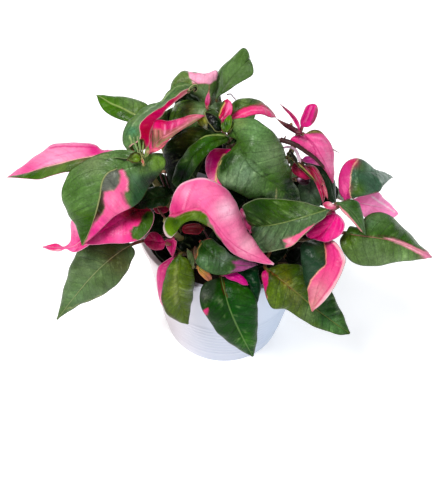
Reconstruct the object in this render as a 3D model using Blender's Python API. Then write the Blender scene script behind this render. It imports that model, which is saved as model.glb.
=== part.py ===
"""A young potted plant with pink-and-green leaves in a small ribbed pot.

Units in the tables are millimetres; the objects are built in metres, +Z up, with the middle of
the pot's flat base at the world origin. The plant's front faces -Y.
"""

import math

import bmesh
import bpy
import numpy as np

# --- driving dimensions, mm ---
POT_TOP_R = 45.0          # outer radius of the rim
POT_BASE_R = 31.0         # outer radius of the flat base
POT_HEIGHT = 78.0
POT_WALL = 1.6
POT_FLOOR = 2.2
RIM_OUT = 1.0             # how far the rolled rim stands out from the wall
RIM_DEPTH = 4.0
RIB_PITCH = 3.2           # horizontal ribs round the lower wall
RIB_DEPTH = 0.35
RIB_LOW, RIB_HIGH = 8.0, 34.0
SOIL_LEVEL = 68.0
SOIL_GAP = 0.3            # between the soil and the pot
SHEET = 0.8               # thickness of a leaf
ROUND_STEPS = 40
STEM_SIDES = 8

for old in list(bpy.data.objects):
    bpy.data.objects.remove(old, do_unlink=True)


# ---------------------------------------------------------------------------
# The plant is laid out from the front: a point is given by where it stands in
# a front picture plane (u to the right, v down, 435 x 495 units) and by its
# height z above the table in millimetres. The eye is EYE_DIST from the middle
# of the pot rim, EYE_UP degrees above the horizon, and leans by EYE_LEAN.
# ---------------------------------------------------------------------------
PIC_W, PIC_H = 435.0, 495.0
EYE_UP, EYE_LEAN, EYE_FOCAL, EYE_DIST = 49.0, 3.2, 935.0, 450.0
AIM = np.array([-4.8, -19.6, 80.0])


def eye_axes():
    e, r = math.radians(EYE_UP), math.radians(EYE_LEAN)
    ahead = np.array([0.0, math.cos(e), -math.sin(e)])
    right = np.array([1.0, 0.0, 0.0])
    up = np.cross(right, ahead)
    return ahead, math.cos(r) * right + math.sin(r) * up, math.cos(r) * up - math.sin(r) * right


AHEAD, PIC_RIGHT, PIC_UP = eye_axes()
EYE = AIM - EYE_DIST * AHEAD


def at(u, v, z):
    """The point at height z (mm) that stands at u, v in the front picture."""
    d = AHEAD + PIC_RIGHT * ((u - PIC_W / 2) / EYE_FOCAL) + PIC_UP * ((PIC_H / 2 - v) / EYE_FOCAL)
    return EYE + d * ((z - EYE[2]) / d[2])


def seen(p):
    """u, v and nearness (mm, larger is nearer the eye) of points."""
    q = np.asarray(p, float) - EYE
    d = q @ AHEAD
    return PIC_W / 2 + EYE_FOCAL * (q @ PIC_RIGHT) / d, PIC_H / 2 - EYE_FOCAL * (q @ PIC_UP) / d, -d


def unit(v):
    n = np.linalg.norm(v, axis=-1, keepdims=True)
    return v / np.where(n < 1e-9, 1.0, n)


def smooth_curve(points, n):
    """n points, evenly spaced, on a smooth curve through the given ones."""
    p = np.asarray(points, float)
    gap = np.maximum(np.linalg.norm(np.diff(p, axis=0), axis=1), 1e-6) ** 0.5
    t = np.concatenate([[0.0], np.cumsum(gap)])
    slope = np.diff(p, axis=0) / gap[:, None]
    m = np.zeros_like(p)
    m[1:-1] = (slope[:-1] * gap[1:, None] + slope[1:] * gap[:-1, None]) / (gap[:-1] + gap[1:])[:, None]
    m[0], m[-1] = (3 * slope[0] - m[1]) / 2, (3 * slope[-1] - m[-2]) / 2
    if len(p) == 2:
        m[:] = slope[0]
    fine = []
    for k in range(len(p) - 1):
        x = np.linspace(0, 1, 24, endpoint=k == len(p) - 2)[:, None]
        h = gap[k]
        fine.append((2 * x**3 - 3 * x**2 + 1) * p[k] + (x**3 - 2 * x**2 + x) * h * m[k] + (3 * x**2 - 2 * x**3) * p[k + 1] + (x**3 - x**2) * h * m[k + 1])
    fine = np.vstack(fine)
    run = np.concatenate([[0.0], np.cumsum(np.linalg.norm(np.diff(fine, axis=0), axis=1))])
    want = np.linspace(0, run[-1], n)
    return np.stack([np.interp(want, run, fine[:, k]) for k in range(3)], axis=1)


STALK_ROWS, BLADE_ROWS, HALF_COLS = 8, 32, 8      # the grid that a leaf is laid out on
STALK_R = 0.8                                      # mm, half the width of a leaf stalk
STALK_CLEAR = 0.5                                  # mm, between a stalk and its stem
TIP_R = 0.45                                       # mm, half the width of a leaf's very tip


def stem_at(stems, name, z):
    """Centre, radius and direction of a stem where it passes height z."""
    line, r0, r1 = stems[name]
    c = smooth_curve(line, 60)
    k = int(np.argmin(np.abs(c[:, 2] - z)))
    return c[k], r0 + (r1 - r0) * k / 59.0, unit(c[min(k + 1, 59)] - c[max(k - 1, 0)])


def edge_curve(leaf, side, sign, mid, half):
    """A margin in space, beside each midrib station. The margin is seen at the given u, v; it is
    brought towards the eye (sign +) or away (-) until the half blade has its natural width."""
    mu, mv, near = seen(mid)
    flat = [(mu[0], mv[0], 0.0)] + [(u, v, 0.0) for u, v in side] + [(mu[-1], mv[-1], 0.0)]
    run = smooth_curve(flat, len(mid))
    depth = -near
    px = np.hypot(run[:, 0] - mu, run[:, 1] - mv) * depth / EYE_FOCAL
    x = np.linspace(0, 1, len(mid))
    natural = half * np.clip(1.9 * (x * (1.0 - x)) ** 0.5, 0, 1)
    lift = sign * np.sqrt(np.maximum(natural**2 - px**2, 0)) + np.sign(sign) * leaf.get("open", 0.0) * np.sin(np.pi * x) ** 0.5
    for _ in range(6):
        lift[1:-1] = (lift[:-2] + 2 * lift[1:-1] + lift[2:]) / 4
        lift[0] = lift[-1] = 0
    d = AHEAD + PIC_RIGHT * ((run[:, 0] - PIC_W / 2) / EYE_FOCAL)[:, None] + PIC_UP * ((PIC_H / 2 - run[:, 1]) / EYE_FOCAL)[:, None]
    return EYE + d * (depth - lift)[:, None]


def leaf_rows(leaf, stems):
    """The leaf as rows of points from its stem to its tip: (rows, 2 * HALF_COLS + 1, 3). The first
    STALK_ROWS rows are the stalk. Columns run from margin a, across the midrib, to margin b."""
    ctrl = [at(*p) for p in leaf["mid"]]
    mid = smooth_curve(ctrl, BLADE_ROWS + 1)
    base, ahead = mid[0], unit(mid[1] - mid[0])
    centre, radius, along = stem_at(stems, leaf["stem"], leaf["node_z"])
    out = base - centre
    out = unit(out - along * (out @ along))
    start = centre + out * (radius + STALK_CLEAR)
    reach = np.linalg.norm(base - start)
    x = np.linspace(0, 1, STALK_ROWS + 1)[:-1, None]
    m0, m1 = out * reach * 0.7, ahead * reach * 0.5
    stalk = (2 * x**3 - 3 * x**2 + 1) * start + (x**3 - 2 * x**2 + x) * m0 + (3 * x**2 - 2 * x**3) * base + (x**3 - x**2) * m1
    sides = [edge_curve(leaf, leaf["a"], leaf["sa"], mid, leaf["w"]), edge_curve(leaf, leaf["b"], leaf["sb"], mid, leaf["w"])]
    across = []
    for k, way in ((0, ahead), (-1, unit(mid[-1] - mid[-2]))):
        near = 2 if k == 0 else -3
        sa, sb = unit(sides[0][near] - mid[near]), unit(sides[1][near] - mid[near])
        flat = sb - sa
        if np.linalg.norm(flat) < 0.4:
            flat = np.cross(way, sa + sb)
        flat = unit(flat - way * (flat @ way))
        half = STALK_R if k == 0 else TIP_R
        sides[0][k], sides[1][k] = mid[k] - flat * half, mid[k] + flat * half
        across.append(flat)
    rows = np.zeros((STALK_ROWS + BLADE_ROWS + 1, 2 * HALF_COLS + 1, 3))
    tang = unit(np.gradient(mid, axis=0))
    tau = np.linspace(0, 1, HALF_COLS + 1)
    camber = leaf.get("camber", 0.10)
    ca, cb = camber if isinstance(camber, tuple) else (camber, camber)
    normals = []
    for edge, sign, c in ((sides[0], 1, ca), (sides[1], -1, cb)):
        d = edge - mid
        n = unit(np.cross(d, tang)) * sign
        normals.append((d, n, c))
    facing = np.mean([(n * (EYE - mid)).sum() for _, n, _ in normals])
    flip = 1.0 if facing > 0 else -1.0
    for which, (d, n, c) in enumerate(normals):
        w = np.linalg.norm(d, axis=1)[:, None]
        for j, t in enumerate(tau):
            col = HALF_COLS - j if which == 0 else HALF_COLS + j
            rows[STALK_ROWS:, col] = mid + d * t + n * flip * w * c * 4 * t * (1 - t)
    # the stalk is a narrow strip that turns from the stem's side to the blade's
    across1 = across[0]
    across0 = unit(np.cross(out, along))
    if across0 @ across1 < 0:
        across0 = -across0
    for i in range(STALK_ROWS):
        f = i / STALK_ROWS
        t_dir = unit((stalk[i + 1] if i + 1 < STALK_ROWS else base) - stalk[i])
        ac = across0 * (1 - f) + across1 * f
        ac = unit(ac - t_dir * (ac @ t_dir))
        for j in range(-HALF_COLS, HALF_COLS + 1):
            rows[i, HALF_COLS + j] = stalk[i] + ac * STALK_R * j / HALF_COLS
    return rows


GAP = 2.0          # mm that a leaf stays behind the one in front of it


def spread(f):
    """One step of smoothing on a grid of rows and columns."""
    g = f.copy()
    g[1:-1] = (f[:-2] + 2 * f[1:-1] + f[2:]) / 4
    g[-1] = (f[-2] + f[-1]) / 2
    h = g.copy()
    h[:, 1:-1] = (g[:, :-2] + 2 * g[:, 1:-1] + g[:, 2:]) / 4
    h[:, 0], h[:, -1] = (g[:, 0] + g[:, 1]) / 2, (g[:, -1] + g[:, -2]) / 2
    return h


def refine(rows, k):
    """A grid with k times as many steps each way, by straight interpolation."""
    r, c = rows.shape[:2]
    ri, ci = np.linspace(0, r - 1, (r - 1) * k + 1), np.linspace(0, c - 1, (c - 1) * k + 1)
    i0, j0 = np.minimum(ri.astype(int), r - 2), np.minimum(ci.astype(int), c - 2)
    fi, fj = (ri - i0)[:, None, None], (ci - j0)[None, :, None]
    a = rows[i0][:, j0] * (1 - fj) + rows[i0][:, j0 + 1] * fj
    b = rows[i0 + 1][:, j0] * (1 - fj) + rows[i0 + 1][:, j0 + 1] * fj
    return a * (1 - fi) + b * fi


def lay_apart(leaves, stems):
    """Rows of every leaf, front to back, each moved away from the eye where it would meet one in front."""
    far = np.full((int(PIC_H) + 60, int(PIC_W) + 60), 1e9)
    placed = {}
    for leaf in leaves:
        rows = leaf_rows(leaf, stems)
        hold = leaf.get("free", False)
        u, v, near = seen(rows)
        iu, iv = np.clip(np.round(u).astype(int) + 30, 0, far.shape[1] - 1), np.clip(np.round(v).astype(int) + 30, 0, far.shape[0] - 1)
        need = np.maximum(near - (far[iv, iu] - leaf.get("gap", GAP)), 0)
        need[:STALK_ROWS] = 0
        if hold:
            need[:] = 0
        shift = need.copy()
        for _ in range(60):
            shift = np.maximum(spread(shift), need)
            shift[0] = 0
        away = unit(rows - EYE)
        rows = rows + away * shift[..., None]
        placed[leaf["name"]] = rows
        dense = refine(rows[STALK_ROWS:], 4)
        u, v, near = seen(dense)
        iu, iv = np.clip(np.round(u).astype(int) + 30, 2, far.shape[1] - 3), np.clip(np.round(v).astype(int) + 30, 2, far.shape[0] - 3)
        for du in (-2, -1, 0, 1, 2):
            for dv in (-2, -1, 0, 1, 2):
                np.minimum.at(far, (iv + dv, iu + du), near)
    return placed


def plain_leaf(one, stems):
    """The same rows of points for a leaf given by its length, width and droop."""
    centre, radius, along = stem_at(stems, one["stem"], one["node_z"])
    way = math.radians(one["way"])
    flat = np.array([math.cos(way), math.sin(way), 0.0])
    side = np.array([-math.sin(way), math.cos(way), 0.0])
    start = centre + unit(flat - along * (flat @ along)) * (radius + STALK_CLEAR)
    stalk_long = 7.0
    total = STALK_ROWS + BLADE_ROWS + 1
    rows = np.zeros((total, 2 * HALF_COLS + 1, 3))
    p = start.copy()
    fine = []
    steps = 240
    for i in range(steps + 1):
        f = i / steps
        slope = math.radians(one["rise"] + (one["fall"] - one["rise"]) * f**1.3)
        fine.append((p.copy(), slope))
        p = p + (flat * math.cos(slope) + np.array([0, 0, math.sin(slope)])) * (one["long"] + stalk_long) / steps
    cut = stalk_long / (one["long"] + stalk_long)
    spots = [cut * i / STALK_ROWS for i in range(STALK_ROWS)] + [cut + (1 - cut) * i / BLADE_ROWS for i in range(BLADE_ROWS + 1)]
    for i, f in enumerate(spots):
        q, slope = fine[min(int(round(f * steps)), steps)]
        up = np.array([0.0, 0.0, 1.0]) * math.cos(slope) - flat * math.sin(slope)
        if i < STALK_ROWS:
            half, fold = STALK_R, 0.0
        else:
            s = (i - STALK_ROWS) / BLADE_ROWS
            half = max(one["w"] * 1.9 * (s**0.75) * (1 - s) ** 0.85 / 1.12, STALK_R if s < 0.5 else TIP_R)
            fold = math.radians(one["fold"]) * min(1.0, s * 4)
        for j in range(-HALF_COLS, HALF_COLS + 1):
            t = j / HALF_COLS
            rows[i, HALF_COLS + j] = q + side * (half * t * math.cos(fold)) + up * (half * abs(t) * math.sin(fold) * (1.4 - 0.9 * abs(t)))
    return rows


# name: centre line (x, y, z) mm, then half width and half thickness at points along it
STEMS = {
    "A": ([(-17, -10, 69.2), (-25, -15, 95), (-34, -20, 122), (-42, -24.0, 144.5)], 2.1, 1.2),
    "B": ([(-18, 8, 69.2), (-27, 12, 95), (-35, 14, 118), (-38, 15.5, 128)], 1.9, 1.3),
    "C": ([(-8, 22, 69.2), (-10, 22, 90), (-11, 21, 108), (-11, 20, 124)], 2.1, 1.3),
    "O": ([(-1, 2, 69.2), (-2, -0.5, 100), (-1.5, -2.5, 122), (-1.2, -4, 138)], 2.2, 1.2),
    "F": ([(-10, -18, 69.2), (-17, -25, 85), (-25, -31, 102), (-29, -33, 113)], 1.9, 1.2),
    "G": ([(0, -22, 69.2), (-2, -27, 80), (-5, -31, 88), (-7, -32.5, 94)], 1.8, 1.2),
    "K": ([(16, -10, 69.2), (26, -18, 90), (35.5, -24, 104), (43.5, -28, 119)], 2.0, 1.2),
    "N": ([(12, 8, 69.2), (18, 4, 95), (24, -1, 118), (28.5, -4.5, 144.5)], 2.0, 1.1),
    "R": ([(4, 26, 69.2), (6, 33, 85), (8, 37, 98), (8, 40, 108)], 1.9, 1.2),
}

LEAVES = []


def leaf(name, stem, node_z, mid, a, b, w, sa=0.0, sb=0.0, **more):
    LEAVES.append(dict(name=name, stem=stem, node_z=node_z, mid=mid, a=a, b=b, w=w, sa=sa, sb=sb, **more))


# front-most first
leaf("leaf_left_big", "A", 136, [(131, 163, 143), (118, 168.5, 143), (108, 173, 141.5), (103, 180, 139), (99, 200, 131), (92, 225, 121), (82, 245.5, 113)],
     [(118, 153), (106, 152), (88, 159), (71, 170), (65, 180), (62, 190), (63.5, 203), (70, 217), (77, 231)],
     [(140, 162), (147, 156.5), (156, 154.5), (164, 157), (166, 164), (158, 176), (148, 189), (140, 201), (128, 210), (115, 216), (107, 224), (95, 235), (87, 242)], 19, -0.25, 0.15)
leaf("leaf_left_outer", "A", 140, [(124, 152.5, 142), (112, 152.5, 142.5), (90, 157.5, 141), (70, 161.5, 138.5), (50, 166.5, 135.5), (30, 172.5, 132.5), (7, 177.3, 130)],
     [(108, 151), (102, 151), (96, 144.5), (80, 142.5), (55, 144), (45, 149), (30, 160), (18, 169.5)],
     [(115, 163), (103, 167), (87, 170), (70, 171.5), (50, 177), (38, 179.3), (22, 178.7)], 13, -0.8, 0.7)
leaf("leaf_pink_pointed", "A", 142.5, [(149, 152.5, 147), (158, 141, 149), (172, 130, 148), (188, 121, 146), (205, 115.5, 143)],
     [(149.5, 144), (152, 134), (152.6, 127), (155, 121.8), (166, 121.2), (180, 118), (195, 115)],
     [(154, 152.5), (162, 148), (170, 139), (180, 131), (190, 125), (198, 120)], 10, -0.5, 0.5)
leaf("leaf_centre_pink", "F", 112, [(171, 216, 121), (183, 212, 127), (195, 208, 130), (206, 212, 130), (215, 223, 126), (226, 237, 118), (241, 249, 109), (274, 264.3, 99)],
     [(170, 208), (172, 198), (176, 189), (183, 183), (192, 179), (202, 178), (211, 180), (220, 184), (229, 191), (235, 201), (241, 215), (248, 231), (256, 243), (264, 253.5)],
     [(165, 221), (163.5, 229), (166, 236), (170, 238.5), (175, 234), (179, 227), (186, 222), (196, 221), (206, 222.5), (214, 231), (222, 243), (231, 252), (242, 258.5), (254, 262), (264, 264)], 15, -0.5, -0.35, camber=(0.16, 0.1))
leaf("leaf_right_broad", "K", 117, [(328, 209.5, 127), (310, 215, 127), (290, 221, 123.5), (272, 225, 118), (260, 226, 112), (250, 225, 106)],
     [(318, 206), (302, 202), (285, 199), (270, 198), (258, 198.5), (249, 202), (242.5, 206.5), (245, 214.5)],
     [(325, 217), (315, 224.5), (308, 231), (300, 238.5), (292, 246), (285, 248.5), (272, 251.5), (263, 252.5), (257, 248), (253.5, 241), (251.6, 234), (250.4, 229)], 16, -0.35, -0.1)
leaf("leaf_centre_big", "O", 134, [(232.5, 127.5, 147), (240, 146, 146), (250, 166, 141), (275, 184, 129), (302, 204.5, 113)],
     [(233, 121), (243, 117.5), (253, 118.5), (262, 123.5), (272, 131), (280, 141), (285, 152), (289, 166), (293, 180), (298, 193)],
     [(229, 136), (238, 141), (230, 150), (222, 158), (218, 167), (217, 178), (222, 185.5), (232, 190.5), (247, 197), (266, 201), (284, 204)], 19, -0.5, -0.3, camber=(0.12, 0.12))
leaf("leaf_bud_pink", "O", 136.5, [(223, 120, 147), (225, 112, 151), (227.5, 99, 156)],
     [(218.5, 117), (219.5, 109), (223, 101.5)], [(231, 115), (232.5, 108), (231, 102)], 6, -0.5, 0.4)
leaf("leaf_top_right", "O", 135, [(230, 117, 146), (237, 111, 148), (248, 105.5, 150), (261, 106, 150), (269, 110, 147), (276, 117.5, 142)],
     [(230, 106), (236, 100), (246, 98.5), (257, 100.5), (263, 104), (271, 110)],
     [(234, 120.5), (242, 119), (250, 116), (261, 114.5), (270, 117.5)], 11, -0.6, 0.5)
leaf("leaf_dark_front", "O", 128, [(227, 139, 140), (219, 140, 142), (207, 144, 143), (196, 154, 139), (187, 168, 131), (178, 188, 121)],
     [(225, 134), (213, 133.5), (200, 138.5), (190, 146.5), (182, 157), (175, 170), (172, 182)],
     [(228, 141.5), (219, 146), (210, 151.5), (203, 158.5), (197, 167), (191, 176), (185, 184)], 10, -0.3, 0.3)
leaf("leaf_curled", "A", 132.6, [(129, 149.5, 146), (125, 144, 146.5), (124.5, 136, 147), (128, 124, 148), (138, 114, 149.5), (150, 105.5, 150.5), (161, 102, 151), (168, 93.5, 152), (175, 85.5, 152), (184, 82.5, 151), (196, 87, 147.5)],
     [(132, 145), (138, 142), (141, 138), (140.5, 133), (139.6, 127.5), (141.5, 121.5), (146, 116.5), (152.5, 112.5), (159, 108.5), (167, 102.5), (175, 97), (183, 92), (190, 88.8)],
     [(137, 151), (146, 149.5), (150.2, 143), (150.6, 136), (151.8, 129), (155, 122.5), (160.5, 117), (166.5, 110), (172, 104), (180, 98.3), (188, 92.5)], 12, 0.5, -0.5, camber=(0.06, -0.1), open=4)
leaf("leaf_shaded_left", "F", 107, [(171, 196, 121), (158, 197, 122), (145, 200, 121), (132, 206, 117)],
     [(165, 187), (155, 187), (143, 191), (135, 198)], [(167, 205), (155, 208), (145, 209), (137, 209)], 10, -0.5, 0.1)
leaf("leaf_left_magenta", "A", 118, [(144, 207, 121), (130, 215, 121), (112, 226, 116), (84, 244.5, 108)],
     [(136, 196), (120, 200), (103, 211), (92, 228)],
     [(154, 213), (151, 228), (141, 239), (128, 242.5), (105, 244), (92, 244.8)], 15, -0.3, 0.1)
leaf("leaf_left_twisted", "A", 110, [(106, 214, 112), (90, 232, 108), (74, 246, 104), (58, 247.5, 101), (42.5, 247, 100)],
     [(92, 208), (76, 213), (71, 222), (71.5, 234), (71, 241), (65, 247), (57, 243.5), (50, 244.5)],
     [(103, 232), (88, 246), (74, 252.5), (66, 249), (60, 251.5), (50, 250.5)], 10, -0.2, 0.1)
leaf("leaf_dark_back", "O", 126, [(220, 133, 136), (200, 141, 137), (185, 155, 131), (178, 175, 121), (176, 195, 111)],
     [(212, 127), (192, 127.5), (178, 134), (168, 143), (163.5, 153), (164, 165), (168, 178), (171, 188)],
     [(215, 145), (205, 158), (198, 172), (190, 185)], 15, -0.4, 0.0, gap=3.2)
leaf("leaf_arching", "C", 116, [(214, 111, 139), (201, 107, 142), (188, 108, 140), (177, 116, 134), (172, 130, 124)],
     [(206, 104), (196, 100.5), (187, 100), (179, 102), (173, 109), (170, 119)],
     [(208, 119), (200, 127), (190, 128), (180, 131)], 12, -0.6, 0.0)
leaf("leaf_top_left", "C", 122, [(209.5, 98, 140), (201, 87, 145), (188, 79, 148), (177, 83, 146), (172, 96, 140)],
     [(215.5, 89), (217, 71), (203, 73), (190, 72.5), (183, 71), (175, 77), (170.5, 87)],
     [(205, 105.5), (199, 106), (192, 103.5), (185, 100.5), (178, 98)], 13, -0.6, -0.3)
leaf("leaf_top_tall", "C", 122.5, [(217.5, 98, 139), (228, 82, 147), (240, 68, 150), (250, 59, 149)],
     [(212.8, 90), (214.5, 80), (219, 69.5), (230, 59), (243, 47.5), (247, 50)],
     [(221, 95), (231, 89), (241, 82), (252.5, 75), (253, 67)], 14, -0.6, 0.3)
leaf("leaf_upper_left", "B", 126, [(143, 117.5, 131), (130, 112.5, 132), (115, 105.5, 132), (96.5, 95, 131)],
     [(148, 106), (140, 101), (132, 98), (115, 97), (105, 96)],
     [(136, 123), (128, 122), (118, 119), (108, 114), (101, 107)], 12, -0.6, 0.2)
leaf("leaf_centre_inner", "O", 118, [(238, 150, 137), (228, 158, 134), (219, 170, 128), (215, 187, 121)],
     [(226, 149), (213, 149.5), (206, 158), (205.5, 167), (208, 177), (211, 184)],
     [(243, 160), (238, 173), (228, 185)], 11, -0.3, 0.0)
leaf("leaf_right_magenta", "K", 106.5, [(334, 213, 122), (332, 221, 120), (325, 231, 114), (313, 239, 108)],
     [(322, 218), (312, 228), (306, 234.5)],
     [(340, 216), (344.5, 223), (343, 231), (337, 237.5), (328, 241.5), (320, 241)], 10, -0.3, 0.1, camber=0.2)
leaf("leaf_right_small", "K", 115.3, [(338, 203.5, 125), (348, 208, 125), (357, 218, 121), (365.5, 234.5, 114)],
     [(344, 201), (351, 199.5), (358, 202), (361, 209), (364, 221)],
     [(341, 210), (350, 219), (356, 226), (361, 231.5)], 8, -0.6, 0.2)
leaf("leaf_right_hanging", "K", 95, [(324, 240, 105), (327, 254, 105), (325, 268, 102), (318, 286, 94), (312, 311.5, 81)],
     [(310, 240), (301, 245), (300.5, 255), (302, 268), (305, 282), (307, 291), (309, 302)],
     [(334, 241), (342, 250.5), (346, 259), (343, 270), (336, 285), (328, 297), (320, 305.5)], 13, -0.5, 0.5)
leaf("leaf_right_outer", "K", 99, [(346, 233, 108), (360, 236, 109), (380, 238.5, 107), (400, 243, 102), (415, 249, 97), (432, 257, 91)],
     [(350, 227), (357, 227), (363, 219.5), (371, 213.5), (381, 212), (391, 216), (400, 224), (410, 234), (420, 245), (426, 251)],
     [(340, 238), (341, 247), (346, 256), (352, 262), (360, 265), (372, 266), (385, 264.5), (400, 261.5), (415, 260.5), (425, 259)], 15, -0.6, 0.1)
leaf("leaf_right_upper", "K", 112.6, [(346, 200, 123), (351, 186, 129), (357, 175, 132), (366, 171, 131), (379, 173, 126), (393, 177, 120)],
     [(339, 193), (338, 180), (341, 168), (348, 161), (357, 158), (364, 161), (368, 167), (374, 171), (383, 172.5)],
     [(352, 198.5), (360, 196.5), (370, 194.5), (379, 191.5), (384, 185), (388, 181)], 12, -0.5, 0.4)
leaf("leaf_right_pale", "K", 107, [(350, 201, 118), (365, 204, 116), (380, 207, 111), (398.5, 214, 104)],
     [(357, 197.5), (368, 194), (378, 192), (384, 199), (392, 205)],
     [(356, 207), (361, 213), (366, 218.5), (377, 218), (388, 217.5), (394, 217.5)], 10, -0.5, 0.1)
leaf("leaf_pink_upright", "N", 143.5, [(302.3, 126.5, 148.8), (305, 120, 151.8), (309.5, 112, 155.5), (313, 103.6, 158.2)],
     [(300, 122), (302.5, 113), (306.3, 106)], [(308.5, 127), (313.8, 122.5), (316.8, 116.5), (318, 109.5), (316.5, 105)], 8, -0.4, 0.4)
leaf("leaf_pink_drooping", "N", 135, [(304.5, 135.2, 144), (312.5, 142, 142.6), (320, 154, 138), (327, 167, 131), (333, 183, 122)],
     [(311, 130), (320, 131), (326, 136), (331, 143), (333.5, 152), (334, 165), (334, 175)],
     [(299, 136), (293, 137), (290, 140), (294, 143), (302, 147), (311, 152.5), (318, 160), (324, 168), (330, 178)], 12, -0.4, -0.2)
leaf("leaf_red_narrow", "N", 119, [(304, 166.5, 127), (313, 172, 126), (319, 182, 121), (323, 203, 114)],
     [(310, 164.8), (317.5, 169.5), (322.3, 178), (325.6, 190)], [(308, 171.5), (313.5, 179.5), (318.5, 190), (321, 198)], 6, -0.8, 0.6)
leaf("leaf_dark_narrow", "N", 124, [(303, 163, 128), (316, 166, 125), (326, 174.5, 120), (331.5, 188, 114), (335.5, 204, 108)],
     [(310, 160.8), (321, 165), (329.5, 171.5), (334, 179.5), (336, 191)], [(309, 166.8), (317, 171), (322.5, 179), (326, 189), (329.5, 199.5)], 9, -0.7, 0.3)
leaf("leaf_right_greyish", "N", 108, [(312, 177, 114), (310.5, 188, 112), (309, 200, 107), (309, 210, 101)],
     [(304, 180), (298, 186), (298, 200), (303, 208)], [(319, 186), (321.5, 196), (320, 206)], 9, -0.2, 0.0)
leaf("leaf_front_upper", "G", 92.5, [(201, 242, 105), (212, 254, 105), (225, 262, 102), (240, 265.5, 98), (258, 264.5, 93)],
     [(210, 238.5), (221, 246), (231, 254), (241, 259), (250, 262)],
     [(196.5, 250), (196, 262), (202, 269), (212, 274), (225, 275), (238, 271.5), (248, 268.5)], 12, -0.5, 0.1)
leaf("leaf_front_sliver", "G", 89, [(224, 275, 94), (235, 275.5, 94), (248, 285, 91)],
     [(232, 271), (241, 275), (246, 280)], [(228, 279), (237, 282), (243, 285)], 5, -0.5, 0.0)
leaf("leaf_front_low", "G", 87, [(221, 278, 90), (224, 290, 89), (229, 307, 85), (237, 326, 76), (245, 342, 67), (253, 356.5, 57)],
     [(211, 280), (203, 285), (200, 293), (200.3, 303), (203.4, 312.4), (210.4, 322.4), (217, 332), (227, 341.4), (240, 350.4)],
     [(234, 279.5), (246, 285), (254, 295), (257.5, 307), (257.5, 320), (258, 332), (256.5, 345)], 14, -0.3, -0.3, camber=0.08)
leaf("leaf_front_olive", "F", 88, [(180, 256, 96), (179, 268, 93), (178, 285, 84), (180.5, 303, 71), (188.3, 324, 57)],
     [(173, 259), (169, 265), (165, 276), (162, 290), (161.8, 302), (165.5, 311.5), (173, 319), (181, 323)],
     [(188, 259), (193, 267), (194.6, 280), (193.6, 292), (191, 305), (189.3, 316)], 9, -0.4, -0.4, camber=0.16)
leaf("leaf_front_pink", "F", 85, [(174, 256, 90), (168, 270, 87), (165, 290, 77), (166, 308, 65)],
     [(165, 261), (158.5, 267), (156.5, 275), (157.5, 290), (160.5, 303)],
     [(179, 268), (178, 285), (172, 303)], 8, -0.2, 0.0)
leaf("leaf_right_low", "K", 88, [(267, 270, 94), (280, 279, 93), (297, 293, 85), (317, 310, 74.5), (350, 333.5, 61)],
     [(275, 265.5), (290, 264), (302, 266), (315, 274), (326, 284), (332, 293), (338, 305), (345, 319)],
     [(262, 273), (263, 285), (267, 299), (272, 308), (285, 309.5), (295, 315), (305, 321.5), (317, 328), (330, 332.5), (342, 335)], 16, -0.3, 0.1, gap=3.5)
leaf("leaf_front_shaded", "G", 83, [(238, 272, 92), (248, 280, 90), (254, 290, 87), (257, 304, 80)],
     [(249, 266.5), (257, 267), (260, 278), (260, 290)], [(238, 281), (244, 291), (251, 300)], 9, -0.4, 0.0, gap=3.5)
leaf("leaf_left_low", "A", 90, [(131, 245, 97), (121, 251, 95), (100, 268, 87), (80, 290, 75), (57, 319.5, 61)],
     [(120, 235), (100, 238), (80, 248), (70, 268), (65, 283), (61, 300)],
     [(135, 252), (131, 262), (127, 272), (117, 284), (100, 297), (80, 305)], 15, -0.3, -0.2)
leaf("leaf_shaded_magenta", "F", 94, [(165, 243, 100), (158, 242, 100), (151, 241, 98.5), (143.5, 241.5, 97)],
     [(161, 236), (156, 232), (150, 232.5), (146, 237)], [(163, 249), (155, 250), (148.5, 247.5)], 7, -0.2, 0.1)

STEM_NAMES = {
    "A": "stem_left", "B": "stem_upper_left", "C": "stem_top", "O": "stem_centre", "F": "stem_front_left",
    "G": "stem_front", "K": "stem_right", "N": "stem_right_back", "R": "stem_back",
}
CUT_STALK = ([at(281, 140, 146), at(288, 142, 146.5), at(298, 146.5, 146), at(307, 151.5, 144.5), at(316, 158.5, 141), at(325, 169, 136.5)], 1.15, 0.6)
PINK_LEAVES = (
    "leaf_left_outer", "leaf_left_magenta", "leaf_left_twisted", "leaf_pink_pointed", "leaf_bud_pink",
    "leaf_centre_inner", "leaf_centre_pink", "leaf_front_sliver", "leaf_front_pink", "leaf_right_magenta",
    "leaf_right_pale", "leaf_pink_drooping", "leaf_pink_upright", "leaf_red_narrow", "leaf_shaded_magenta", "leaf_back_pink",
)

# Leaves of the far side: stem, height of the node, the way it points (degrees from +X to +Y), length,
# half width, slope at the base and at the tip (degrees above level), how far the halves fold up.
BACK_LEAVES = [
    dict(name="leaf_back_middle", stem="R", node_z=100, way=100, long=46, w=15, rise=0, fall=-66, fold=14),
    dict(name="leaf_back_left", stem="R", node_z=104, way=146, long=44, w=14, rise=8, fall=-56, fold=12),
    dict(name="leaf_back_right", stem="R", node_z=94, way=64, long=38, w=13, rise=-14, fall=-62, fold=10),
    dict(name="leaf_back_pink", stem="C", node_z=106, way=120, long=46, w=14, rise=8, fall=-64, fold=16),
    dict(name="leaf_back_low_left", stem="C", node_z=90, way=162, long=46, w=14, rise=-2, fall=-48, fold=12),
    dict(name="leaf_back_upper_left", stem="B", node_z=98, way=172, long=40, w=13, rise=-6, fall=-56, fold=14),
    dict(name="leaf_back_low_right", stem="N", node_z=90, way=52, long=42, w=14, rise=-2, fall=-50, fold=10),
    dict(name="leaf_back_side_right", stem="N", node_z=106, way=12, long=36, w=12, rise=-8, fall=-55, fold=12),
]


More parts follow.
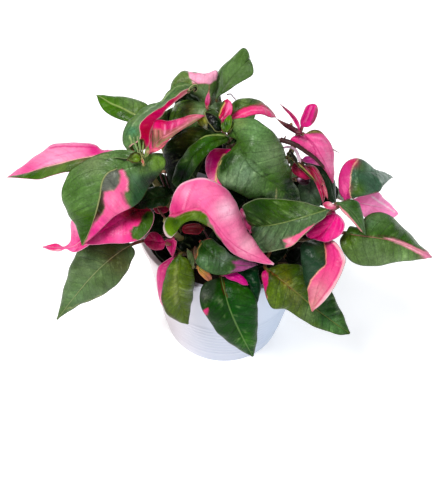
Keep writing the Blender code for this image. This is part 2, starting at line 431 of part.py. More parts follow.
# ---------------------------------------------------------------------------
# Materials
# ---------------------------------------------------------------------------
def material(name, colour, rough):
    m = bpy.data.materials.new(name)
    m.use_nodes = True
    shader = m.node_tree.nodes["Principled BSDF"]
    shader.inputs["Base Color"].default_value = (*colour, 1.0)
    shader.inputs["Roughness"].default_value = rough
    shader.inputs["Metallic"].default_value = 0.0
    m.diffuse_color = (*colour, 1.0)
    return m


MATERIALS = {
    "green": material("leaf_green", (0.09, 0.20, 0.05), 0.4),
    "pink": material("leaf_pink", (0.83, 0.14, 0.37), 0.4),
    "stem": material("stem_brown", (0.16, 0.08, 0.05), 0.6),
    "pot": material("pot_white", (0.80, 0.81, 0.86), 0.35),
    "soil": material("soil_dark", (0.03, 0.02, 0.015), 0.95),
}


# ---------------------------------------------------------------------------
# Solids
# ---------------------------------------------------------------------------
def add_object(name, points, faces, mat):
    """A closed mesh object from points in mm, with its normals outward."""
    mesh = bpy.data.meshes.new(name)
    mesh.from_pydata([tuple(p) for p in np.asarray(points) / 1000.0], [], faces)
    bm = bmesh.new()
    bm.from_mesh(mesh)
    bmesh.ops.triangulate(bm, faces=bm.faces[:])
    bmesh.ops.recalc_face_normals(bm, faces=bm.faces[:])
    if bm.calc_volume(signed=True) < 0:
        bmesh.ops.reverse_faces(bm, faces=bm.faces[:])
    bm.to_mesh(mesh)
    bm.free()
    for p in mesh.polygons:
        p.use_smooth = True
    obj = bpy.data.objects.new(name, mesh)
    obj.data.materials.append(MATERIALS[mat])
    bpy.context.scene.collection.objects.link(obj)
    return obj


def sheet_solid(rows, thick):
    """Points and faces of a thin closed sheet round a grid of points."""
    r, c = rows.shape[:2]
    n = unit(np.cross(np.gradient(rows, axis=0), np.gradient(rows, axis=1)))
    for _ in range(2):
        n[1:-1] = unit(n[:-2] + 2 * n[1:-1] + n[2:])
    across = np.linalg.norm(rows[:, 0] - rows[:, c // 2], axis=1) + np.linalg.norm(rows[:, -1] - rows[:, c // 2], axis=1)
    half = n * (thick / 2 * np.minimum(1.0, across / (3 * thick)))[:, None, None]
    top, low = rows + half, rows - half
    points = np.concatenate([top.reshape(-1, 3), low.reshape(-1, 3)])
    k = r * c
    faces = []
    for i in range(r - 1):
        for j in range(c - 1):
            a, b, d, e = i * c + j, i * c + j + 1, (i + 1) * c + j + 1, (i + 1) * c + j
            faces.append((a, b, d, e))
            faces.append((k + e, k + d, k + b, k + a))
    edge = [i * c for i in range(r)] + [(r - 1) * c + j for j in range(1, c)]
    edge += [i * c + c - 1 for i in range(r - 2, -1, -1)] + [j for j in range(c - 2, 0, -1)]
    for a, b in zip(edge, edge[1:] + edge[:1]):
        faces.append((a, b, k + b, k + a))
    return points, faces


LEAF_ROWS = [0, 3, 6] + [STALK_ROWS + i for i in (0, 3, 7, 11, 15, 19, 24, 28, 31, 32)]
LEAF_COLS = [0, 4, 8, 12, 16]


def tube_solid(line, r0, r1, steps, sides):
    """Points and faces of a closed tapering tube along a smooth line."""
    c = smooth_curve(line, steps)
    points, faces = [], []
    side = np.array([1.0, 0.0, 0.0])
    for i, p in enumerate(c):
        along = unit(c[min(i + 1, steps - 1)] - c[max(i - 1, 0)])
        u = unit(side - along * (side @ along))
        w = np.cross(along, u)
        r = r0 + (r1 - r0) * i / (steps - 1)
        for k in range(sides):
            a = 2 * math.pi * k / sides
            points.append(p + r * (math.cos(a) * u + math.sin(a) * w))
    for i in range(steps - 1):
        for k in range(sides):
            k2 = (k + 1) % sides
            faces.append((i * sides + k, i * sides + k2, (i + 1) * sides + k2, (i + 1) * sides + k))
    faces.append(tuple(range(sides))[::-1])
    faces.append(tuple((steps - 1) * sides + k for k in range(sides)))
    return points, faces


def turned_solid(profile, steps):
    """Points and faces of a profile (r, z) turned about Z; it starts and ends on the axis."""
    points = [(0.0, 0.0, profile[0][1])]
    inner = profile[1:-1]
    for r, z in inner:
        for k in range(steps):
            a = 2 * math.pi * k / steps
            points.append((r * math.cos(a), r * math.sin(a), z))
    points.append((0.0, 0.0, profile[-1][1]))
    faces, last = [], len(points) - 1
    for k in range(steps):
        k2 = (k + 1) % steps
        faces.append((0, 1 + k2, 1 + k))
        for i in range(len(inner) - 1):
            a, b = 1 + i * steps, 1 + (i + 1) * steps
            faces.append((a + k, a + k2, b + k2, b + k))
        e = 1 + (len(inner) - 1) * steps
        faces.append((e + k, e + k2, last))
    return points, faces


def wall_r(z):
    return POT_BASE_R + (POT_TOP_R - RIM_OUT - POT_BASE_R) * z / POT_HEIGHT


def pot_profile():
    out = [(0.0, 0.0), (POT_BASE_R - 1.0, 0.0), (POT_BASE_R, 0.9)]
    z = RIB_LOW
    while z < RIB_HIGH:
        out += [(wall_r(z), z), (wall_r(z + RIB_PITCH / 2) + RIB_DEPTH, z + RIB_PITCH / 2)]
        z += RIB_PITCH
    out += [(wall_r(z), z), (wall_r(POT_HEIGHT - RIM_DEPTH), POT_HEIGHT - RIM_DEPTH)]
    out += [(POT_TOP_R, POT_HEIGHT - RIM_DEPTH + 0.8), (POT_TOP_R, POT_HEIGHT - 0.8), (POT_TOP_R - 0.7, POT_HEIGHT)]
    out += [(wall_r(POT_HEIGHT) - POT_WALL + 0.3, POT_HEIGHT), (wall_r(POT_HEIGHT - 1) - POT_WALL, POT_HEIGHT - 1.0)]
    out += [(wall_r(POT_FLOOR + 2) - POT_WALL, POT_FLOOR + 2.0), (wall_r(POT_FLOOR) - POT_WALL - 1.6, POT_FLOOR), (0.0, POT_FLOOR)]
    return out


def soil_profile():
    clear = POT_WALL + SOIL_GAP
    low = POT_FLOOR + SOIL_GAP
    return [(0.0, low), (wall_r(POT_FLOOR) - POT_WALL - 2.4, low), (wall_r(POT_FLOOR + 2) - clear - 0.3, low + 2.4), (wall_r(SOIL_LEVEL - 1) - clear - 0.1, SOIL_LEVEL - 1.2),
            (wall_r(SOIL_LEVEL) - clear - 1.0, SOIL_LEVEL), (0.0, SOIL_LEVEL)]


points, faces = turned_solid(pot_profile(), ROUND_STEPS)
add_object("pot", points, faces, "pot")
points, faces = turned_solid(soil_profile(), ROUND_STEPS)
add_object("soil", points, faces, "soil")
for key, (line, r0, r1) in STEMS.items():
    points, faces = tube_solid(line, r0, r1, 9, STEM_SIDES)
    add_object(STEM_NAMES[key], points, faces, "stem")
line, r0, r1 = CUT_STALK
points, faces = tube_solid(line, r0, r1, 8, 6)
add_object("cut_stalk", points, faces, "stem")

ROWS = lay_apart(LEAVES, STEMS)
for one in BACK_LEAVES:
    ROWS[one["name"]] = plain_leaf(one, STEMS)
for name, rows in ROWS.items():
    points, faces = sheet_solid(rows[LEAF_ROWS][:, LEAF_COLS], SHEET)
    add_object(name, points, faces, "pink" if name in PINK_LEAVES else "green")
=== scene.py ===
"""Looks of a young potted plant with pink-and-green leaves in a small ribbed pot.

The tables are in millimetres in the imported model's frame (+Z up, the middle of the pot's base at
the origin, the front towards -Y). Every fine surface is laid on the CAD model's own curves.
"""

import math

import bmesh
import bpy
import mathutils
import numpy as np
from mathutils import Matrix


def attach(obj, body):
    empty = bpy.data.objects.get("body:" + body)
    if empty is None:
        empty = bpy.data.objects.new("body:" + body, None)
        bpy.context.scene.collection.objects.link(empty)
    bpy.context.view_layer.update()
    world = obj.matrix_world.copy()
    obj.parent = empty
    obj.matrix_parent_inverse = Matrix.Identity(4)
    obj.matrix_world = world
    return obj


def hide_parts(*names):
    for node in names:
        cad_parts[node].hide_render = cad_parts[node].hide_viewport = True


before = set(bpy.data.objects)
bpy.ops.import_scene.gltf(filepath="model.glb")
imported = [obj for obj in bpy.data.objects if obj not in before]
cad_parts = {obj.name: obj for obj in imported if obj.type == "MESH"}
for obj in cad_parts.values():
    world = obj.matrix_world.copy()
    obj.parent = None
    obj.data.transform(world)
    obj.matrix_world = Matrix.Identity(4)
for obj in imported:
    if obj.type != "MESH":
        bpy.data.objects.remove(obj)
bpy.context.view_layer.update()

# --- driving dimensions, mm, as in the model ---
POT_TOP_R = 45.0
POT_BASE_R = 31.0
POT_HEIGHT = 78.0
POT_WALL = 1.6
POT_FLOOR = 2.2
RIM_OUT = 1.0
RIM_DEPTH = 4.0
RIB_PITCH = 3.2
RIB_DEPTH = 0.35
RIB_LOW, RIB_HIGH = 8.0, 34.0
SOIL_LEVEL = 68.0

# ---------------------------------------------------------------------------
# The plant is laid out from the front: a point is given by where it stands in
# a front picture plane (u to the right, v down, 435 x 495 units) and by its
# height z above the table in millimetres. The eye is EYE_DIST from the middle
# of the pot rim, EYE_UP degrees above the horizon, and leans by EYE_LEAN.
# ---------------------------------------------------------------------------
PIC_W, PIC_H = 435.0, 495.0
EYE_UP, EYE_LEAN, EYE_FOCAL, EYE_DIST = 49.0, 3.2, 935.0, 450.0
AIM = np.array([-4.8, -19.6, 80.0])


def eye_axes():
    e, r = math.radians(EYE_UP), math.radians(EYE_LEAN)
    ahead = np.array([0.0, math.cos(e), -math.sin(e)])
    right = np.array([1.0, 0.0, 0.0])
    up = np.cross(right, ahead)
    return ahead, math.cos(r) * right + math.sin(r) * up, math.cos(r) * up - math.sin(r) * right


AHEAD, PIC_RIGHT, PIC_UP = eye_axes()
EYE = AIM - EYE_DIST * AHEAD


def at(u, v, z):
    """The point at height z (mm) that stands at u, v in the front picture."""
    d = AHEAD + PIC_RIGHT * ((u - PIC_W / 2) / EYE_FOCAL) + PIC_UP * ((PIC_H / 2 - v) / EYE_FOCAL)
    return EYE + d * ((z - EYE[2]) / d[2])


def seen(p):
    """u, v and nearness (mm, larger is nearer the eye) of points."""
    q = np.asarray(p, float) - EYE
    d = q @ AHEAD
    return PIC_W / 2 + EYE_FOCAL * (q @ PIC_RIGHT) / d, PIC_H / 2 - EYE_FOCAL * (q @ PIC_UP) / d, -d


def unit(v):
    n = np.linalg.norm(v, axis=-1, keepdims=True)
    return v / np.where(n < 1e-9, 1.0, n)


def smooth_curve(points, n):
    """n points, evenly spaced, on a smooth curve through the given ones."""
    p = np.asarray(points, float)
    gap = np.maximum(np.linalg.norm(np.diff(p, axis=0), axis=1), 1e-6) ** 0.5
    t = np.concatenate([[0.0], np.cumsum(gap)])
    slope = np.diff(p, axis=0) / gap[:, None]
    m = np.zeros_like(p)
    m[1:-1] = (slope[:-1] * gap[1:, None] + slope[1:] * gap[:-1, None]) / (gap[:-1] + gap[1:])[:, None]
    m[0], m[-1] = (3 * slope[0] - m[1]) / 2, (3 * slope[-1] - m[-2]) / 2
    if len(p) == 2:
        m[:] = slope[0]
    fine = []
    for k in range(len(p) - 1):
        x = np.linspace(0, 1, 24, endpoint=k == len(p) - 2)[:, None]
        h = gap[k]
        fine.append((2 * x**3 - 3 * x**2 + 1) * p[k] + (x**3 - 2 * x**2 + x) * h * m[k] + (3 * x**2 - 2 * x**3) * p[k + 1] + (x**3 - x**2) * h * m[k + 1])
    fine = np.vstack(fine)
    run = np.concatenate([[0.0], np.cumsum(np.linalg.norm(np.diff(fine, axis=0), axis=1))])
    want = np.linspace(0, run[-1], n)
    return np.stack([np.interp(want, run, fine[:, k]) for k in range(3)], axis=1)


STALK_ROWS, BLADE_ROWS, HALF_COLS = 8, 32, 8      # the grid that a leaf is laid out on
STALK_R = 0.8                                      # mm, half the width of a leaf stalk
STALK_CLEAR = 0.5                                  # mm, between a stalk and its stem
TIP_R = 0.45                                       # mm, half the width of a leaf's very tip


def stem_at(stems, name, z):
    """Centre, radius and direction of a stem where it passes height z."""
    line, r0, r1 = stems[name]
    c = smooth_curve(line, 60)
    k = int(np.argmin(np.abs(c[:, 2] - z)))
    return c[k], r0 + (r1 - r0) * k / 59.0, unit(c[min(k + 1, 59)] - c[max(k - 1, 0)])


def edge_curve(leaf, side, sign, mid, half):
    """A margin in space, beside each midrib station. The margin is seen at the given u, v; it is
    brought towards the eye (sign +) or away (-) until the half blade has its natural width."""
    mu, mv, near = seen(mid)
    flat = [(mu[0], mv[0], 0.0)] + [(u, v, 0.0) for u, v in side] + [(mu[-1], mv[-1], 0.0)]
    run = smooth_curve(flat, len(mid))
    depth = -near
    px = np.hypot(run[:, 0] - mu, run[:, 1] - mv) * depth / EYE_FOCAL
    x = np.linspace(0, 1, len(mid))
    natural = half * np.clip(1.9 * (x * (1.0 - x)) ** 0.5, 0, 1)
    lift = sign * np.sqrt(np.maximum(natural**2 - px**2, 0)) + np.sign(sign) * leaf.get("open", 0.0) * np.sin(np.pi * x) ** 0.5
    for _ in range(6):
        lift[1:-1] = (lift[:-2] + 2 * lift[1:-1] + lift[2:]) / 4
        lift[0] = lift[-1] = 0
    d = AHEAD + PIC_RIGHT * ((run[:, 0] - PIC_W / 2) / EYE_FOCAL)[:, None] + PIC_UP * ((PIC_H / 2 - run[:, 1]) / EYE_FOCAL)[:, None]
    return EYE + d * (depth - lift)[:, None]


def leaf_rows(leaf, stems):
    """The leaf as rows of points from its stem to its tip: (rows, 2 * HALF_COLS + 1, 3). The first
    STALK_ROWS rows are the stalk. Columns run from margin a, across the midrib, to margin b."""
    ctrl = [at(*p) for p in leaf["mid"]]
    mid = smooth_curve(ctrl, BLADE_ROWS + 1)
    base, ahead = mid[0], unit(mid[1] - mid[0])
    centre, radius, along = stem_at(stems, leaf["stem"], leaf["node_z"])
    out = base - centre
    out = unit(out - along * (out @ along))
    start = centre + out * (radius + STALK_CLEAR)
    reach = np.linalg.norm(base - start)
    x = np.linspace(0, 1, STALK_ROWS + 1)[:-1, None]
    m0, m1 = out * reach * 0.7, ahead * reach * 0.5
    stalk = (2 * x**3 - 3 * x**2 + 1) * start + (x**3 - 2 * x**2 + x) * m0 + (3 * x**2 - 2 * x**3) * base + (x**3 - x**2) * m1
    sides = [edge_curve(leaf, leaf["a"], leaf["sa"], mid, leaf["w"]), edge_curve(leaf, leaf["b"], leaf["sb"], mid, leaf["w"])]
    across = []
    for k, way in ((0, ahead), (-1, unit(mid[-1] - mid[-2]))):
        near = 2 if k == 0 else -3
        sa, sb = unit(sides[0][near] - mid[near]), unit(sides[1][near] - mid[near])
        flat = sb - sa
        if np.linalg.norm(flat) < 0.4:
            flat = np.cross(way, sa + sb)
        flat = unit(flat - way * (flat @ way))
        half = STALK_R if k == 0 else TIP_R
        sides[0][k], sides[1][k] = mid[k] - flat * half, mid[k] + flat * half
        across.append(flat)
    rows = np.zeros((STALK_ROWS + BLADE_ROWS + 1, 2 * HALF_COLS + 1, 3))
    tang = unit(np.gradient(mid, axis=0))
    tau = np.linspace(0, 1, HALF_COLS + 1)
    camber = leaf.get("camber", 0.10)
    ca, cb = camber if isinstance(camber, tuple) else (camber, camber)
    normals = []
    for edge, sign, c in ((sides[0], 1, ca), (sides[1], -1, cb)):
        d = edge - mid
        n = unit(np.cross(d, tang)) * sign
        normals.append((d, n, c))
    facing = np.mean([(n * (EYE - mid)).sum() for _, n, _ in normals])
    flip = 1.0 if facing > 0 else -1.0
    for which, (d, n, c) in enumerate(normals):
        w = np.linalg.norm(d, axis=1)[:, None]
        for j, t in enumerate(tau):
            col = HALF_COLS - j if which == 0 else HALF_COLS + j
            rows[STALK_ROWS:, col] = mid + d * t + n * flip * w * c * 4 * t * (1 - t)
    # the stalk is a narrow strip that turns from the stem's side to the blade's
    across1 = across[0]
    across0 = unit(np.cross(out, along))
    if across0 @ across1 < 0:
        across0 = -across0
    for i in range(STALK_ROWS):
        f = i / STALK_ROWS
        t_dir = unit((stalk[i + 1] if i + 1 < STALK_ROWS else base) - stalk[i])
        ac = across0 * (1 - f) + across1 * f
        ac = unit(ac - t_dir * (ac @ t_dir))
        for j in range(-HALF_COLS, HALF_COLS + 1):
            rows[i, HALF_COLS + j] = stalk[i] + ac * STALK_R * j / HALF_COLS
    return rows


GAP = 2.0          # mm that a leaf stays behind the one in front of it


def spread(f):
    """One step of smoothing on a grid of rows and columns."""
    g = f.copy()
    g[1:-1] = (f[:-2] + 2 * f[1:-1] + f[2:]) / 4
    g[-1] = (f[-2] + f[-1]) / 2
    h = g.copy()
    h[:, 1:-1] = (g[:, :-2] + 2 * g[:, 1:-1] + g[:, 2:]) / 4
    h[:, 0], h[:, -1] = (g[:, 0] + g[:, 1]) / 2, (g[:, -1] + g[:, -2]) / 2
    return h


def refine(rows, k):
    """A grid with k times as many steps each way, by straight interpolation."""
    r, c = rows.shape[:2]
    ri, ci = np.linspace(0, r - 1, (r - 1) * k + 1), np.linspace(0, c - 1, (c - 1) * k + 1)
    i0, j0 = np.minimum(ri.astype(int), r - 2), np.minimum(ci.astype(int), c - 2)
    fi, fj = (ri - i0)[:, None, None], (ci - j0)[None, :, None]
    a = rows[i0][:, j0] * (1 - fj) + rows[i0][:, j0 + 1] * fj
    b = rows[i0 + 1][:, j0] * (1 - fj) + rows[i0 + 1][:, j0 + 1] * fj
    return a * (1 - fi) + b * fi


def lay_apart(leaves, stems):
    """Rows of every leaf, front to back, each moved away from the eye where it would meet one in front."""
    far = np.full((int(PIC_H) + 60, int(PIC_W) + 60), 1e9)
    placed = {}
    for leaf in leaves:
        rows = leaf_rows(leaf, stems)
        hold = leaf.get("free", False)
        u, v, near = seen(rows)
        iu, iv = np.clip(np.round(u).astype(int) + 30, 0, far.shape[1] - 1), np.clip(np.round(v).astype(int) + 30, 0, far.shape[0] - 1)
        need = np.maximum(near - (far[iv, iu] - leaf.get("gap", GAP)), 0)
        need[:STALK_ROWS] = 0
        if hold:
            need[:] = 0
        shift = need.copy()
        for _ in range(60):
            shift = np.maximum(spread(shift), need)
            shift[0] = 0
        away = unit(rows - EYE)
        rows = rows + away * shift[..., None]
        placed[leaf["name"]] = rows
        dense = refine(rows[STALK_ROWS:], 4)
        u, v, near = seen(dense)
        iu, iv = np.clip(np.round(u).astype(int) + 30, 2, far.shape[1] - 3), np.clip(np.round(v).astype(int) + 30, 2, far.shape[0] - 3)
        for du in (-2, -1, 0, 1, 2):
            for dv in (-2, -1, 0, 1, 2):
                np.minimum.at(far, (iv + dv, iu + du), near)
    return placed


def plain_leaf(one, stems):
    """The same rows of points for a leaf given by its length, width and droop."""
    centre, radius, along = stem_at(stems, one["stem"], one["node_z"])
    way = math.radians(one["way"])
    flat = np.array([math.cos(way), math.sin(way), 0.0])
    side = np.array([-math.sin(way), math.cos(way), 0.0])
    start = centre + unit(flat - along * (flat @ along)) * (radius + STALK_CLEAR)
    stalk_long = 7.0
    total = STALK_ROWS + BLADE_ROWS + 1
    rows = np.zeros((total, 2 * HALF_COLS + 1, 3))
    p = start.copy()
    fine = []
    steps = 240
    for i in range(steps + 1):
        f = i / steps
        slope = math.radians(one["rise"] + (one["fall"] - one["rise"]) * f**1.3)
        fine.append((p.copy(), slope))
        p = p + (flat * math.cos(slope) + np.array([0, 0, math.sin(slope)])) * (one["long"] + stalk_long) / steps
    cut = stalk_long / (one["long"] + stalk_long)
    spots = [cut * i / STALK_ROWS for i in range(STALK_ROWS)] + [cut + (1 - cut) * i / BLADE_ROWS for i in range(BLADE_ROWS + 1)]
    for i, f in enumerate(spots):
        q, slope = fine[min(int(round(f * steps)), steps)]
        up = np.array([0.0, 0.0, 1.0]) * math.cos(slope) - flat * math.sin(slope)
        if i < STALK_ROWS:
            half, fold = STALK_R, 0.0
        else:
            s = (i - STALK_ROWS) / BLADE_ROWS
            half = max(one["w"] * 1.9 * (s**0.75) * (1 - s) ** 0.85 / 1.12, STALK_R if s < 0.5 else TIP_R)
            fold = math.radians(one["fold"]) * min(1.0, s * 4)
        for j in range(-HALF_COLS, HALF_COLS + 1):
            t = j / HALF_COLS
            rows[i, HALF_COLS + j] = q + side * (half * t * math.cos(fold)) + up * (half * abs(t) * math.sin(fold) * (1.4 - 0.9 * abs(t)))
    return rows

# name: centre line (x, y, z) mm, then half width and half thickness at points along it
STEMS = {
    "A": ([(-17, -10, 69.2), (-25, -15, 95), (-34, -20, 122), (-42, -24.0, 144.5)], 2.1, 1.2),
    "B": ([(-18, 8, 69.2), (-27, 12, 95), (-35, 14, 118), (-38, 15.5, 128)], 1.9, 1.3),
    "C": ([(-8, 22, 69.2), (-10, 22, 90), (-11, 21, 108), (-11, 20, 124)], 2.1, 1.3),
    "O": ([(-1, 2, 69.2), (-2, -0.5, 100), (-1.5, -2.5, 122), (-1.2, -4, 138)], 2.2, 1.2),
    "F": ([(-10, -18, 69.2), (-17, -25, 85), (-25, -31, 102), (-29, -33, 113)], 1.9, 1.2),
    "G": ([(0, -22, 69.2), (-2, -27, 80), (-5, -31, 88), (-7, -32.5, 94)], 1.8, 1.2),
    "K": ([(16, -10, 69.2), (26, -18, 90), (35.5, -24, 104), (43.5, -28, 119)], 2.0, 1.2),
    "N": ([(12, 8, 69.2), (18, 4, 95), (24, -1, 118), (28.5, -4.5, 144.5)], 2.0, 1.1),
    "R": ([(4, 26, 69.2), (6, 33, 85), (8, 37, 98), (8, 40, 108)], 1.9, 1.2),
}

LEAVES = []


def leaf(name, stem, node_z, mid, a, b, w, sa=0.0, sb=0.0, **more):
    LEAVES.append(dict(name=name, stem=stem, node_z=node_z, mid=mid, a=a, b=b, w=w, sa=sa, sb=sb, **more))


# front-most first
leaf("leaf_left_big", "A", 136, [(131, 163, 143), (118, 168.5, 143), (108, 173, 141.5), (103, 180, 139), (99, 200, 131), (92, 225, 121), (82, 245.5, 113)],
     [(118, 153), (106, 152), (88, 159), (71, 170), (65, 180), (62, 190), (63.5, 203), (70, 217), (77, 231)],
     [(140, 162), (147, 156.5), (156, 154.5), (164, 157), (166, 164), (158, 176), (148, 189), (140, 201), (128, 210), (115, 216), (107, 224), (95, 235), (87, 242)], 19, -0.25, 0.15)
leaf("leaf_left_outer", "A", 140, [(124, 152.5, 142), (112, 152.5, 142.5), (90, 157.5, 141), (70, 161.5, 138.5), (50, 166.5, 135.5), (30, 172.5, 132.5), (7, 177.3, 130)],
     [(108, 151), (102, 151), (96, 144.5), (80, 142.5), (55, 144), (45, 149), (30, 160), (18, 169.5)],
     [(115, 163), (103, 167), (87, 170), (70, 171.5), (50, 177), (38, 179.3), (22, 178.7)], 13, -0.8, 0.7)
leaf("leaf_pink_pointed", "A", 142.5, [(149, 152.5, 147), (158, 141, 149), (172, 130, 148), (188, 121, 146), (205, 115.5, 143)],
     [(149.5, 144), (152, 134), (152.6, 127), (155, 121.8), (166, 121.2), (180, 118), (195, 115)],
     [(154, 152.5), (162, 148), (170, 139), (180, 131), (190, 125), (198, 120)], 10, -0.5, 0.5)
leaf("leaf_centre_pink", "F", 112, [(171, 216, 121), (183, 212, 127), (195, 208, 130), (206, 212, 130), (215, 223, 126), (226, 237, 118), (241, 249, 109), (274, 264.3, 99)],
     [(170, 208), (172, 198), (176, 189), (183, 183), (192, 179), (202, 178), (211, 180), (220, 184), (229, 191), (235, 201), (241, 215), (248, 231), (256, 243), (264, 253.5)],
     [(165, 221), (163.5, 229), (166, 236), (170, 238.5), (175, 234), (179, 227), (186, 222), (196, 221), (206, 222.5), (214, 231), (222, 243), (231, 252), (242, 258.5), (254, 262), (264, 264)], 15, -0.5, -0.35, camber=(0.16, 0.1))
leaf("leaf_right_broad", "K", 117, [(328, 209.5, 127), (310, 215, 127), (290, 221, 123.5), (272, 225, 118), (260, 226, 112), (250, 225, 106)],
     [(318, 206), (302, 202), (285, 199), (270, 198), (258, 198.5), (249, 202), (242.5, 206.5), (245, 214.5)],
     [(325, 217), (315, 224.5), (308, 231), (300, 238.5), (292, 246), (285, 248.5), (272, 251.5), (263, 252.5), (257, 248), (253.5, 241), (251.6, 234), (250.4, 229)], 16, -0.35, -0.1)
leaf("leaf_centre_big", "O", 134, [(232.5, 127.5, 147), (240, 146, 146), (250, 166, 141), (275, 184, 129), (302, 204.5, 113)],
     [(233, 121), (243, 117.5), (253, 118.5), (262, 123.5), (272, 131), (280, 141), (285, 152), (289, 166), (293, 180), (298, 193)],
     [(229, 136), (238, 141), (230, 150), (222, 158), (218, 167), (217, 178), (222, 185.5), (232, 190.5), (247, 197), (266, 201), (284, 204)], 19, -0.5, -0.3, camber=(0.12, 0.12))
leaf("leaf_bud_pink", "O", 136.5, [(223, 120, 147), (225, 112, 151), (227.5, 99, 156)],
     [(218.5, 117), (219.5, 109), (223, 101.5)], [(231, 115), (232.5, 108), (231, 102)], 6, -0.5, 0.4)
leaf("leaf_top_right", "O", 135, [(230, 117, 146), (237, 111, 148), (248, 105.5, 150), (261, 106, 150), (269, 110, 147), (276, 117.5, 142)],
     [(230, 106), (236, 100), (246, 98.5), (257, 100.5), (263, 104), (271, 110)],
     [(234, 120.5), (242, 119), (250, 116), (261, 114.5), (270, 117.5)], 11, -0.6, 0.5)
leaf("leaf_dark_front", "O", 128, [(227, 139, 140), (219, 140, 142), (207, 144, 143), (196, 154, 139), (187, 168, 131), (178, 188, 121)],
     [(225, 134), (213, 133.5), (200, 138.5), (190, 146.5), (182, 157), (175, 170), (172, 182)],
     [(228, 141.5), (219, 146), (210, 151.5), (203, 158.5), (197, 167), (191, 176), (185, 184)], 10, -0.3, 0.3)
leaf("leaf_curled", "A", 132.6, [(129, 149.5, 146), (125, 144, 146.5), (124.5, 136, 147), (128, 124, 148), (138, 114, 149.5), (150, 105.5, 150.5), (161, 102, 151), (168, 93.5, 152), (175, 85.5, 152), (184, 82.5, 151), (196, 87, 147.5)],
     [(132, 145), (138, 142), (141, 138), (140.5, 133), (139.6, 127.5), (141.5, 121.5), (146, 116.5), (152.5, 112.5), (159, 108.5), (167, 102.5), (175, 97), (183, 92), (190, 88.8)],
     [(137, 151), (146, 149.5), (150.2, 143), (150.6, 136), (151.8, 129), (155, 122.5), (160.5, 117), (166.5, 110), (172, 104), (180, 98.3), (188, 92.5)], 12, 0.5, -0.5, camber=(0.06, -0.1), open=4)
leaf("leaf_shaded_left", "F", 107, [(171, 196, 121), (158, 197, 122), (145, 200, 121), (132, 206, 117)],
     [(165, 187), (155, 187), (143, 191), (135, 198)], [(167, 205), (155, 208), (145, 209), (137, 209)], 10, -0.5, 0.1)
leaf("leaf_left_magenta", "A", 118, [(144, 207, 121), (130, 215, 121), (112, 226, 116), (84, 244.5, 108)],
     [(136, 196), (120, 200), (103, 211), (92, 228)],
     [(154, 213), (151, 228), (141, 239), (128, 242.5), (105, 244), (92, 244.8)], 15, -0.3, 0.1)
leaf("leaf_left_twisted", "A", 110, [(106, 214, 112), (90, 232, 108), (74, 246, 104), (58, 247.5, 101), (42.5, 247, 100)],
     [(92, 208), (76, 213), (71, 222), (71.5, 234), (71, 241), (65, 247), (57, 243.5), (50, 244.5)],
     [(103, 232), (88, 246), (74, 252.5), (66, 249), (60, 251.5), (50, 250.5)], 10, -0.2, 0.1)
leaf("leaf_dark_back", "O", 126, [(220, 133, 136), (200, 141, 137), (185, 155, 131), (178, 175, 121), (176, 195, 111)],
     [(212, 127), (192, 127.5), (178, 134), (168, 143), (163.5, 153), (164, 165), (168, 178), (171, 188)],
     [(215, 145), (205, 158), (198, 172), (190, 185)], 15, -0.4, 0.0, gap=3.2)
leaf("leaf_arching", "C", 116, [(214, 111, 139), (201, 107, 142), (188, 108, 140), (177, 116, 134), (172, 130, 124)],
     [(206, 104), (196, 100.5), (187, 100), (179, 102), (173, 109), (170, 119)],
     [(208, 119), (200, 127), (190, 128), (180, 131)], 12, -0.6, 0.0)
leaf("leaf_top_left", "C", 122, [(209.5, 98, 140), (201, 87, 145), (188, 79, 148), (177, 83, 146), (172, 96, 140)],
     [(215.5, 89), (217, 71), (203, 73), (190, 72.5), (183, 71), (175, 77), (170.5, 87)],
     [(205, 105.5), (199, 106), (192, 103.5), (185, 100.5), (178, 98)], 13, -0.6, -0.3)
leaf("leaf_top_tall", "C", 122.5, [(217.5, 98, 139), (228, 82, 147), (240, 68, 150), (250, 59, 149)],
     [(212.8, 90), (214.5, 80), (219, 69.5), (230, 59), (243, 47.5), (247, 50)],
     [(221, 95), (231, 89), (241, 82), (252.5, 75), (253, 67)], 14, -0.6, 0.3)
leaf("leaf_upper_left", "B", 126, [(143, 117.5, 131), (130, 112.5, 132), (115, 105.5, 132), (96.5, 95, 131)],
     [(148, 106), (140, 101), (132, 98), (115, 97), (105, 96)],
     [(136, 123), (128, 122), (118, 119), (108, 114), (101, 107)], 12, -0.6, 0.2)
leaf("leaf_centre_inner", "O", 118, [(238, 150, 137), (228, 158, 134), (219, 170, 128), (215, 187, 121)],
     [(226, 149), (213, 149.5), (206, 158), (205.5, 167), (208, 177), (211, 184)],
     [(243, 160), (238, 173), (228, 185)], 11, -0.3, 0.0)
leaf("leaf_right_magenta", "K", 106.5, [(334, 213, 122), (332, 221, 120), (325, 231, 114), (313, 239, 108)],
     [(322, 218), (312, 228), (306, 234.5)],
     [(340, 216), (344.5, 223), (343, 231), (337, 237.5), (328, 241.5), (320, 241)], 10, -0.3, 0.1, camber=0.2)
leaf("leaf_right_small", "K", 115.3, [(338, 203.5, 125), (348, 208, 125), (357, 218, 121), (365.5, 234.5, 114)],
     [(344, 201), (351, 199.5), (358, 202), (361, 209), (364, 221)],
     [(341, 210), (350, 219), (356, 226), (361, 231.5)], 8, -0.6, 0.2)
leaf("leaf_right_hanging", "K", 95, [(324, 240, 105), (327, 254, 105), (325, 268, 102), (318, 286, 94), (312, 311.5, 81)],
     [(310, 240), (301, 245), (300.5, 255), (302, 268), (305, 282), (307, 291), (309, 302)],
     [(334, 241), (342, 250.5), (346, 259), (343, 270), (336, 285), (328, 297), (320, 305.5)], 13, -0.5, 0.5)
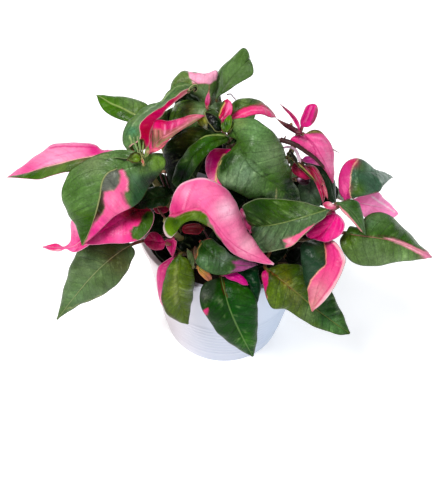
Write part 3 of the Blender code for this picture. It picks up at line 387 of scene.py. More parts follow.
leaf("leaf_right_outer", "K", 99, [(346, 233, 108), (360, 236, 109), (380, 238.5, 107), (400, 243, 102), (415, 249, 97), (432, 257, 91)],
     [(350, 227), (357, 227), (363, 219.5), (371, 213.5), (381, 212), (391, 216), (400, 224), (410, 234), (420, 245), (426, 251)],
     [(340, 238), (341, 247), (346, 256), (352, 262), (360, 265), (372, 266), (385, 264.5), (400, 261.5), (415, 260.5), (425, 259)], 15, -0.6, 0.1)
leaf("leaf_right_upper", "K", 112.6, [(346, 200, 123), (351, 186, 129), (357, 175, 132), (366, 171, 131), (379, 173, 126), (393, 177, 120)],
     [(339, 193), (338, 180), (341, 168), (348, 161), (357, 158), (364, 161), (368, 167), (374, 171), (383, 172.5)],
     [(352, 198.5), (360, 196.5), (370, 194.5), (379, 191.5), (384, 185), (388, 181)], 12, -0.5, 0.4)
leaf("leaf_right_pale", "K", 107, [(350, 201, 118), (365, 204, 116), (380, 207, 111), (398.5, 214, 104)],
     [(357, 197.5), (368, 194), (378, 192), (384, 199), (392, 205)],
     [(356, 207), (361, 213), (366, 218.5), (377, 218), (388, 217.5), (394, 217.5)], 10, -0.5, 0.1)
leaf("leaf_pink_upright", "N", 143.5, [(302.3, 126.5, 148.8), (305, 120, 151.8), (309.5, 112, 155.5), (313, 103.6, 158.2)],
     [(300, 122), (302.5, 113), (306.3, 106)], [(308.5, 127), (313.8, 122.5), (316.8, 116.5), (318, 109.5), (316.5, 105)], 8, -0.4, 0.4)
leaf("leaf_pink_drooping", "N", 135, [(304.5, 135.2, 144), (312.5, 142, 142.6), (320, 154, 138), (327, 167, 131), (333, 183, 122)],
     [(311, 130), (320, 131), (326, 136), (331, 143), (333.5, 152), (334, 165), (334, 175)],
     [(299, 136), (293, 137), (290, 140), (294, 143), (302, 147), (311, 152.5), (318, 160), (324, 168), (330, 178)], 12, -0.4, -0.2)
leaf("leaf_red_narrow", "N", 119, [(304, 166.5, 127), (313, 172, 126), (319, 182, 121), (323, 203, 114)],
     [(310, 164.8), (317.5, 169.5), (322.3, 178), (325.6, 190)], [(308, 171.5), (313.5, 179.5), (318.5, 190), (321, 198)], 6, -0.8, 0.6)
leaf("leaf_dark_narrow", "N", 124, [(303, 163, 128), (316, 166, 125), (326, 174.5, 120), (331.5, 188, 114), (335.5, 204, 108)],
     [(310, 160.8), (321, 165), (329.5, 171.5), (334, 179.5), (336, 191)], [(309, 166.8), (317, 171), (322.5, 179), (326, 189), (329.5, 199.5)], 9, -0.7, 0.3)
leaf("leaf_right_greyish", "N", 108, [(312, 177, 114), (310.5, 188, 112), (309, 200, 107), (309, 210, 101)],
     [(304, 180), (298, 186), (298, 200), (303, 208)], [(319, 186), (321.5, 196), (320, 206)], 9, -0.2, 0.0)
leaf("leaf_front_upper", "G", 92.5, [(201, 242, 105), (212, 254, 105), (225, 262, 102), (240, 265.5, 98), (258, 264.5, 93)],
     [(210, 238.5), (221, 246), (231, 254), (241, 259), (250, 262)],
     [(196.5, 250), (196, 262), (202, 269), (212, 274), (225, 275), (238, 271.5), (248, 268.5)], 12, -0.5, 0.1)
leaf("leaf_front_sliver", "G", 89, [(224, 275, 94), (235, 275.5, 94), (248, 285, 91)],
     [(232, 271), (241, 275), (246, 280)], [(228, 279), (237, 282), (243, 285)], 5, -0.5, 0.0)
leaf("leaf_front_low", "G", 87, [(221, 278, 90), (224, 290, 89), (229, 307, 85), (237, 326, 76), (245, 342, 67), (253, 356.5, 57)],
     [(211, 280), (203, 285), (200, 293), (200.3, 303), (203.4, 312.4), (210.4, 322.4), (217, 332), (227, 341.4), (240, 350.4)],
     [(234, 279.5), (246, 285), (254, 295), (257.5, 307), (257.5, 320), (258, 332), (256.5, 345)], 14, -0.3, -0.3, camber=0.08)
leaf("leaf_front_olive", "F", 88, [(180, 256, 96), (179, 268, 93), (178, 285, 84), (180.5, 303, 71), (188.3, 324, 57)],
     [(173, 259), (169, 265), (165, 276), (162, 290), (161.8, 302), (165.5, 311.5), (173, 319), (181, 323)],
     [(188, 259), (193, 267), (194.6, 280), (193.6, 292), (191, 305), (189.3, 316)], 9, -0.4, -0.4, camber=0.16)
leaf("leaf_front_pink", "F", 85, [(174, 256, 90), (168, 270, 87), (165, 290, 77), (166, 308, 65)],
     [(165, 261), (158.5, 267), (156.5, 275), (157.5, 290), (160.5, 303)],
     [(179, 268), (178, 285), (172, 303)], 8, -0.2, 0.0)
leaf("leaf_right_low", "K", 88, [(267, 270, 94), (280, 279, 93), (297, 293, 85), (317, 310, 74.5), (350, 333.5, 61)],
     [(275, 265.5), (290, 264), (302, 266), (315, 274), (326, 284), (332, 293), (338, 305), (345, 319)],
     [(262, 273), (263, 285), (267, 299), (272, 308), (285, 309.5), (295, 315), (305, 321.5), (317, 328), (330, 332.5), (342, 335)], 16, -0.3, 0.1, gap=3.5)
leaf("leaf_front_shaded", "G", 83, [(238, 272, 92), (248, 280, 90), (254, 290, 87), (257, 304, 80)],
     [(249, 266.5), (257, 267), (260, 278), (260, 290)], [(238, 281), (244, 291), (251, 300)], 9, -0.4, 0.0, gap=3.5)
leaf("leaf_left_low", "A", 90, [(131, 245, 97), (121, 251, 95), (100, 268, 87), (80, 290, 75), (57, 319.5, 61)],
     [(120, 235), (100, 238), (80, 248), (70, 268), (65, 283), (61, 300)],
     [(135, 252), (131, 262), (127, 272), (117, 284), (100, 297), (80, 305)], 15, -0.3, -0.2)
leaf("leaf_shaded_magenta", "F", 94, [(165, 243, 100), (158, 242, 100), (151, 241, 98.5), (143.5, 241.5, 97)],
     [(161, 236), (156, 232), (150, 232.5), (146, 237)], [(163, 249), (155, 250), (148.5, 247.5)], 7, -0.2, 0.1)

STEM_NAMES = {
    "A": "stem_left", "B": "stem_upper_left", "C": "stem_top", "O": "stem_centre", "F": "stem_front_left",
    "G": "stem_front", "K": "stem_right", "N": "stem_right_back", "R": "stem_back",
}
CUT_STALK = ([at(281, 140, 146), at(288, 142, 146.5), at(298, 146.5, 146), at(307, 151.5, 144.5), at(316, 158.5, 141), at(325, 169, 136.5)], 1.15, 0.6)
PINK_LEAVES = (
    "leaf_left_outer", "leaf_left_magenta", "leaf_left_twisted", "leaf_pink_pointed", "leaf_bud_pink",
    "leaf_centre_inner", "leaf_centre_pink", "leaf_front_sliver", "leaf_front_pink", "leaf_right_magenta",
    "leaf_right_pale", "leaf_pink_drooping", "leaf_pink_upright", "leaf_red_narrow", "leaf_shaded_magenta", "leaf_back_pink",
)

# Leaves of the far side: stem, height of the node, the way it points (degrees from +X to +Y), length,
# half width, slope at the base and at the tip (degrees above level), how far the halves fold up.
BACK_LEAVES = [
    dict(name="leaf_back_middle", stem="R", node_z=100, way=100, long=46, w=15, rise=0, fall=-66, fold=14),
    dict(name="leaf_back_left", stem="R", node_z=104, way=146, long=44, w=14, rise=8, fall=-56, fold=12),
    dict(name="leaf_back_right", stem="R", node_z=94, way=64, long=38, w=13, rise=-14, fall=-62, fold=10),
    dict(name="leaf_back_pink", stem="C", node_z=106, way=120, long=46, w=14, rise=8, fall=-64, fold=16),
    dict(name="leaf_back_low_left", stem="C", node_z=90, way=162, long=46, w=14, rise=-2, fall=-48, fold=12),
    dict(name="leaf_back_upper_left", stem="B", node_z=98, way=172, long=40, w=13, rise=-6, fall=-56, fold=14),
    dict(name="leaf_back_low_right", stem="N", node_z=90, way=52, long=42, w=14, rise=-2, fall=-50, fold=10),
    dict(name="leaf_back_side_right", stem="N", node_z=106, way=12, long=36, w=12, rise=-8, fall=-55, fold=12),
]

# ---------------------------------------------------------------------------
# Small shoots, leaflets, and inner leaves painted dark as shade, that only the fine surface has
# ---------------------------------------------------------------------------
CAD_LEAVES = {one["name"] for one in LEAVES}
BITS = []


def bit(name, mid, a, b, w, sa, sb, spec, pink=False, pushed=False, **more):
    """A leaflet on a stub of its own, laid out like a leaf. A pushed one goes behind all that is in front of it."""
    BITS.append(dict(name=name, stem=name, node_z=mid[0][2], mid=mid, a=a, b=b, w=w, sa=sa, sb=sb, free=not pushed, gap=2.4, spec=spec, pink=pink, **more))


# the crown of young leaves over the left stem
bit("bud_left_outer", [(128.6, 159.4, 150), (133, 157.6, 152), (137.6, 157, 152.4), (141, 159, 151)], [(130, 154.4), (134.6, 152), (139.4, 153.4)], [(130.6, 162.4), (135.6, 163.4), (140, 162.4)], 2.6, -0.2, 0.2,
    dict(base=(84, 104, 12), mid=((96, 116, 24), 0.2), rim=((52, 46, 20), 0.8), marks=[("spot", (131.6, 157), (50, 56, 10), 3.4), ("spot", (136.4, 158.6), (104, 138, 12), 3.0), ("line", [(131, 154.6), (135.6, 152.8), (139.6, 154.4)], (44, 34, 16), 1.2, {"wide": 1.0}), ("line", [(129.4, 160), (132.6, 162.6), (136.4, 163.2)], (70, 44, 24), 1.2, {"wide": 0.8})]))
bit("bud_left_inner", [(143.8, 164.6, 149), (142.8, 161, 150.6), (141, 157, 151.6), (140.4, 152.6, 152)], [(141.6, 162.6), (139.8, 158.2)], [(144.4, 162), (142.4, 157.2)], 0.8, -0.3, 0.3,
    dict(base=(156, 156, 88), mid=((176, 150, 96), 0.2), rim=((186, 184, 124), 0.3), marks=[("spot", (143, 161.4), (196, 84, 96), 2.2), ("spot", (140.6, 154), (150, 176, 108), 2.4)]), pink=True)
bit("leaflet_left_1", [(138.6, 153.5, 151), (136.6, 147, 152.6), (134.4, 141.4, 153.2), (133.6, 137, 153)], [(136.3, 149), (134, 142.6)], [(137.6, 148), (135.2, 141.8)], 0.55, -0.2, 0.2,
    dict(base=(150, 180, 116), mid=((110, 140, 80), 0.2), rim=((196, 212, 150), 0.3), marks=[("spot", (134, 139), (120, 150, 90), 2.5)]))
bit("leaflet_left_2", [(140.4, 153.8, 150.6), (139.9, 147, 152.6), (139.1, 140.6, 153.4), (138.4, 136, 153)], [(139.1, 149), (138.2, 142)], [(140.7, 148), (139.9, 141.4)], 0.55, -0.2, 0.2,
    dict(base=(132, 166, 98), mid=((90, 122, 64), 0.2), rim=((186, 204, 146), 0.3), marks=[("spot", (138.6, 138), (100, 140, 90), 2.6)]))
bit("leaflet_left_3", [(142.4, 155.6, 150.6), (142.8, 149.6, 152.2), (143.2, 144.6, 152.8), (143.4, 141, 152.6)], [(141.9, 151.4), (142.4, 146)], [(143.4, 151), (143.8, 146)], 0.5, -0.2, 0.2,
    dict(base=(152, 176, 108), mid=((124, 146, 84), 0.2), rim=((150, 120, 90), 0.25)))
bit("leaflet_left_4", [(144.4, 157.4, 149.6), (146, 153.4, 151), (147.4, 149.6, 151.4), (148, 146.4, 151.2)], [(144.4, 154), (145.4, 149.6)], [(148.4, 155), (149.6, 150.4)], 1.2, -0.2, 0.2,
    dict(base=(98, 138, 66), mid=((170, 180, 116), 0.2), rim=((206, 176, 130), 0.3), marks=[("spot", (148, 152), (190, 150, 120), 2.2)]))
bit("leaflet_left_5", [(136.4, 153.5, 150.8), (134.8, 148.8, 152), (132.6, 144.4, 152.4)], [(134.8, 150.6), (133, 147)], [(136.6, 150), (134.6, 145.8)], 0.7, -0.2, 0.2,
    dict(base=(70, 108, 60), mid=((130, 156, 96), 0.2), rim=((60, 92, 50), 0.3)))
# round the middle bud
bit("leaflet_centre_1", [(227, 131, 148), (226.8, 125, 150.6), (228.4, 118.6, 152), (229.6, 114.8, 152)], [(223.6, 127), (224.6, 120.4)], [(230.6, 128), (231.8, 122), (231.8, 117.4)], 2.2, -0.4, 0.3,
    dict(base=(74, 116, 26), mid=((52, 84, 20), 0.25), rim=((166, 176, 90), 0.35), marks=[("spot", (228, 119), (110, 150, 36), 2.6), ("spot", (225.6, 124), (36, 64, 14), 2.2)]))
bit("leaflet_centre_2", [(224.6, 131, 148), (223, 127, 149.6), (222.4, 122.6, 150.6)], [(222.2, 129.6), (220.8, 125.4)], [(225.2, 127), (224.2, 123)], 1.2, -0.3, 0.3,
    dict(base=(64, 100, 24), mid=((110, 140, 50), 0.2), rim=((120, 140, 60), 0.25)))
bit("leaflet_centre_3", [(229.6, 131, 147.6), (232, 126.4, 149), (233, 121.4, 149.6)], [(229.8, 127), (231, 122.4)], [(232.8, 128), (234.4, 123.6)], 1.3, -0.3, 0.3,
    dict(base=(54, 84, 24), mid=((96, 120, 50), 0.2), rim=((150, 160, 84), 0.25)))
bit("leaflet_top_pink", [(207.2, 107.6, 147), (207, 102, 149.6), (208, 96.5, 151.6), (209, 90.6, 153.4)], [(205, 103.5), (205.8, 97.5)], [(209.4, 104), (210.2, 98)], 1.4, -0.4, 0.3,
    dict(base=(214, 92, 142), mid=((190, 50, 104), 0.2), rim=((190, 90, 120), 0.25), marks=[("spot", (206.8, 104), (176, 26, 78), 2.2), ("spot", (209, 92), (196, 140, 126), 2.5), ("spot", (207.6, 107), (200, 150, 110), 1.6)]), pink=True)
# the rolled end of the arching leaf: its inner half and the dark spots in its hole are painted shade
bit("leaf_arching_end", [(223.5, 131, 139), (220.6, 121.5, 143), (213, 114.4, 144.5), (204.4, 112.6, 143.5)], [(225.4, 124), (221, 114.5), (213.6, 110.4), (208, 110.4)], [(216, 132), (211.5, 127), (208, 122.6), (205.4, 117)], 4.0, -0.8, 0.5,
    dict(base=[(58, 80, 40), (14, 22, 12)], mid=((60, 80, 40), 0.35), rim=((186, 190, 130), 0.6), marks=[("spot", (211, 119), (6, 8, 8), 5), ("spot", (217, 124), (20, 40, 16), 4)]))
bit("leaf_arching_fold", [(206.4, 129, 138), (203.4, 123, 141), (200.6, 118.4, 142.4), (200.6, 114.6, 142.4)], [(200.6, 126), (196.8, 121.4), (197.6, 117)], [(207.8, 124), (205.6, 118)], 2.4, -0.4, 0.4,
    dict(base=(140, 136, 66), mid=((120, 128, 60), 0.3), rim=((170, 166, 110), 0.3), marks=[("spot", (205, 127), (176, 180, 166), 2.4), ("spot", (201, 121), (160, 166, 60), 3.4), ("spot", (198, 122), (90, 80, 40), 2)]))
bit("leaf_arching_side", [(177, 106.6, 137), (171, 111, 137), (164.6, 117, 137), (156, 124, 137)], [(172, 107.6), (164.6, 112), (157.6, 120)], [(176, 112), (173, 119), (166, 124)], 4.0, -0.2, 0.2,
    dict(base=(74, 98, 54), mid=((44, 62, 34), 0.3), rim=((60, 84, 44), 0.3), marks=[("line", [(173, 106), (166, 114), (160, 122)], (120, 140, 96), 1.0, {"wide": 0.6}), ("line", [(172, 110), (167, 117), (164, 122)], (36, 52, 28), 1.2, {"wide": 0.8}), ("line", [(168, 106), (162, 114), (158, 121)], (40, 58, 30), 1.0, {"wide": 0.6})]), pushed=True)
# painted glare: the pale bluish line and spot on this dark leaf
bit("leaf_arching_top", [(192, 92.6, 139), (184.6, 96.6, 139), (178.4, 101.6, 138), (174.6, 110.6, 136.6)], [(185, 92.6), (178, 96.6), (174.8, 103)], [(192, 99), (185, 104), (178.6, 112)], 3.6, -0.2, 0.2,
    dict(base=(42, 60, 36), mid=((60, 80, 56), 0.3), rim=((26, 40, 22), 0.4), marks=[("line", [(189, 96), (184, 99), (180, 103)], (120, 142, 130), 1.6, {"wide": 0.9, "much": 0.8}), ("line", [(183, 95), (178.6, 100), (176, 107)], (14, 24, 12), 1.6, {"wide": 1.4}), ("spot", (188, 99), (90, 112, 96), 2.4)]), pushed=True)
# painted shade: the inner half and the dark spot are the shadow in the hole of the rolled tip
bit("leaf_curled_tip", [(188.6, 91.4, 151.6), (192, 87, 152.6), (196, 86.4, 152.4), (197, 89.8, 150.6), (194.4, 92, 149.4)], [(188.6, 88.6), (192.4, 84.8), (196.6, 84.4), (198, 88.6), (195.8, 91.4)], [(190.6, 91), (192.8, 89), (194.2, 88), (194.6, 89.4), (193.4, 90.6)], 1.4, 0.3, -0.3,
    dict(base=[(92, 124, 66), (24, 30, 18)], mid=((150, 160, 110), 0.25), rim=((196, 186, 140), 0.4), marks=[("spot", (195, 90), (14, 18, 12), 2.4), ("spot", (190.6, 86.4), (150, 164, 112), 2.4)]))
# the folded foot of the big left leaf, the pink skin that joins two folds, and shade between the top leaves
bit("leaf_left_shoulder", [(139, 156.4, 148), (132, 153.4, 149), (123, 152.4, 148.6), (112, 153, 146.6), (104, 155, 144)], [(134, 151.2), (125, 149.8), (115, 150.2), (107, 152.4)], [(136, 160), (127, 159), (116, 158), (108, 158)], 4.0, -0.3, 0.2,
    dict(base=(96, 126, 76), mid=((84, 112, 66), 0.3), rim=((146, 160, 112), 0.5), marks=[("spot", (124, 155), (72, 102, 54), 5), ("spot", (132, 153), (112, 140, 92), 4)]))
bit("leaf_pink_join", [(150.6, 151.6, 145), (151.4, 142, 146), (152.6, 132, 146.4), (156.6, 123.6, 146)], [(146.4, 147), (147.6, 138), (149, 128)], [(156.4, 148.6), (157.6, 139), (159, 129.6)], 2.4, -0.3, 0.3,
    dict(base=(206, 24, 96), mid=((190, 20, 84), 0.2), rim=((214, 60, 110), 0.3), veins=0.5, marks=[("line", [(153.6, 129), (153, 138), (153.4, 148)], (70, 74, 50), 1.8, {"wide": 1.4}), ("spot", (152, 150), (214, 110, 120), 3)]), pink=True, pushed=True)
bit("leaf_top_shade", [(214, 112, 134), (213, 104, 138), (213, 96, 140), (214, 88, 141)], [(206, 108), (206, 98), (208, 90)], [(222, 108), (221, 98), (219, 90)], 5.0, -0.2, 0.2,
    dict(base=(104, 124, 92), mid=((120, 140, 104), 0.3), rim=((60, 84, 48), 0.3), marks=[("spot", (214, 97), (140, 158, 128), 5), ("spot", (219, 106), (40, 58, 30), 5)]), pushed=True)
# the end of the dark leaf below the middle bud, and the leaves behind it; the near-black ones are painted shade
bit("leaf_dark_end", [(222, 141.6, 141.6), (229, 139, 141.4), (235, 138.2, 140), (241, 140, 138)], [(227, 135.6), (234, 134.4)], [(226, 145.4), (234, 143.4)], 3.0, -0.2, 0.2,
    dict(base=(42, 70, 32), mid=((56, 86, 44), 0.3), rim=((110, 130, 84), 0.4), marks=[("spot", (236, 140), (24, 44, 16), 4), ("spot", (226, 139), (58, 90, 46), 4)]), pushed=True)
bit("leaf_dark_notch", [(222, 153, 128), (229, 150, 130), (236, 146, 131), (243, 142, 130)], [(224, 140), (230, 132), (240, 131)], [(228, 160), (236, 156), (242, 150)], 4.0, -0.2, 0.2,
    dict(base=(10, 16, 6), mid=((22, 34, 14), 0.3), rim=((20, 30, 12), 0.3)), pushed=True)
bit("leaf_crown_shade", [(214, 133, 132), (204, 130, 134), (192, 131, 133), (180, 137, 128)], [(212, 120), (202, 117), (190, 120)], [(210, 140), (200, 140), (188, 143)], 7.0, -0.2, 0.2,
    dict(base=(20, 34, 12), mid=((36, 54, 22), 0.3), rim=((30, 46, 20), 0.3)), pushed=True)
bit("leaf_crown_green", [(222, 128, 134), (220, 118, 138), (216, 108, 140), (212, 100, 141)], [(214, 124), (210, 114), (208, 104)], [(230, 122), (226, 112), (219, 102)], 6.0, -0.2, 0.2,
    dict(base=(54, 80, 36), mid=((80, 104, 56), 0.3), rim=((44, 66, 30), 0.3), marks=[("spot", (214, 110), (96, 120, 90), 4), ("spot", (218, 118), (26, 42, 16), 5)]), pushed=True)
# the young shoot on the right
bit("leaflet_right_thin", [(299.6, 131.5, 149.5), (297.4, 124, 151.5), (293.6, 117.4, 153), (289, 112.6, 154), (284.6, 108.4, 154.6), (280.6, 104.3, 155)],
    [(299.6, 124.4), (296, 117.4), (290.8, 111.8), (285.8, 107.8)], [(295.4, 124.6), (291.6, 118.2), (287.6, 113.2), (283.4, 108.6)], 0.9, -0.2, 0.2,
    dict(base=(186, 24, 100), mid=((120, 14, 60), 0.2), rim=((206, 70, 130), 0.25), marks=[("spot", (282, 106), (110, 90, 84), 5), ("spot", (298.4, 126), (214, 60, 130), 3.4), ("line", [(296, 120), (291, 113), (285, 108.6)], (90, 16, 50), 0.8, {"wide": 0.6})]), pink=True)
bit("leaflet_right_dark", [(302.5, 133.6, 149), (297, 130.4, 149.5), (290, 127.2, 149), (283.5, 123.6, 147.5), (276.4, 118.4, 145)], [(301, 130.4), (296, 127.8), (291.5, 125), (286, 123)], [(298, 134.6), (292, 131.8), (287, 128.6), (281, 123.6)], 2.0, -0.2, 0.3,
    dict(base=(70, 28, 38), mid=((110, 56, 60), 0.25), rim=((150, 96, 96), 0.3), marks=[("spot", (300, 132), (110, 30, 56), 4), ("spot", (279, 120), (150, 96, 92), 5)]))
bit("leaflet_right_spike", [(291, 125.5, 148.5), (291.6, 122.6, 149)], [(289.6, 124.4)], [(292.6, 124.2)], 0.8, -0.1, 0.1, dict(base=(76, 34, 40)))
bit("leaflet_right_purple", [(302, 160.2, 132), (308, 159.4, 132.5), (314.4, 161.6, 131), (321, 166, 128)], [(305.6, 156.2), (312.6, 157.4), (318, 162)], [(305, 162.6), (311, 163.6), (316, 165)], 2.4, -0.3, 0.3,
    dict(base=(188, 62, 140), mid=((214, 110, 170), 0.25), rim=((230, 150, 190), 0.3), marks=[("spot", (305, 160), (140, 30, 100), 3.4), ("spot", (317, 163), (222, 130, 170), 3)]), pink=True)
bit("leaflet_right_line", [(287.6, 157.8, 134), (293.4, 159.2, 134), (299, 165, 132.5), (306, 171.8, 130.5), (316, 181.4, 127)], [(293.8, 158.4), (300, 164.2), (307, 170.8), (312, 176)], [(292.4, 160.2), (298.2, 166.4), (305, 173), (311, 178.6)], 0.8, -0.2, 0.2,
    dict(base=[(166, 150, 92), (40, 52, 24)], mid=((90, 104, 50), 0.2), rim=((150, 132, 84), 0.2), marks=[("spot", (289, 158), (30, 34, 20), 4)]))
bit("leaflet_right_narrow_2", [(288.6, 154, 134.6), (291.4, 158, 134), (292.4, 163, 132.5), (290.6, 168.4, 130.6)], [(291.6, 155.4), (294, 161)], [(289.4, 158.8), (290.2, 164)], 1.2, -0.2, 0.2, dict(base=(36, 44, 26), mid=((80, 92, 50), 0.2), rim=((70, 78, 44), 0.25)))
bit("leaflet_right_hook", [(290.6, 151.4, 137), (293.6, 156, 136), (298, 164.6, 133.5)], [(292.8, 153), (297, 158.6)], [(290.6, 154.6), (294.2, 161)], 1.3, -0.2, 0.2, dict(base=(30, 36, 24), mid=((70, 60, 50), 0.25), rim=((80, 50, 50), 0.25)))
bit("leaflet_right_red", [(291.4, 166, 127), (298, 168.6, 126.5), (305, 172, 124.6), (311.4, 178, 122)], [(294.6, 163), (301, 165.4), (308, 170.4)], [(293, 172.6), (299, 177.4), (306, 179.6)], 3.0, -0.4, 0.4,
    dict(base=(146, 10, 58), mid=((196, 50, 100), 0.3), rim=((206, 60, 110), 0.3), marks=[("spot", (303, 174.6), (214, 50, 104), 4), ("spot", (295, 167), (100, 6, 40), 4), ("spot", (301, 168), (60, 14, 24), 3)]), pink=True)
bit("leaflet_right_shadow", [(296.6, 180, 122), (303, 180, 122), (310, 181, 120)], [(300, 176.4), (307, 177)], [(300, 184), (307, 185)], 2.6, -0.3, 0.3,
    dict(base=(40, 10, 26), mid=((90, 40, 60), 0.2), rim=((70, 30, 44), 0.3), marks=[("spot", (299, 179), (206, 170, 196), 1.6)]))
bit("leaflet_right_streak", [(322.6, 184.4, 121), (325.6, 191, 119), (328, 199.4, 116.5)], [(325.4, 186.4), (327.6, 193)], [(323, 189), (325.4, 196)], 1.0, -0.2, 0.2, dict(base=(214, 104, 124), mid=((240, 190, 190), 0.25), rim=((60, 40, 30), 0.2)), pink=True)
# painted highlight: the near-white spot on the bud
bit("bud_right", [(335, 207.6, 128.5), (329, 205.6, 130), (322.6, 204.2, 129.6)], [(331, 202.4), (325.6, 201.8)], [(330.6, 209.4), (325.4, 208)], 2.4, -0.3, 0.3,
    dict(base=(222, 92, 132), mid=((250, 206, 206), 0.35), rim=((240, 160, 170), 0.3), marks=[("spot", (331, 204.4), (250, 200, 206), 2.2), ("spot", (325, 206), (180, 30, 84), 3)]), pink=True)
# beside the big pink leaf, and under it
# painted highlight: the near-white spot near its upper end
bit("leaflet_middle", [(250.6, 232, 104), (249.6, 223, 107), (246.4, 214, 109), (240.6, 208.6, 109.6)], [(246, 228), (243, 219.6), (240, 212)], [(251.8, 226), (251.2, 216), (246.6, 209.4)], 3.2, -0.4, 0.3,
    dict(base=(226, 88, 146), mid=((250, 170, 196), 0.25), rim=((244, 160, 190), 0.35), marks=[("spot", (246.4, 218.4), (30, 20, 24), 3.2), ("spot", (245.6, 213.4), (240, 214, 220), 2.2), ("spot", (250, 228), (196, 60, 110), 3)]), pink=True)
bit("leaflet_front_orange", [(197.4, 267.4, 92.5), (202.6, 271.6, 90.5), (207, 276, 87.5), (211.4, 280.4, 84)], [(201.6, 267.6), (207.4, 271.4), (211.8, 276.6)], [(198.6, 272.4), (203, 277.4), (208, 281)], 2.0, -0.4, 0.3,
    dict(base=(212, 152, 88), mid=((236, 190, 130), 0.25), rim=((230, 130, 110), 0.35), marks=[("spot", (200, 269), (150, 150, 66), 3), ("spot", (209, 277), (236, 140, 120), 3.4)]))
bit("leaflet_front_green", [(193.6, 267, 93), (190.4, 258, 96), (187, 248.6, 98.5)], [(189.8, 263), (187, 255)], [(194.8, 260), (191.8, 252)], 1.8, -0.3, 0.3,
    dict(base=(92, 112, 70), mid=((130, 140, 96), 0.25), rim=((150, 120, 100), 0.25), marks=[("spot", (190, 262), (50, 70, 34), 3)]))
bit("leaflet_front_brown", [(197, 262, 94.5), (196.4, 254, 97.5), (194.6, 246, 99.5)], [(194.4, 258), (193.6, 250)], [(198.2, 256), (197, 249)], 1.0, -0.2, 0.2, dict(base=(136, 112, 84), mid=((176, 130, 110), 0.2), rim=((190, 110, 100), 0.25)))
bit("leaflet_shade_pink", [(173, 239, 99), (172.6, 248, 96.5), (172.6, 257.6, 92)], [(165, 240), (166.6, 247), (170, 253)], [(176.4, 241), (175.8, 249)], 3.0, -0.3, 0.3,
    dict(base=(186, 40, 104), mid=((220, 110, 150), 0.2), rim=((226, 150, 160), 0.3), marks=[("spot", (170, 244), (130, 10, 60), 3.6)]), pink=True)
bit("leaflet_shade_red", [(203, 229, 104), (193, 228, 104), (182, 229.6, 102)], [(200, 224.6), (192, 223.6), (184, 226)], [(199, 234), (191, 234), (184, 233)], 3.4, -0.4, 0.3,
    dict(base=(104, 12, 34), mid=((150, 30, 50), 0.2), rim=((160, 26, 56), 0.5)), pink=True, pushed=True)
bit("leaflet_left_bottom", [(170, 209, 104), (162, 206, 105), (153, 207.6, 104)], [(166, 203), (158, 203)], [(165, 213), (157, 213.6)], 3.4, -0.4, 0.3,
    dict(base=(176, 44, 78), mid=((206, 80, 110), 0.25), rim=((216, 90, 116), 0.4), marks=[("spot", (160, 210), (96, 16, 40), 5)]), pink=True, pushed=True)

# leaves inside the crown, each on its stem, painted near-black: their dark colour is painted shade, the shade of the
# crown
SHADY = dict(gloss=0.06, base=(20, 36, 14), mid=((40, 58, 28), 0.3), rim=((44, 64, 30), 0.3), marks=())


def shady(name, stem, node_z, mid, a, b, w, sa=-0.3, sb=0.2, base=(20, 36, 14)):
    BITS.append(dict(name=name, stem=stem, node_z=node_z, mid=mid, a=a, b=b, w=w, sa=sa, sb=sb, gap=3.4, pink=False, spec=dict(SHADY, base=base)))


shady("inner_left", "B", 92, [(171, 200, 104), (163, 190, 108), (153, 181, 109), (143, 176, 107)], [(175, 190), (168, 178), (155, 172)], [(160, 200), (150, 192), (144, 184)], 12)
shady("inner_left_low", "A", 82, [(148, 236, 92), (154, 226, 96), (161, 216, 98), (166, 206, 98)], [(146, 226), (152, 214), (160, 206)], [(158, 236), (168, 228), (172, 216)], 11)
shady("inner_front_left", "F", 90, [(176, 246, 95), (184, 240, 96), (194, 234, 95), (206, 229, 91)], [(178, 236), (188, 229), (198, 226)], [(184, 252), (196, 246), (205, 238)], 12, base=(14, 22, 10))
shady("inner_front", "G", 84, [(212, 256, 84), (216, 246, 88), (222, 236, 90), (230, 226, 90)], [(205, 250), (208, 238), (216, 228)], [(222, 258), (232, 248), (236, 236)], 12, base=(16, 26, 12))
shady("inner_front_right", "G", 86, [(240, 262, 84), (256, 256, 88), (272, 252, 90), (288, 250, 89)], [(248, 252), (262, 244), (278, 242)], [(250, 268), (266, 266), (280, 260)], 12, base=(16, 28, 12))
shady("inner_right", "K", 88, [(286, 258, 86), (294, 262, 86), (302, 262, 84), (311, 260, 80)], [(290, 250), (300, 248), (308, 252)], [(292, 270), (302, 272), (309, 268)], 12, base=(14, 24, 10))
shady("inner_centre", "O", 100, [(244, 200, 102), (232, 196, 106), (220, 190, 109), (206, 178, 110)], [(238, 188), (224, 178), (212, 170)], [(238, 208), (222, 204), (208, 194)], 13, base=(16, 30, 12))
shady("inner_centre_right", "K", 92, [(276, 214, 98), (266, 206, 104), (256, 198, 108), (244, 192, 109)], [(272, 202), (262, 192), (252, 188)], [(266, 216), (254, 210), (244, 202)], 12, base=(16, 28, 12))
shady("inner_top", "O", 116, [(232, 156, 122), (226, 148, 126), (219, 142, 127), (210, 140, 125)], [(230, 146), (224, 138), (216, 136)], [(224, 158), (216, 152), (210, 146)], 10, base=(22, 36, 14))
shady("inner_top_left", "C", 108, [(186, 140, 118), (180, 132, 121), (172, 127, 122), (164, 128, 120)], [(186, 130), (178, 123), (170, 122)], [(178, 141), (170, 138), (165, 134)], 9, base=(30, 48, 20))
shady("inner_right_back", "N", 98, [(318, 204, 100), (324, 196, 104), (330, 190, 106), (338, 188, 105)], [(316, 194), (322, 184), (330, 182)], [(324, 206), (334, 202), (338, 195)], 10, base=(18, 34, 16))
shady("inner_right_far", "N", 102, [(298, 196, 106), (300, 186, 110), (306, 176, 112), (314, 170, 112)], [(292, 190), (296, 178), (304, 170)], [(306, 196), (312, 188), (316, 178)], 9, base=(22, 30, 20))
shady("inner_wedge", "A", 80, [(173, 259, 82), (168, 255, 84), (161, 250, 84.6), (154, 246.6, 84)], [(171, 250), (164, 246.4), (157.4, 243.6)], [(172, 266), (164.6, 262), (156.4, 254)], 6, base=(8, 10, 6))
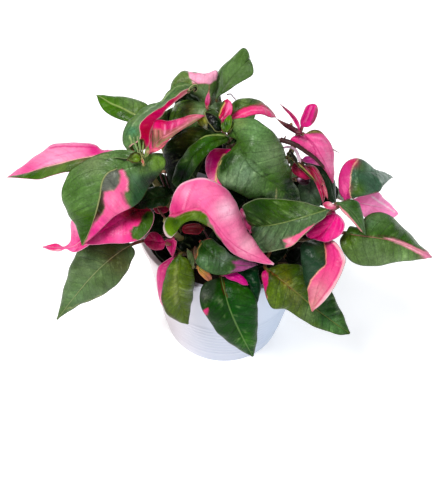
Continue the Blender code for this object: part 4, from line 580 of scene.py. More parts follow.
shady("inner_back", "R", 88, [(222, 176, 90), (214, 168, 93), (204, 162, 95), (192, 160, 94)], [(218, 164), (208, 154), (198, 152)], [(214, 180), (204, 174), (194, 170)], 13, base=(12, 20, 8))
shady("inner_back_left", "C", 86, [(196, 182, 88), (188, 174, 92), (180, 166, 95), (172, 162, 95)], [(196, 172), (188, 162), (180, 158)], [(188, 184), (180, 178), (174, 171)], 10, base=(12, 18, 8))
shady("inner_back_right", "R", 92, [(232, 168, 94), (240, 160, 98), (248, 154, 100), (256, 152, 99)], [(228, 158), (238, 150), (248, 146)], [(240, 170), (250, 164), (256, 159)], 11, base=(12, 20, 8))

# ---------------------------------------------------------------------------
# Meshes
# ---------------------------------------------------------------------------
def linear(rgb):
    """Linear light from a display colour of 0 to 255."""
    c = np.asarray(rgb, float) / 255.0
    return np.where(c <= 0.04045, c / 12.92, ((c + 0.055) / 1.055) ** 2.4)


def new_object(name, points, faces, mat, smooth=True):
    """A mesh object from points in mm."""
    mesh = bpy.data.meshes.new(name)
    pts = np.asarray(points, np.float64) / 1000.0
    mesh.from_pydata(pts.tolist(), [], faces)
    mesh.validate()
    obj = bpy.data.objects.new(name, mesh)
    bpy.context.scene.collection.objects.link(obj)
    mesh.materials.append(mat)
    if smooth:
        mesh.polygons.foreach_set("use_smooth", [True] * len(mesh.polygons))
    mesh.update()
    return obj


def put(obj, name, kind, values):
    """A value for each point of a mesh: kind FLOAT, FLOAT_VECTOR or FLOAT_COLOR."""
    made = obj.data.attributes.new(name, kind, "POINT")
    key = {"FLOAT": "value", "FLOAT_VECTOR": "vector", "FLOAT_COLOR": "color"}[kind]
    v = np.asarray(values, np.float32)
    if kind == "FLOAT_COLOR" and v.shape[1] == 3:
        v = np.concatenate([v, np.ones((len(v), 1), np.float32)], axis=1)
    made.data.foreach_set(key, v.ravel())


def belongs(obj, slot, *nodes):
    """The piece goes with the plant; it stands for these nodes, whose CAD parts are hidden. slot is not used."""
    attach(obj, "root")
    if nodes:
        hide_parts(*nodes)
    return obj


def finer(rows, kr, kc):
    """A grid with kr and kc times as many steps, on smooth curves. The crease of the midrib stays."""

    def along(p, k):
        n = p.shape[0]
        m = np.empty_like(p)
        m[1:-1] = (p[2:] - p[:-2]) / 2
        m[0], m[-1] = p[1] - p[0], p[-1] - p[-2]
        out = []
        for i in range(k):
            x = i / k
            out.append((2 * x**3 - 3 * x**2 + 1) * p[:-1] + (x**3 - 2 * x**2 + x) * m[:-1] + (3 * x**2 - 2 * x**3) * p[1:] + (x**3 - x**2) * m[1:])
        fine = np.stack(out, axis=1).reshape((n - 1) * k, *p.shape[1:])
        return np.concatenate([fine, p[-1:]])

    rows = along(rows, kr)
    half = (rows.shape[1] - 1) // 2
    left = along(rows[:, : half + 1].transpose(1, 0, 2), kc)
    right = along(rows[:, half:].transpose(1, 0, 2), kc)
    return np.concatenate([left, right[1:]]).transpose(1, 0, 2)


def noise3(p, size, seed):
    """A smooth field of about -1 to 1 with features of that size, from a few summed waves."""
    rng = np.random.default_rng(seed)
    total = np.zeros(len(p))
    for _ in range(9):
        d = rng.normal(size=3)
        d /= np.linalg.norm(d)
        total += np.sin(p @ d * (2 * math.pi / (size * rng.uniform(0.7, 1.5))) + rng.uniform(0, 6.28))
    return total / 3.0


def shell(rows, halves, n, ridge):
    """Points and faces of a closed sheet round a grid; halves is its half thickness and n its normal at
    each point, and ridge is how much more it stands out below."""
    r, c = rows.shape[:2]
    top, low = rows + n * halves[..., None], rows - n * (halves + ridge)[..., None]
    points = np.concatenate([top.reshape(-1, 3), low.reshape(-1, 3)])
    k = r * c
    i, j = np.meshgrid(np.arange(r - 1), np.arange(c - 1), indexing="ij")
    a = (i * c + j).ravel()
    quads = np.stack([a, a + 1, a + c + 1, a + c], axis=1)
    faces = quads.tolist() + (quads[:, ::-1] + k).tolist()
    edge = [i * c for i in range(r)] + [(r - 1) * c + j for j in range(1, c)]
    edge += [i * c + c - 1 for i in range(r - 2, -1, -1)] + [j for j in range(c - 2, 0, -1)]
    for a, b in zip(edge, edge[1:] + edge[:1]):
        faces.append((a, b, k + b, k + a))
    return points, faces, n


def outward(points, faces):
    """The faces turned so that the closed mesh holds a positive volume."""
    p = np.asarray(points, float)
    three = np.array([(f[0], f[k], f[k + 1]) for f in faces for k in range(1, len(f) - 1)])
    total = np.einsum("ij,ij->i", p[three[:, 0]], np.cross(p[three[:, 1]], p[three[:, 2]])).sum()
    return faces if total > 0 else [tuple(reversed(f)) for f in faces]


# ---------------------------------------------------------------------------
# The colours of a leaf are painted as a grower would describe them: areas, lines and soft spots,
# laid over a base colour for each half. Their places are in the same front plane as the tables.
# ---------------------------------------------------------------------------
def to_polygon(u, v, pts):
    """Distance to a polygon's outline, negative inside."""
    p = np.asarray(pts, float)
    q = np.roll(p, -1, axis=0)
    best = np.full(u.shape, 1e9)
    inside = np.zeros(u.shape, bool)
    for (x0, y0), (x1, y1) in zip(p, q):
        dx, dy = x1 - x0, y1 - y0
        t = np.clip(((u - x0) * dx + (v - y0) * dy) / max(dx * dx + dy * dy, 1e-9), 0, 1)
        best = np.minimum(best, np.hypot(u - x0 - t * dx, v - y0 - t * dy))
        if y0 != y1:
            inside ^= ((y0 > v) != (y1 > v)) & (u < (x1 - x0) * (v - y0) / (y1 - y0) + x0)
    return np.where(inside, -best, best)


def to_line(u, v, pts):
    """Distance to an open line."""
    p = np.asarray(pts, float)
    best = np.full(u.shape, 1e9)
    for (x0, y0), (x1, y1) in zip(p[:-1], p[1:]):
        dx, dy = x1 - x0, y1 - y0
        t = np.clip(((u - x0) * dx + (v - y0) * dy) / max(dx * dx + dy * dy, 1e-9), 0, 1)
        best = np.minimum(best, np.hypot(u - x0 - t * dx, v - y0 - t * dy))
    return best


def ease(x):
    x = np.clip(x, 0, 1)
    return x * x * (3 - 2 * x)


def deepen(rgb):
    """The paint as the leaf's own colour: the shine that lies over it in daylight taken off."""
    grey = (rgb @ np.array([0.21, 0.72, 0.07]))[..., None]
    return np.clip((grey + (rgb - grey) * 1.10) * 0.84 - 0.004, 0.001, 0.95)


def painted(spec, u, v, side, seed):
    """Linear colours at places u, v; side is -1 on half a, 1 on half b and 0 on the midrib."""
    base_a, base_b = spec["base"] if isinstance(spec["base"], list) else (spec["base"], spec["base"])
    rgb = np.where((side > 0)[:, None], linear(base_b), linear(base_a))
    q = np.stack([u, v, np.zeros_like(u)], axis=1)
    ragged = spec.get("ragged", 0.9)
    wu = u + ragged * noise3(q, 7.0, seed) + 0.5 * ragged * noise3(q, 3.0, seed + 1)
    wv = v + ragged * noise3(q, 7.0, seed + 2) + 0.5 * ragged * noise3(q, 3.0, seed + 3)
    for mark in spec.get("marks", ()):
        kind, pts, colour, soft = mark[0], mark[1], mark[2], mark[3]
        more = mark[4] if len(mark) > 4 else {}
        if kind == "area":
            w = ease(0.5 - to_polygon(wu, wv, pts) / (2 * soft))
        elif kind == "line":
            w = ease((more["wide"] / 2 + soft / 2 - to_line(wu, wv, pts)) / soft)
        else:
            w = np.exp(-((u - pts[0]) ** 2 + (v - pts[1]) ** 2) / (soft * soft))
        w = w * more.get("much", 1.0)
        if "half" in more:
            w = w * (side * more["half"] > 0)
        rgb = rgb * (1 - w[:, None]) + linear(colour) * w[:, None]
    return deepen(rgb)

# ---------------------------------------------------------------------------
# Colours, read off
# ---------------------------------------------------------------------------
GREEN, DEEP, SHADE, OLIVE = (88, 118, 66), (48, 80, 32), (20, 36, 14), (102, 120, 50)
BRIGHT, GREY, CREAM = (98, 128, 60), (104, 110, 98), (232, 196, 160)
PINK, PALE, HOT, MAGENTA, WINE = (241, 112, 163), (250, 176, 206), (222, 52, 126), (190, 16, 88), (116, 6, 52)

# base: one colour, or [half a, half b]. marks: ("area", outline, colour, softness), ("line", points, colour,
# softness, {"wide"}), ("spot", place, colour, size). mid, rim: colour and width in mm of the midrib and the margin.
# Some marks and base colours are painted light and shade, said so where they stand; glow gives a leaf a painted glow.
PAINT = {
    "leaf_left_outer": dict(base=[(246, 138, 182), (96, 120, 60)], mid=((244, 208, 178), 1.0), rim=((226, 96, 156), 0.25), ragged=0.3, veins=0.7, marks=[
        ("spot", (95, 151), (224, 52, 134), 10, {"half": -1}),
        ("spot", (28, 170), (236, 96, 156), 11, {"half": -1}),
        ("spot", (58, 160), (252, 172, 204), 12, {"half": -1, "much": 0.7}),
        ("line", [(50, 148.5), (62, 146.4), (80, 146.8), (97, 148)], (212, 36, 118), 1.8, {"wide": 1.0, "half": -1}),
        ("line", [(56, 156), (70, 152.6), (86, 151)], (228, 84, 148), 2.4, {"wide": 0.8, "half": -1, "much": 0.7}),
        ("line", [(34, 168), (50, 160), (66, 156)], (230, 96, 156), 2.0, {"wide": 0.6, "half": -1, "much": 0.7}),
        ("line", [(52, 143.6), (66, 142), (84, 142.4), (95, 144)], (253, 204, 222), 1.4, {"wide": 1.8, "half": -1}),
        ("spot", (88, 163), (110, 98, 70), 10, {"half": 1}),
        ("spot", (72, 168), (86, 110, 60), 6, {"half": 1}),
        ("spot", (32, 176), (62, 98, 30), 14, {"half": 1})]),
    "leaf_left_big": dict(base=[(88, 120, 66), (88, 120, 68)], mid=((168, 164, 118), 0.7), rim=((60, 78, 34), 0.3), ragged=0.35, marks=[
        # painted sheen: the paler spot near the top of half a
        ("spot", (92, 160), (118, 134, 94), 16, {"half": -1, "much": 0.8}),
        ("spot", (74, 190), (78, 112, 54), 12, {"half": -1, "much": 0.8}),
        ("area", [(72, 212), (95, 212), (98, 230), (84, 250), (72, 240)], (52, 84, 0), 9, {"half": -1}),
        ("line", [(104, 160), (112, 160), (122, 158.5), (130, 156)], (52, 76, 40), 2.0, {"wide": 1.0, "much": 0.7}),
        ("line", [(100, 155.6), (112, 154.4), (122, 155), (131, 158)], (150, 166, 116), 1.6, {"wide": 0.8, "much": 0.8}),
        ("area", [(140, 163), (147, 156), (156, 153), (165, 156), (168, 164), (160, 172), (140, 172)], (104, 136, 60), 4, {"half": 1}),
        ("line", [(146, 157.5), (152, 155.5), (160, 155.6), (165, 160)], (60, 96, 36), 1.4, {"wide": 0.8, "half": 1, "much": 0.8}),
        ("area", [(132, 178), (150, 172), (168, 168), (160, 184), (142, 205), (129, 212)], (38, 72, 40), 5, {"half": 1}),
        ("spot", (151, 181), (2, 12, 0), 8, {"half": 1}),
        ("spot", (133, 178), (92, 120, 92), 6, {"half": 1, "much": 0.8}),
        ("spot", (146, 166), (96, 122, 80), 7, {"half": 1, "much": 0.7}),
        ("area", [(101, 184), (105, 176), (110, 171), (117, 168.4), (119.6, 172), (119.4, 182), (116.6, 189), (108, 191), (104, 193), (101, 197)], (98, 102, 92), 1.8, {"half": 1}),
        ("area", [(105, 191.5), (114, 190.6), (117.6, 186.6), (120, 181), (120.6, 175.5), (119.2, 170.4), (121.6, 169.4), (124.8, 172), (127.2, 178), (128.4, 184.4), (127.8, 190.6), (124.6, 191), (124.2, 196), (126.6, 202), (131, 208),
                  (127, 213), (118, 217.5), (108, 225.5), (98, 232), (90, 244), (83, 246.5), (88.6, 237), (92.6, 229), (95, 223), (98.6, 218.6), (103.6, 213), (105, 207), (103.4, 198.6)], (232, 98, 148), 1.5, {"half": 1}),
        ("area", [(104.4, 190), (103.8, 198), (105, 206), (103, 212.5), (98, 218), (94.6, 223), (92, 229), (93, 215), (96, 204), (99, 192)], (40, 42, 16), 1.6, {"half": 1}),
        ("line", [(122, 169), (126.4, 172.4), (129.2, 178), (130.2, 185), (129.2, 191.6)], (38, 62, 36), 2.2, {"wide": 1.2, "half": 1, "much": 0.85}),
        ("line", [(123.6, 171.6), (126.6, 178), (127.6, 185), (126.6, 190)], (246, 178, 190), 1.6, {"wide": 0.7, "half": 1, "much": 0.8}),
        ("line", [(121.6, 191.6), (123, 197.6), (127, 204)], (40, 60, 34), 1.6, {"wide": 1.0, "half": 1, "much": 0.8}),
        ("spot", (112, 199), (250, 146, 184), 6, {"half": 1, "much": 0.8}),
        ("spot", (122, 209), (246, 130, 172), 4, {"half": 1, "much": 0.7}),
        ("line", [(109, 196), (112, 204), (107, 214)], (226, 84, 138), 1.8, {"wide": 0.8, "half": 1, "much": 0.7}),
        ("line", [(119, 196), (117, 206), (120, 214)], (228, 84, 140), 1.6, {"wide": 0.6, "half": 1, "much": 0.7}),
        ("spot", (94, 231), (212, 48, 130), 8, {"half": 1, "much": 0.9}),
        ("spot", (103, 221), (216, 60, 136), 5, {"half": 1, "much": 0.8})]),
    "leaf_left_magenta": dict(base=(230, 62, 134), mid=((196, 34, 104), 0.12), rim=((250, 172, 200), 0.35), veins=0.6, ragged=0.5, marks=[
        ("spot", (106, 229), (222, 34, 118), 12),
        # painted shade: this dark red area, and the two dark spots at (133, 213) and (140, 207), are the shade over the
        # leaf's upper part
        ("area", [(126, 205), (140, 197), (155, 208), (151, 217), (140, 222), (128, 220), (119, 217)], (170, 10, 66), 4),
        ("line", [(93, 239), (101, 229), (108, 221), (115, 216)], (176, 14, 90), 1.8, {"wide": 1.8}),
        ("line", [(98, 238), (108, 230), (120, 225)], (180, 26, 96), 2.0, {"wide": 0.8, "much": 0.8}),
        ("line", [(112, 238), (121, 229), (127, 219)], (184, 20, 86), 2.0, {"wide": 0.9, "much": 0.8}),
        ("line", [(124, 238), (127, 230), (126, 222)], (176, 16, 76), 1.8, {"wide": 0.8, "much": 0.8}),
        ("spot", (118, 236), (240, 110, 164), 8, {"much": 0.8}),
        ("spot", (99, 239), (236, 90, 150), 6, {"much": 0.8}),
        ("spot", (133, 213), (84, 8, 24), 4.5),
        ("spot", (140, 207), (150, 6, 60), 5, {"much": 0.8}),
        ("area", [(132, 239), (130.5, 231), (133, 226.6), (138, 226), (141, 221), (143, 216), (147, 212), (155, 210), (153, 226), (147, 236), (139, 240.5)], (66, 100, 38), 1.2),
        ("line", [(131.4, 236), (132.6, 229), (139, 226.4), (143, 220)], (20, 30, 10), 1.4, {"wide": 1.0, "much": 0.8}),
        ("spot", (145, 217), (30, 44, 20), 4)]),
    "leaf_left_twisted": dict(base=(236, 104, 160), mid=((250, 176, 200), 0.5), rim=((250, 190, 210), 0.4), ragged=0.4, marks=[
        ("spot", (74, 224), (246, 158, 194), 9),
        ("spot", (53, 246), (222, 44, 114), 7),
        ("spot", (82, 243), (222, 44, 126), 6),
        ("line", [(45, 249.6), (53, 250.6), (61, 250)], (252, 190, 196), 1.2, {"wide": 1.0}),
        ("line", [(63, 249), (70, 245), (78, 243)], (238, 96, 154), 3, {"wide": 3}),
        ("line", [(72, 222), (74.6, 232), (74, 241)], (214, 70, 132), 1.4, {"wide": 0.7, "much": 0.8}),
        ("line", [(66, 250), (73, 252.4), (78, 249)], (190, 26, 96), 1.4, {"wide": 1.2}),
        ("line", [(76, 248), (82, 244), (86, 238)], (186, 24, 96), 1.4, {"wide": 0.8, "much": 0.8})]),
    "leaf_left_low": dict(base=(84, 108, 66), mid=((156, 164, 116), 0.42), rim=((84, 78, 48), 0.35), ragged=0.5, marks=[
        # painted shadow: the dark area along the top is the shadow cast by the magenta leaf above
        ("area", [(136, 230), (100, 234), (80, 244), (76, 252), (96, 249), (133, 246.5), (140, 240)], (36, 42, 20), 6),
        ("spot", (113, 256), (68, 68, 34), 12),
        ("spot", (122, 266), (72, 78, 40), 12),
        ("spot", (104, 284), (78, 96, 58), 9, {"much": 0.7}),
        ("spot", (86, 272), (102, 122, 84), 9, {"much": 0.8}),
        ("spot", (76, 296), (104, 134, 92), 10, {"much": 0.8}),
        ("line", [(133, 244), (121, 251), (108, 261)], (112, 62, 52), 1.6, {"wide": 0.8}),
        ("line", [(66, 309), (80, 304), (94, 298), (108, 292)], (166, 168, 112), 1.0, {"wide": 0.5, "much": 0.8}),
        ("spot", (78, 285), (92, 118, 74), 14, {"much": 0.6})]),
    "leaf_upper_left": dict(base=[(90, 126, 56), (74, 114, 40)], mid=((168, 190, 116), 1.1), rim=((70, 96, 40), 0.3), ragged=0.4, marks=[
        ("spot", (108, 103), (74, 118, 36), 10),
        ("spot", (132, 104), (104, 134, 78), 9),
        ("line", [(118, 98.4), (126, 103), (133, 110)], (62, 98, 34), 2.0, {"wide": 0.8, "much": 0.7}),
        ("spot", (122, 116), (60, 98, 26), 8)]),
    # painted light: the pink half is painted bright and given a painted glow (glow) where it lies in the fold's shade
    "leaf_curled": dict(base=[(88, 124, 70), (250, 16, 112)], mid=((84, 112, 66), 0.3), rim=((240, 176, 176), 0.9), ragged=0.3, veins=1.0, under=0.12, glow=0.3, marks=[
        ("spot", (136, 121), (116, 152, 100), 8, {"half": -1, "much": 0.9}),
        ("spot", (127, 133), (78, 114, 66), 6, {"half": -1}),
        ("spot", (133, 131), (84, 140, 100), 5, {"half": -1}),
        ("spot", (178, 88), (86, 120, 58), 12, {"half": -1}),
        ("spot", (136, 113), (72, 98, 44), 4, {"half": -1, "much": 0.8}),
        ("spot", (152, 108), (112, 142, 98), 8, {"half": -1, "much": 0.8}),
        ("line", [(126, 136), (131, 125), (141, 116), (155, 107), (166, 99), (176, 89)], (52, 92, 52), 1.8, {"wide": 1.0, "half": -1, "much": 0.8}),
        ("line", [(137, 130), (138.6, 122), (146, 115), (158, 107), (170, 97), (182, 89)], (64, 100, 60), 1.8, {"wide": 0.9, "half": -1, "much": 0.7}),
        # painted highlight along the fold
        ("line", [(132, 126), (139, 117.4), (150, 109), (161, 102.4), (170, 93)], (176, 200, 156), 1.6, {"wide": 1.0, "half": -1, "much": 0.8}),
        ("spot", (133, 119), (100, 128, 66), 5, {"half": -1, "much": 0.8}),
        ("spot", (140, 112), (80, 108, 56), 5, {"half": -1, "much": 0.8}),
        # painted highlight near the curled tip
        ("line", [(163, 101), (170, 92), (180, 85.4), (190, 85)], (158, 176, 120), 1.4, {"wide": 0.8, "half": -1, "much": 0.7}),
        ("line", [(174, 94), (183, 88.6), (191, 86.6)], (54, 82, 40), 1.4, {"wide": 0.8, "half": -1, "much": 0.8}),
        # painted highlight streaks near the base: this pale line and the pale line two lines on
        ("line", [(135, 150), (132, 143), (129.5, 136)], (170, 194, 130), 1.6, {"wide": 1.2, "half": -1}),
        ("line", [(138, 147), (136, 141), (134, 134)], (64, 100, 52), 1.6, {"wide": 1.0, "half": -1}),
        ("line", [(140, 148), (139, 143), (137.5, 137)], (190, 204, 146), 1.6, {"wide": 1.2, "half": -1}),
        ("line", [(140.4, 131), (140, 126.6), (141.6, 121.5)], (150, 24, 74), 1.2, {"wide": 0.8, "half": -1, "much": 0.8}),
        ("spot", (146, 132), (236, 4, 84), 7, {"half": 1}),
        ("spot", (160, 114), (226, 20, 108), 7, {"half": 1}),
        ("spot", (172, 102), (206, 50, 92), 7, {"half": 1, "much": 0.8}),
        ("spot", (184, 93), (200, 130, 132), 7, {"half": 1, "much": 0.85}),
        ("spot", (148, 148), (236, 90, 130), 5, {"half": 1}),
        ("area", [(124, 138), (143, 139), (146, 146), (145.4, 154), (124, 154)], (96, 134, 66), 1.6, {"half": 1})]),
    "leaf_pink_pointed": dict(base=(232, 62, 128), mid=((240, 120, 160), 0.2), rim=((238, 110, 140), 0.3), ragged=0.2, veins=0.5, marks=[
        ("spot", (163, 124), (214, 12, 96), 8),
        ("spot", (172, 127), (214, 40, 108), 6),
        ("spot", (181, 124), (240, 96, 150), 7, {"much": 0.8}),
        ("spot", (195, 117.5), (244, 126, 158), 7),
        ("area", [(151.6, 128), (158, 129), (165, 131.4), (175, 128), (186, 122.6), (199, 117.4), (190, 125.6), (177, 134.4), (166, 141.4), (158, 147.4), (152, 150)], (172, 110, 98), 2.0, {"much": 0.8}),
        ("spot", (193, 118.5), (212, 140, 148), 7, {"much": 0.8}),
        ("line", [(155, 122), (166, 121.6), (180, 118.8), (196, 115.6)], (196, 30, 60), 1.0, {"wide": 0.8, "much": 0.8}),
        ("line", [(164.4, 134), (165, 125.6)], (248, 150, 186), 1.8, {"wide": 1.2}),
        ("line", [(170.6, 131), (172.6, 123.6)], (244, 130, 172), 1.6, {"wide": 1.2}),
        ("line", [(176.5, 128), (179, 121)], (244, 130, 172), 1.6, {"wide": 0.8, "much": 0.8}),
        ("line", [(153, 131), (152.6, 139), (152.8, 147)], (66, 72, 48), 1.6, {"wide": 1.4}),
        ("line", [(155.8, 129.5), (155.6, 138), (156.6, 146)], (196, 150, 130), 1.4, {"wide": 0.9}),
        ("line", [(158.6, 131), (158.4, 139), (159.4, 143.5)], (100, 76, 52), 1.4, {"wide": 1.3}),
        ("line", [(160.4, 129), (161, 136), (163, 141)], (214, 130, 124), 1.4, {"wide": 0.8, "much": 0.8}),
        ("line", [(157, 146.4), (163, 141), (172, 136.4), (182, 130.2), (192, 123), (200, 118.6)], (150, 132, 96), 1.6, {"wide": 1.8}),
        ("line", [(158, 148.6), (166, 143), (176, 137), (187, 129.6)], (92, 98, 58), 1.2, {"wide": 1.0}),
        ("line", [(163, 137.6), (170, 134), (178, 129.6), (188, 123.4)], (244, 158, 170), 1.4, {"wide": 0.7, "much": 0.8}),
        ("line", [(149.6, 150.6), (156, 151.2), (163, 147.6), (169, 141.6), (175, 136.6)], (226, 108, 124), 1.8, {"wide": 2.2}),
        ("spot", (160, 141), (120, 104, 70), 4, {"much": 0.7}),
        ("spot", (154, 140), (84, 84, 56), 4, {"much": 0.6}),
        ("spot", (176, 133.6), (130, 112, 84), 4, {"much": 0.6})]),
    "leaf_bud_pink": dict(base=[(196, 34, 84), (232, 76, 132)], mid=((196, 14, 70), 0.5), rim=((206, 34, 84), 0.3), ragged=0.1, veins=0.3, marks=[
        ("area", [(216, 121), (217, 107), (223, 99), (225.2, 102), (221.8, 109), (219.8, 116), (218.4, 120)], (60, 84, 36), 0.8),
        ("line", [(219.6, 115.6), (221.8, 109.4), (225, 103)], (214, 186, 110), 1.0, {"wide": 1.0}),
        ("line", [(220, 117), (223, 112), (226.4, 107), (227.6, 101.6)], (224, 44, 96), 1.0, {"wide": 1.2}),
        ("line", [(221.6, 118.6), (225.6, 114), (228.6, 108.6), (229, 102.6)], (250, 150, 184), 0.9, {"wide": 0.8}),
        ("line", [(220.4, 114.6), (224.6, 110), (226.2, 105)], (140, 4, 44), 0.9, {"wide": 0.6}),
        ("line", [(223.6, 118.2), (227.6, 114.6), (230.2, 110)], (176, 10, 66), 0.9, {"wide": 0.6}),
        ("spot", (229.6, 106), (240, 120, 168), 3.4)]),
    "leaf_top_right": dict(base=(74, 100, 46), mid=((110, 50, 56), 0.25), rim=((120, 60, 66), 0.35), ragged=0.2, marks=[
        ("spot", (243, 102), (108, 134, 76), 5),
        ("spot", (254, 102), (54, 80, 32), 4),
        ("spot", (236, 106), (40, 64, 22), 4),
        ("line", [(238, 101.4), (246, 103.6), (254, 101.4)], (46, 72, 28), 1.2, {"wide": 0.8, "much": 0.8}),
        ("area", [(229, 121), (234, 114.4), (239, 111), (245, 107.8), (254, 106), (264, 106.4), (271, 110.5), (278, 118), (268, 120), (255, 117), (242, 122), (232, 124)], (230, 66, 124), 0.8),
        ("spot", (262, 109.5), (238, 92, 144), 5, {"much": 0.8}),
        ("spot", (236, 117.4), (214, 36, 100), 4, {"much": 0.9}),
        ("line", [(233, 119), (242, 114.4), (252, 110.6), (262, 110.6)], (250, 158, 190), 1.4, {"wide": 0.7, "much": 0.7}),
        ("line", [(236, 112.4), (245, 107.6), (254, 105.6), (264, 106)], (196, 40, 86), 1.0, {"wide": 0.7, "much": 0.8}),
        ("line", [(262, 105), (268, 108.5), (274, 115)], (150, 60, 80), 1.4, {"wide": 0.8})]),
    "leaf_centre_big": dict(base=[(84, 116, 66), (82, 112, 64)], mid=((62, 88, 46), 0.5), rim=((52, 74, 38), 0.35), veins=1.3, ragged=0.5, marks=[
        # painted sheen: the two paler spots at the top
        ("spot", (255, 127), (104, 140, 88), 14, {"much": 0.9}),
        ("spot", (240, 122), (120, 144, 88), 7),
        ("spot", (270, 148), (106, 134, 88), 12, {"much": 0.8}),
        # painted shade on the left of the midrib, near the top
        ("area", [(230, 130), (246, 138), (252, 160), (236, 166), (226, 170), (222, 150)], (58, 90, 30), 7, {"much": 0.8}),
        # painted sheen: the two paler spots on the lower left
        ("spot", (243, 173), (116, 142, 110), 13, {"much": 0.9}),
        ("spot", (228, 181), (132, 158, 120), 8, {"much": 0.85}),
        # painted shade: the near-black area by the left margin
        ("area", [(218.6, 164), (225, 156), (233, 151), (236, 156), (231, 164), (227, 171), (220.6, 174)], (26, 54, 8), 3.0, {"much": 0.9}),
        ("spot", (272, 157), (124, 150, 104), 11, {"much": 0.7}),
        ("line", [(262, 170), (251, 180), (244, 190)], (66, 96, 52), 1.6, {"wide": 0.8, "much": 0.8}),
        ("line", [(254, 163), (242, 170), (234, 182)], (66, 96, 52), 1.6, {"wide": 0.8, "much": 0.8}),
        ("line", [(246, 156), (234, 164), (226, 176)], (56, 86, 40), 1.6, {"wide": 0.8, "much": 0.7}),
        ("line", [(256, 170), (247, 179), (240, 190)], (150, 172, 136), 1.4, {"wide": 0.7, "much": 0.7}),
        ("line", [(246, 164), (238, 172), (231, 182)], (146, 168, 130), 1.4, {"wide": 0.6, "much": 0.7}),
        ("area", [(216, 184), (232, 188), (250, 193), (284, 201), (300, 212), (240, 204), (216, 196)], (24, 56, 14), 6),
        ("area", [(262, 168), (280, 178), (298, 200), (285, 205), (268, 190)], (60, 96, 30), 7),
        ("area", [(280, 172), (291, 172), (302, 204), (294, 208), (284, 196)], (20, 50, 4), 4.0),
        ("spot", (284, 168), (78, 110, 50), 8, {"much": 0.7}),
        ("line", [(241, 150), (252, 160.5), (264, 172), (280, 187), (292, 199)], (50, 74, 34), 1.3, {"wide": 0.9}),
        ("line", [(276.6, 189), (275.6, 198)], (176, 178, 120), 1.0, {"wide": 1.2}),
        ("line", [(220.6, 161), (217.6, 169), (216.4, 177), (219.5, 184)], (216, 190, 130), 1.6, {"wide": 1.8})]),
    # painted glow (glow) on this shaded pink leaf
    "leaf_centre_inner": dict(glow=0.16, base=(226, 34, 126), mid=((214, 50, 130), 0.3), rim=((244, 150, 190), 0.5), ragged=0.2, marks=[
        ("spot", (222, 153), (176, 10, 84), 9),
        ("spot", (209, 163), (206, 50, 134), 6),
        ("spot", (211, 181), (236, 126, 172), 8),
        ("line", [(212, 158), (210, 168), (212, 178)], (236, 110, 170), 1.6, {"wide": 0.7, "much": 0.7}),
        ("line", [(224.6, 155), (219, 164), (216.6, 174), (216, 186)], (240, 208, 150), 1.6, {"wide": 2.2})]),
    # painted shade: the whole leaf is painted near-black green for the shade it lies in, blackest at the spot low on
    # its left (172, 160); the paler spot at (191, 133) is a painted highlight
    "leaf_dark_back": dict(gloss=0.08, base=(28, 42, 12), mid=((52, 66, 30), 0.3), rim=((66, 82, 40), 0.3), marks=[
        ("spot", (191, 133), (86, 106, 50), 7),
        ("spot", (180, 143), (56, 60, 30), 8),
        ("spot", (170, 148), (34, 50, 22), 7),
        ("spot", (172, 160), (6, 14, 0), 13),
        ("line", [(196, 130), (186, 136), (178, 144)], (70, 88, 44), 2.0, {"wide": 1.0, "much": 0.8})]),
    "leaf_dark_front": dict(gloss=0.14, base=(46, 78, 10), mid=((44, 70, 22), 0.3), rim=((70, 96, 40), 0.25), ragged=0.3, marks=[
        ("spot", (207, 143), (50, 90, 16), 8),
        ("spot", (221, 138), (62, 90, 40), 6),
        # painted shade: the black spot on the lower part
        ("spot", (183, 174), (4, 18, 0), 12),
        ("spot", (188, 156), (44, 74, 18), 7),
        ("line", [(216, 140), (204, 146), (195, 155)], (38, 64, 18), 2.0, {"wide": 0.8, "much": 0.8}),
        # painted highlight: the pale line where the upper edge catches the light
        ("line", [(178.6, 160), (181.4, 154.3), (190, 145.7), (198.6, 139.3), (207, 136.4), (215.7, 135), (230, 136.4)], (156, 172, 104), 1.0, {"wide": 0.9})]),
    "leaf_arching": dict(base=(80, 108, 52), mid=((60, 88, 36), 0.3), rim=((30, 46, 22), 0.5), ragged=0.4, marks=[
        ("spot", (180, 112), (66, 94, 34), 6),
        ("spot", (190, 109), (104, 112, 62), 6),
        ("spot", (192, 120), (66, 98, 40), 6),
        # painted highlight at the right end
        ("spot", (202, 114), (132, 150, 116), 6),
        ("spot", (205, 120), (144, 130, 92), 5),
        ("spot", (198, 104), (92, 120, 76), 5),
        ("line", [(174, 120), (175.6, 110), (181, 103.6), (190, 101.6)], (24, 36, 16), 1.2, {"wide": 1.0}),
        ("line", [(177, 119), (179, 110.6), (185, 105), (194, 104)], (116, 128, 76), 1.2, {"wide": 0.7, "much": 0.7}),
        ("line", [(181, 117), (188, 111), (197, 110)], (52, 78, 30), 1.8, {"wide": 0.8, "much": 0.7})]),
    "leaf_top_left": dict(veins=0.8, base=(92, 118, 62), mid=((110, 128, 80), 0.4), rim=((60, 84, 40), 0.3), ragged=0.3, marks=[
        ("spot", (181, 78), (108, 130, 76), 7),
        ("spot", (178, 88), (80, 108, 46), 6),
        ("spot", (204, 92), (108, 132, 94), 8),
        ("area", [(174, 99), (186, 92), (194, 90), (204, 108), (192, 107), (180, 103)], (28, 42, 22), 3.0),
        ("line", [(191, 94), (197, 98), (203, 104)], (140, 152, 138), 1.4, {"wide": 1.0, "much": 0.8}),
        ("line", [(188, 97), (194, 101), (200, 106)], (96, 112, 92), 1.4, {"wide": 0.7, "much": 0.7}),
        ("area", [(187.5, 71), (195.7, 73), (204, 72), (211, 70), (220, 68), (217, 80), (209.5, 83.4), (198.6, 83.4), (193, 82.6), (190, 78)], (248, 174, 200), 0.9),
        ("line", [(190, 73.6), (200, 74.4), (212, 71.6)], (236, 120, 160), 1.0, {"wide": 0.6, "much": 0.7}),
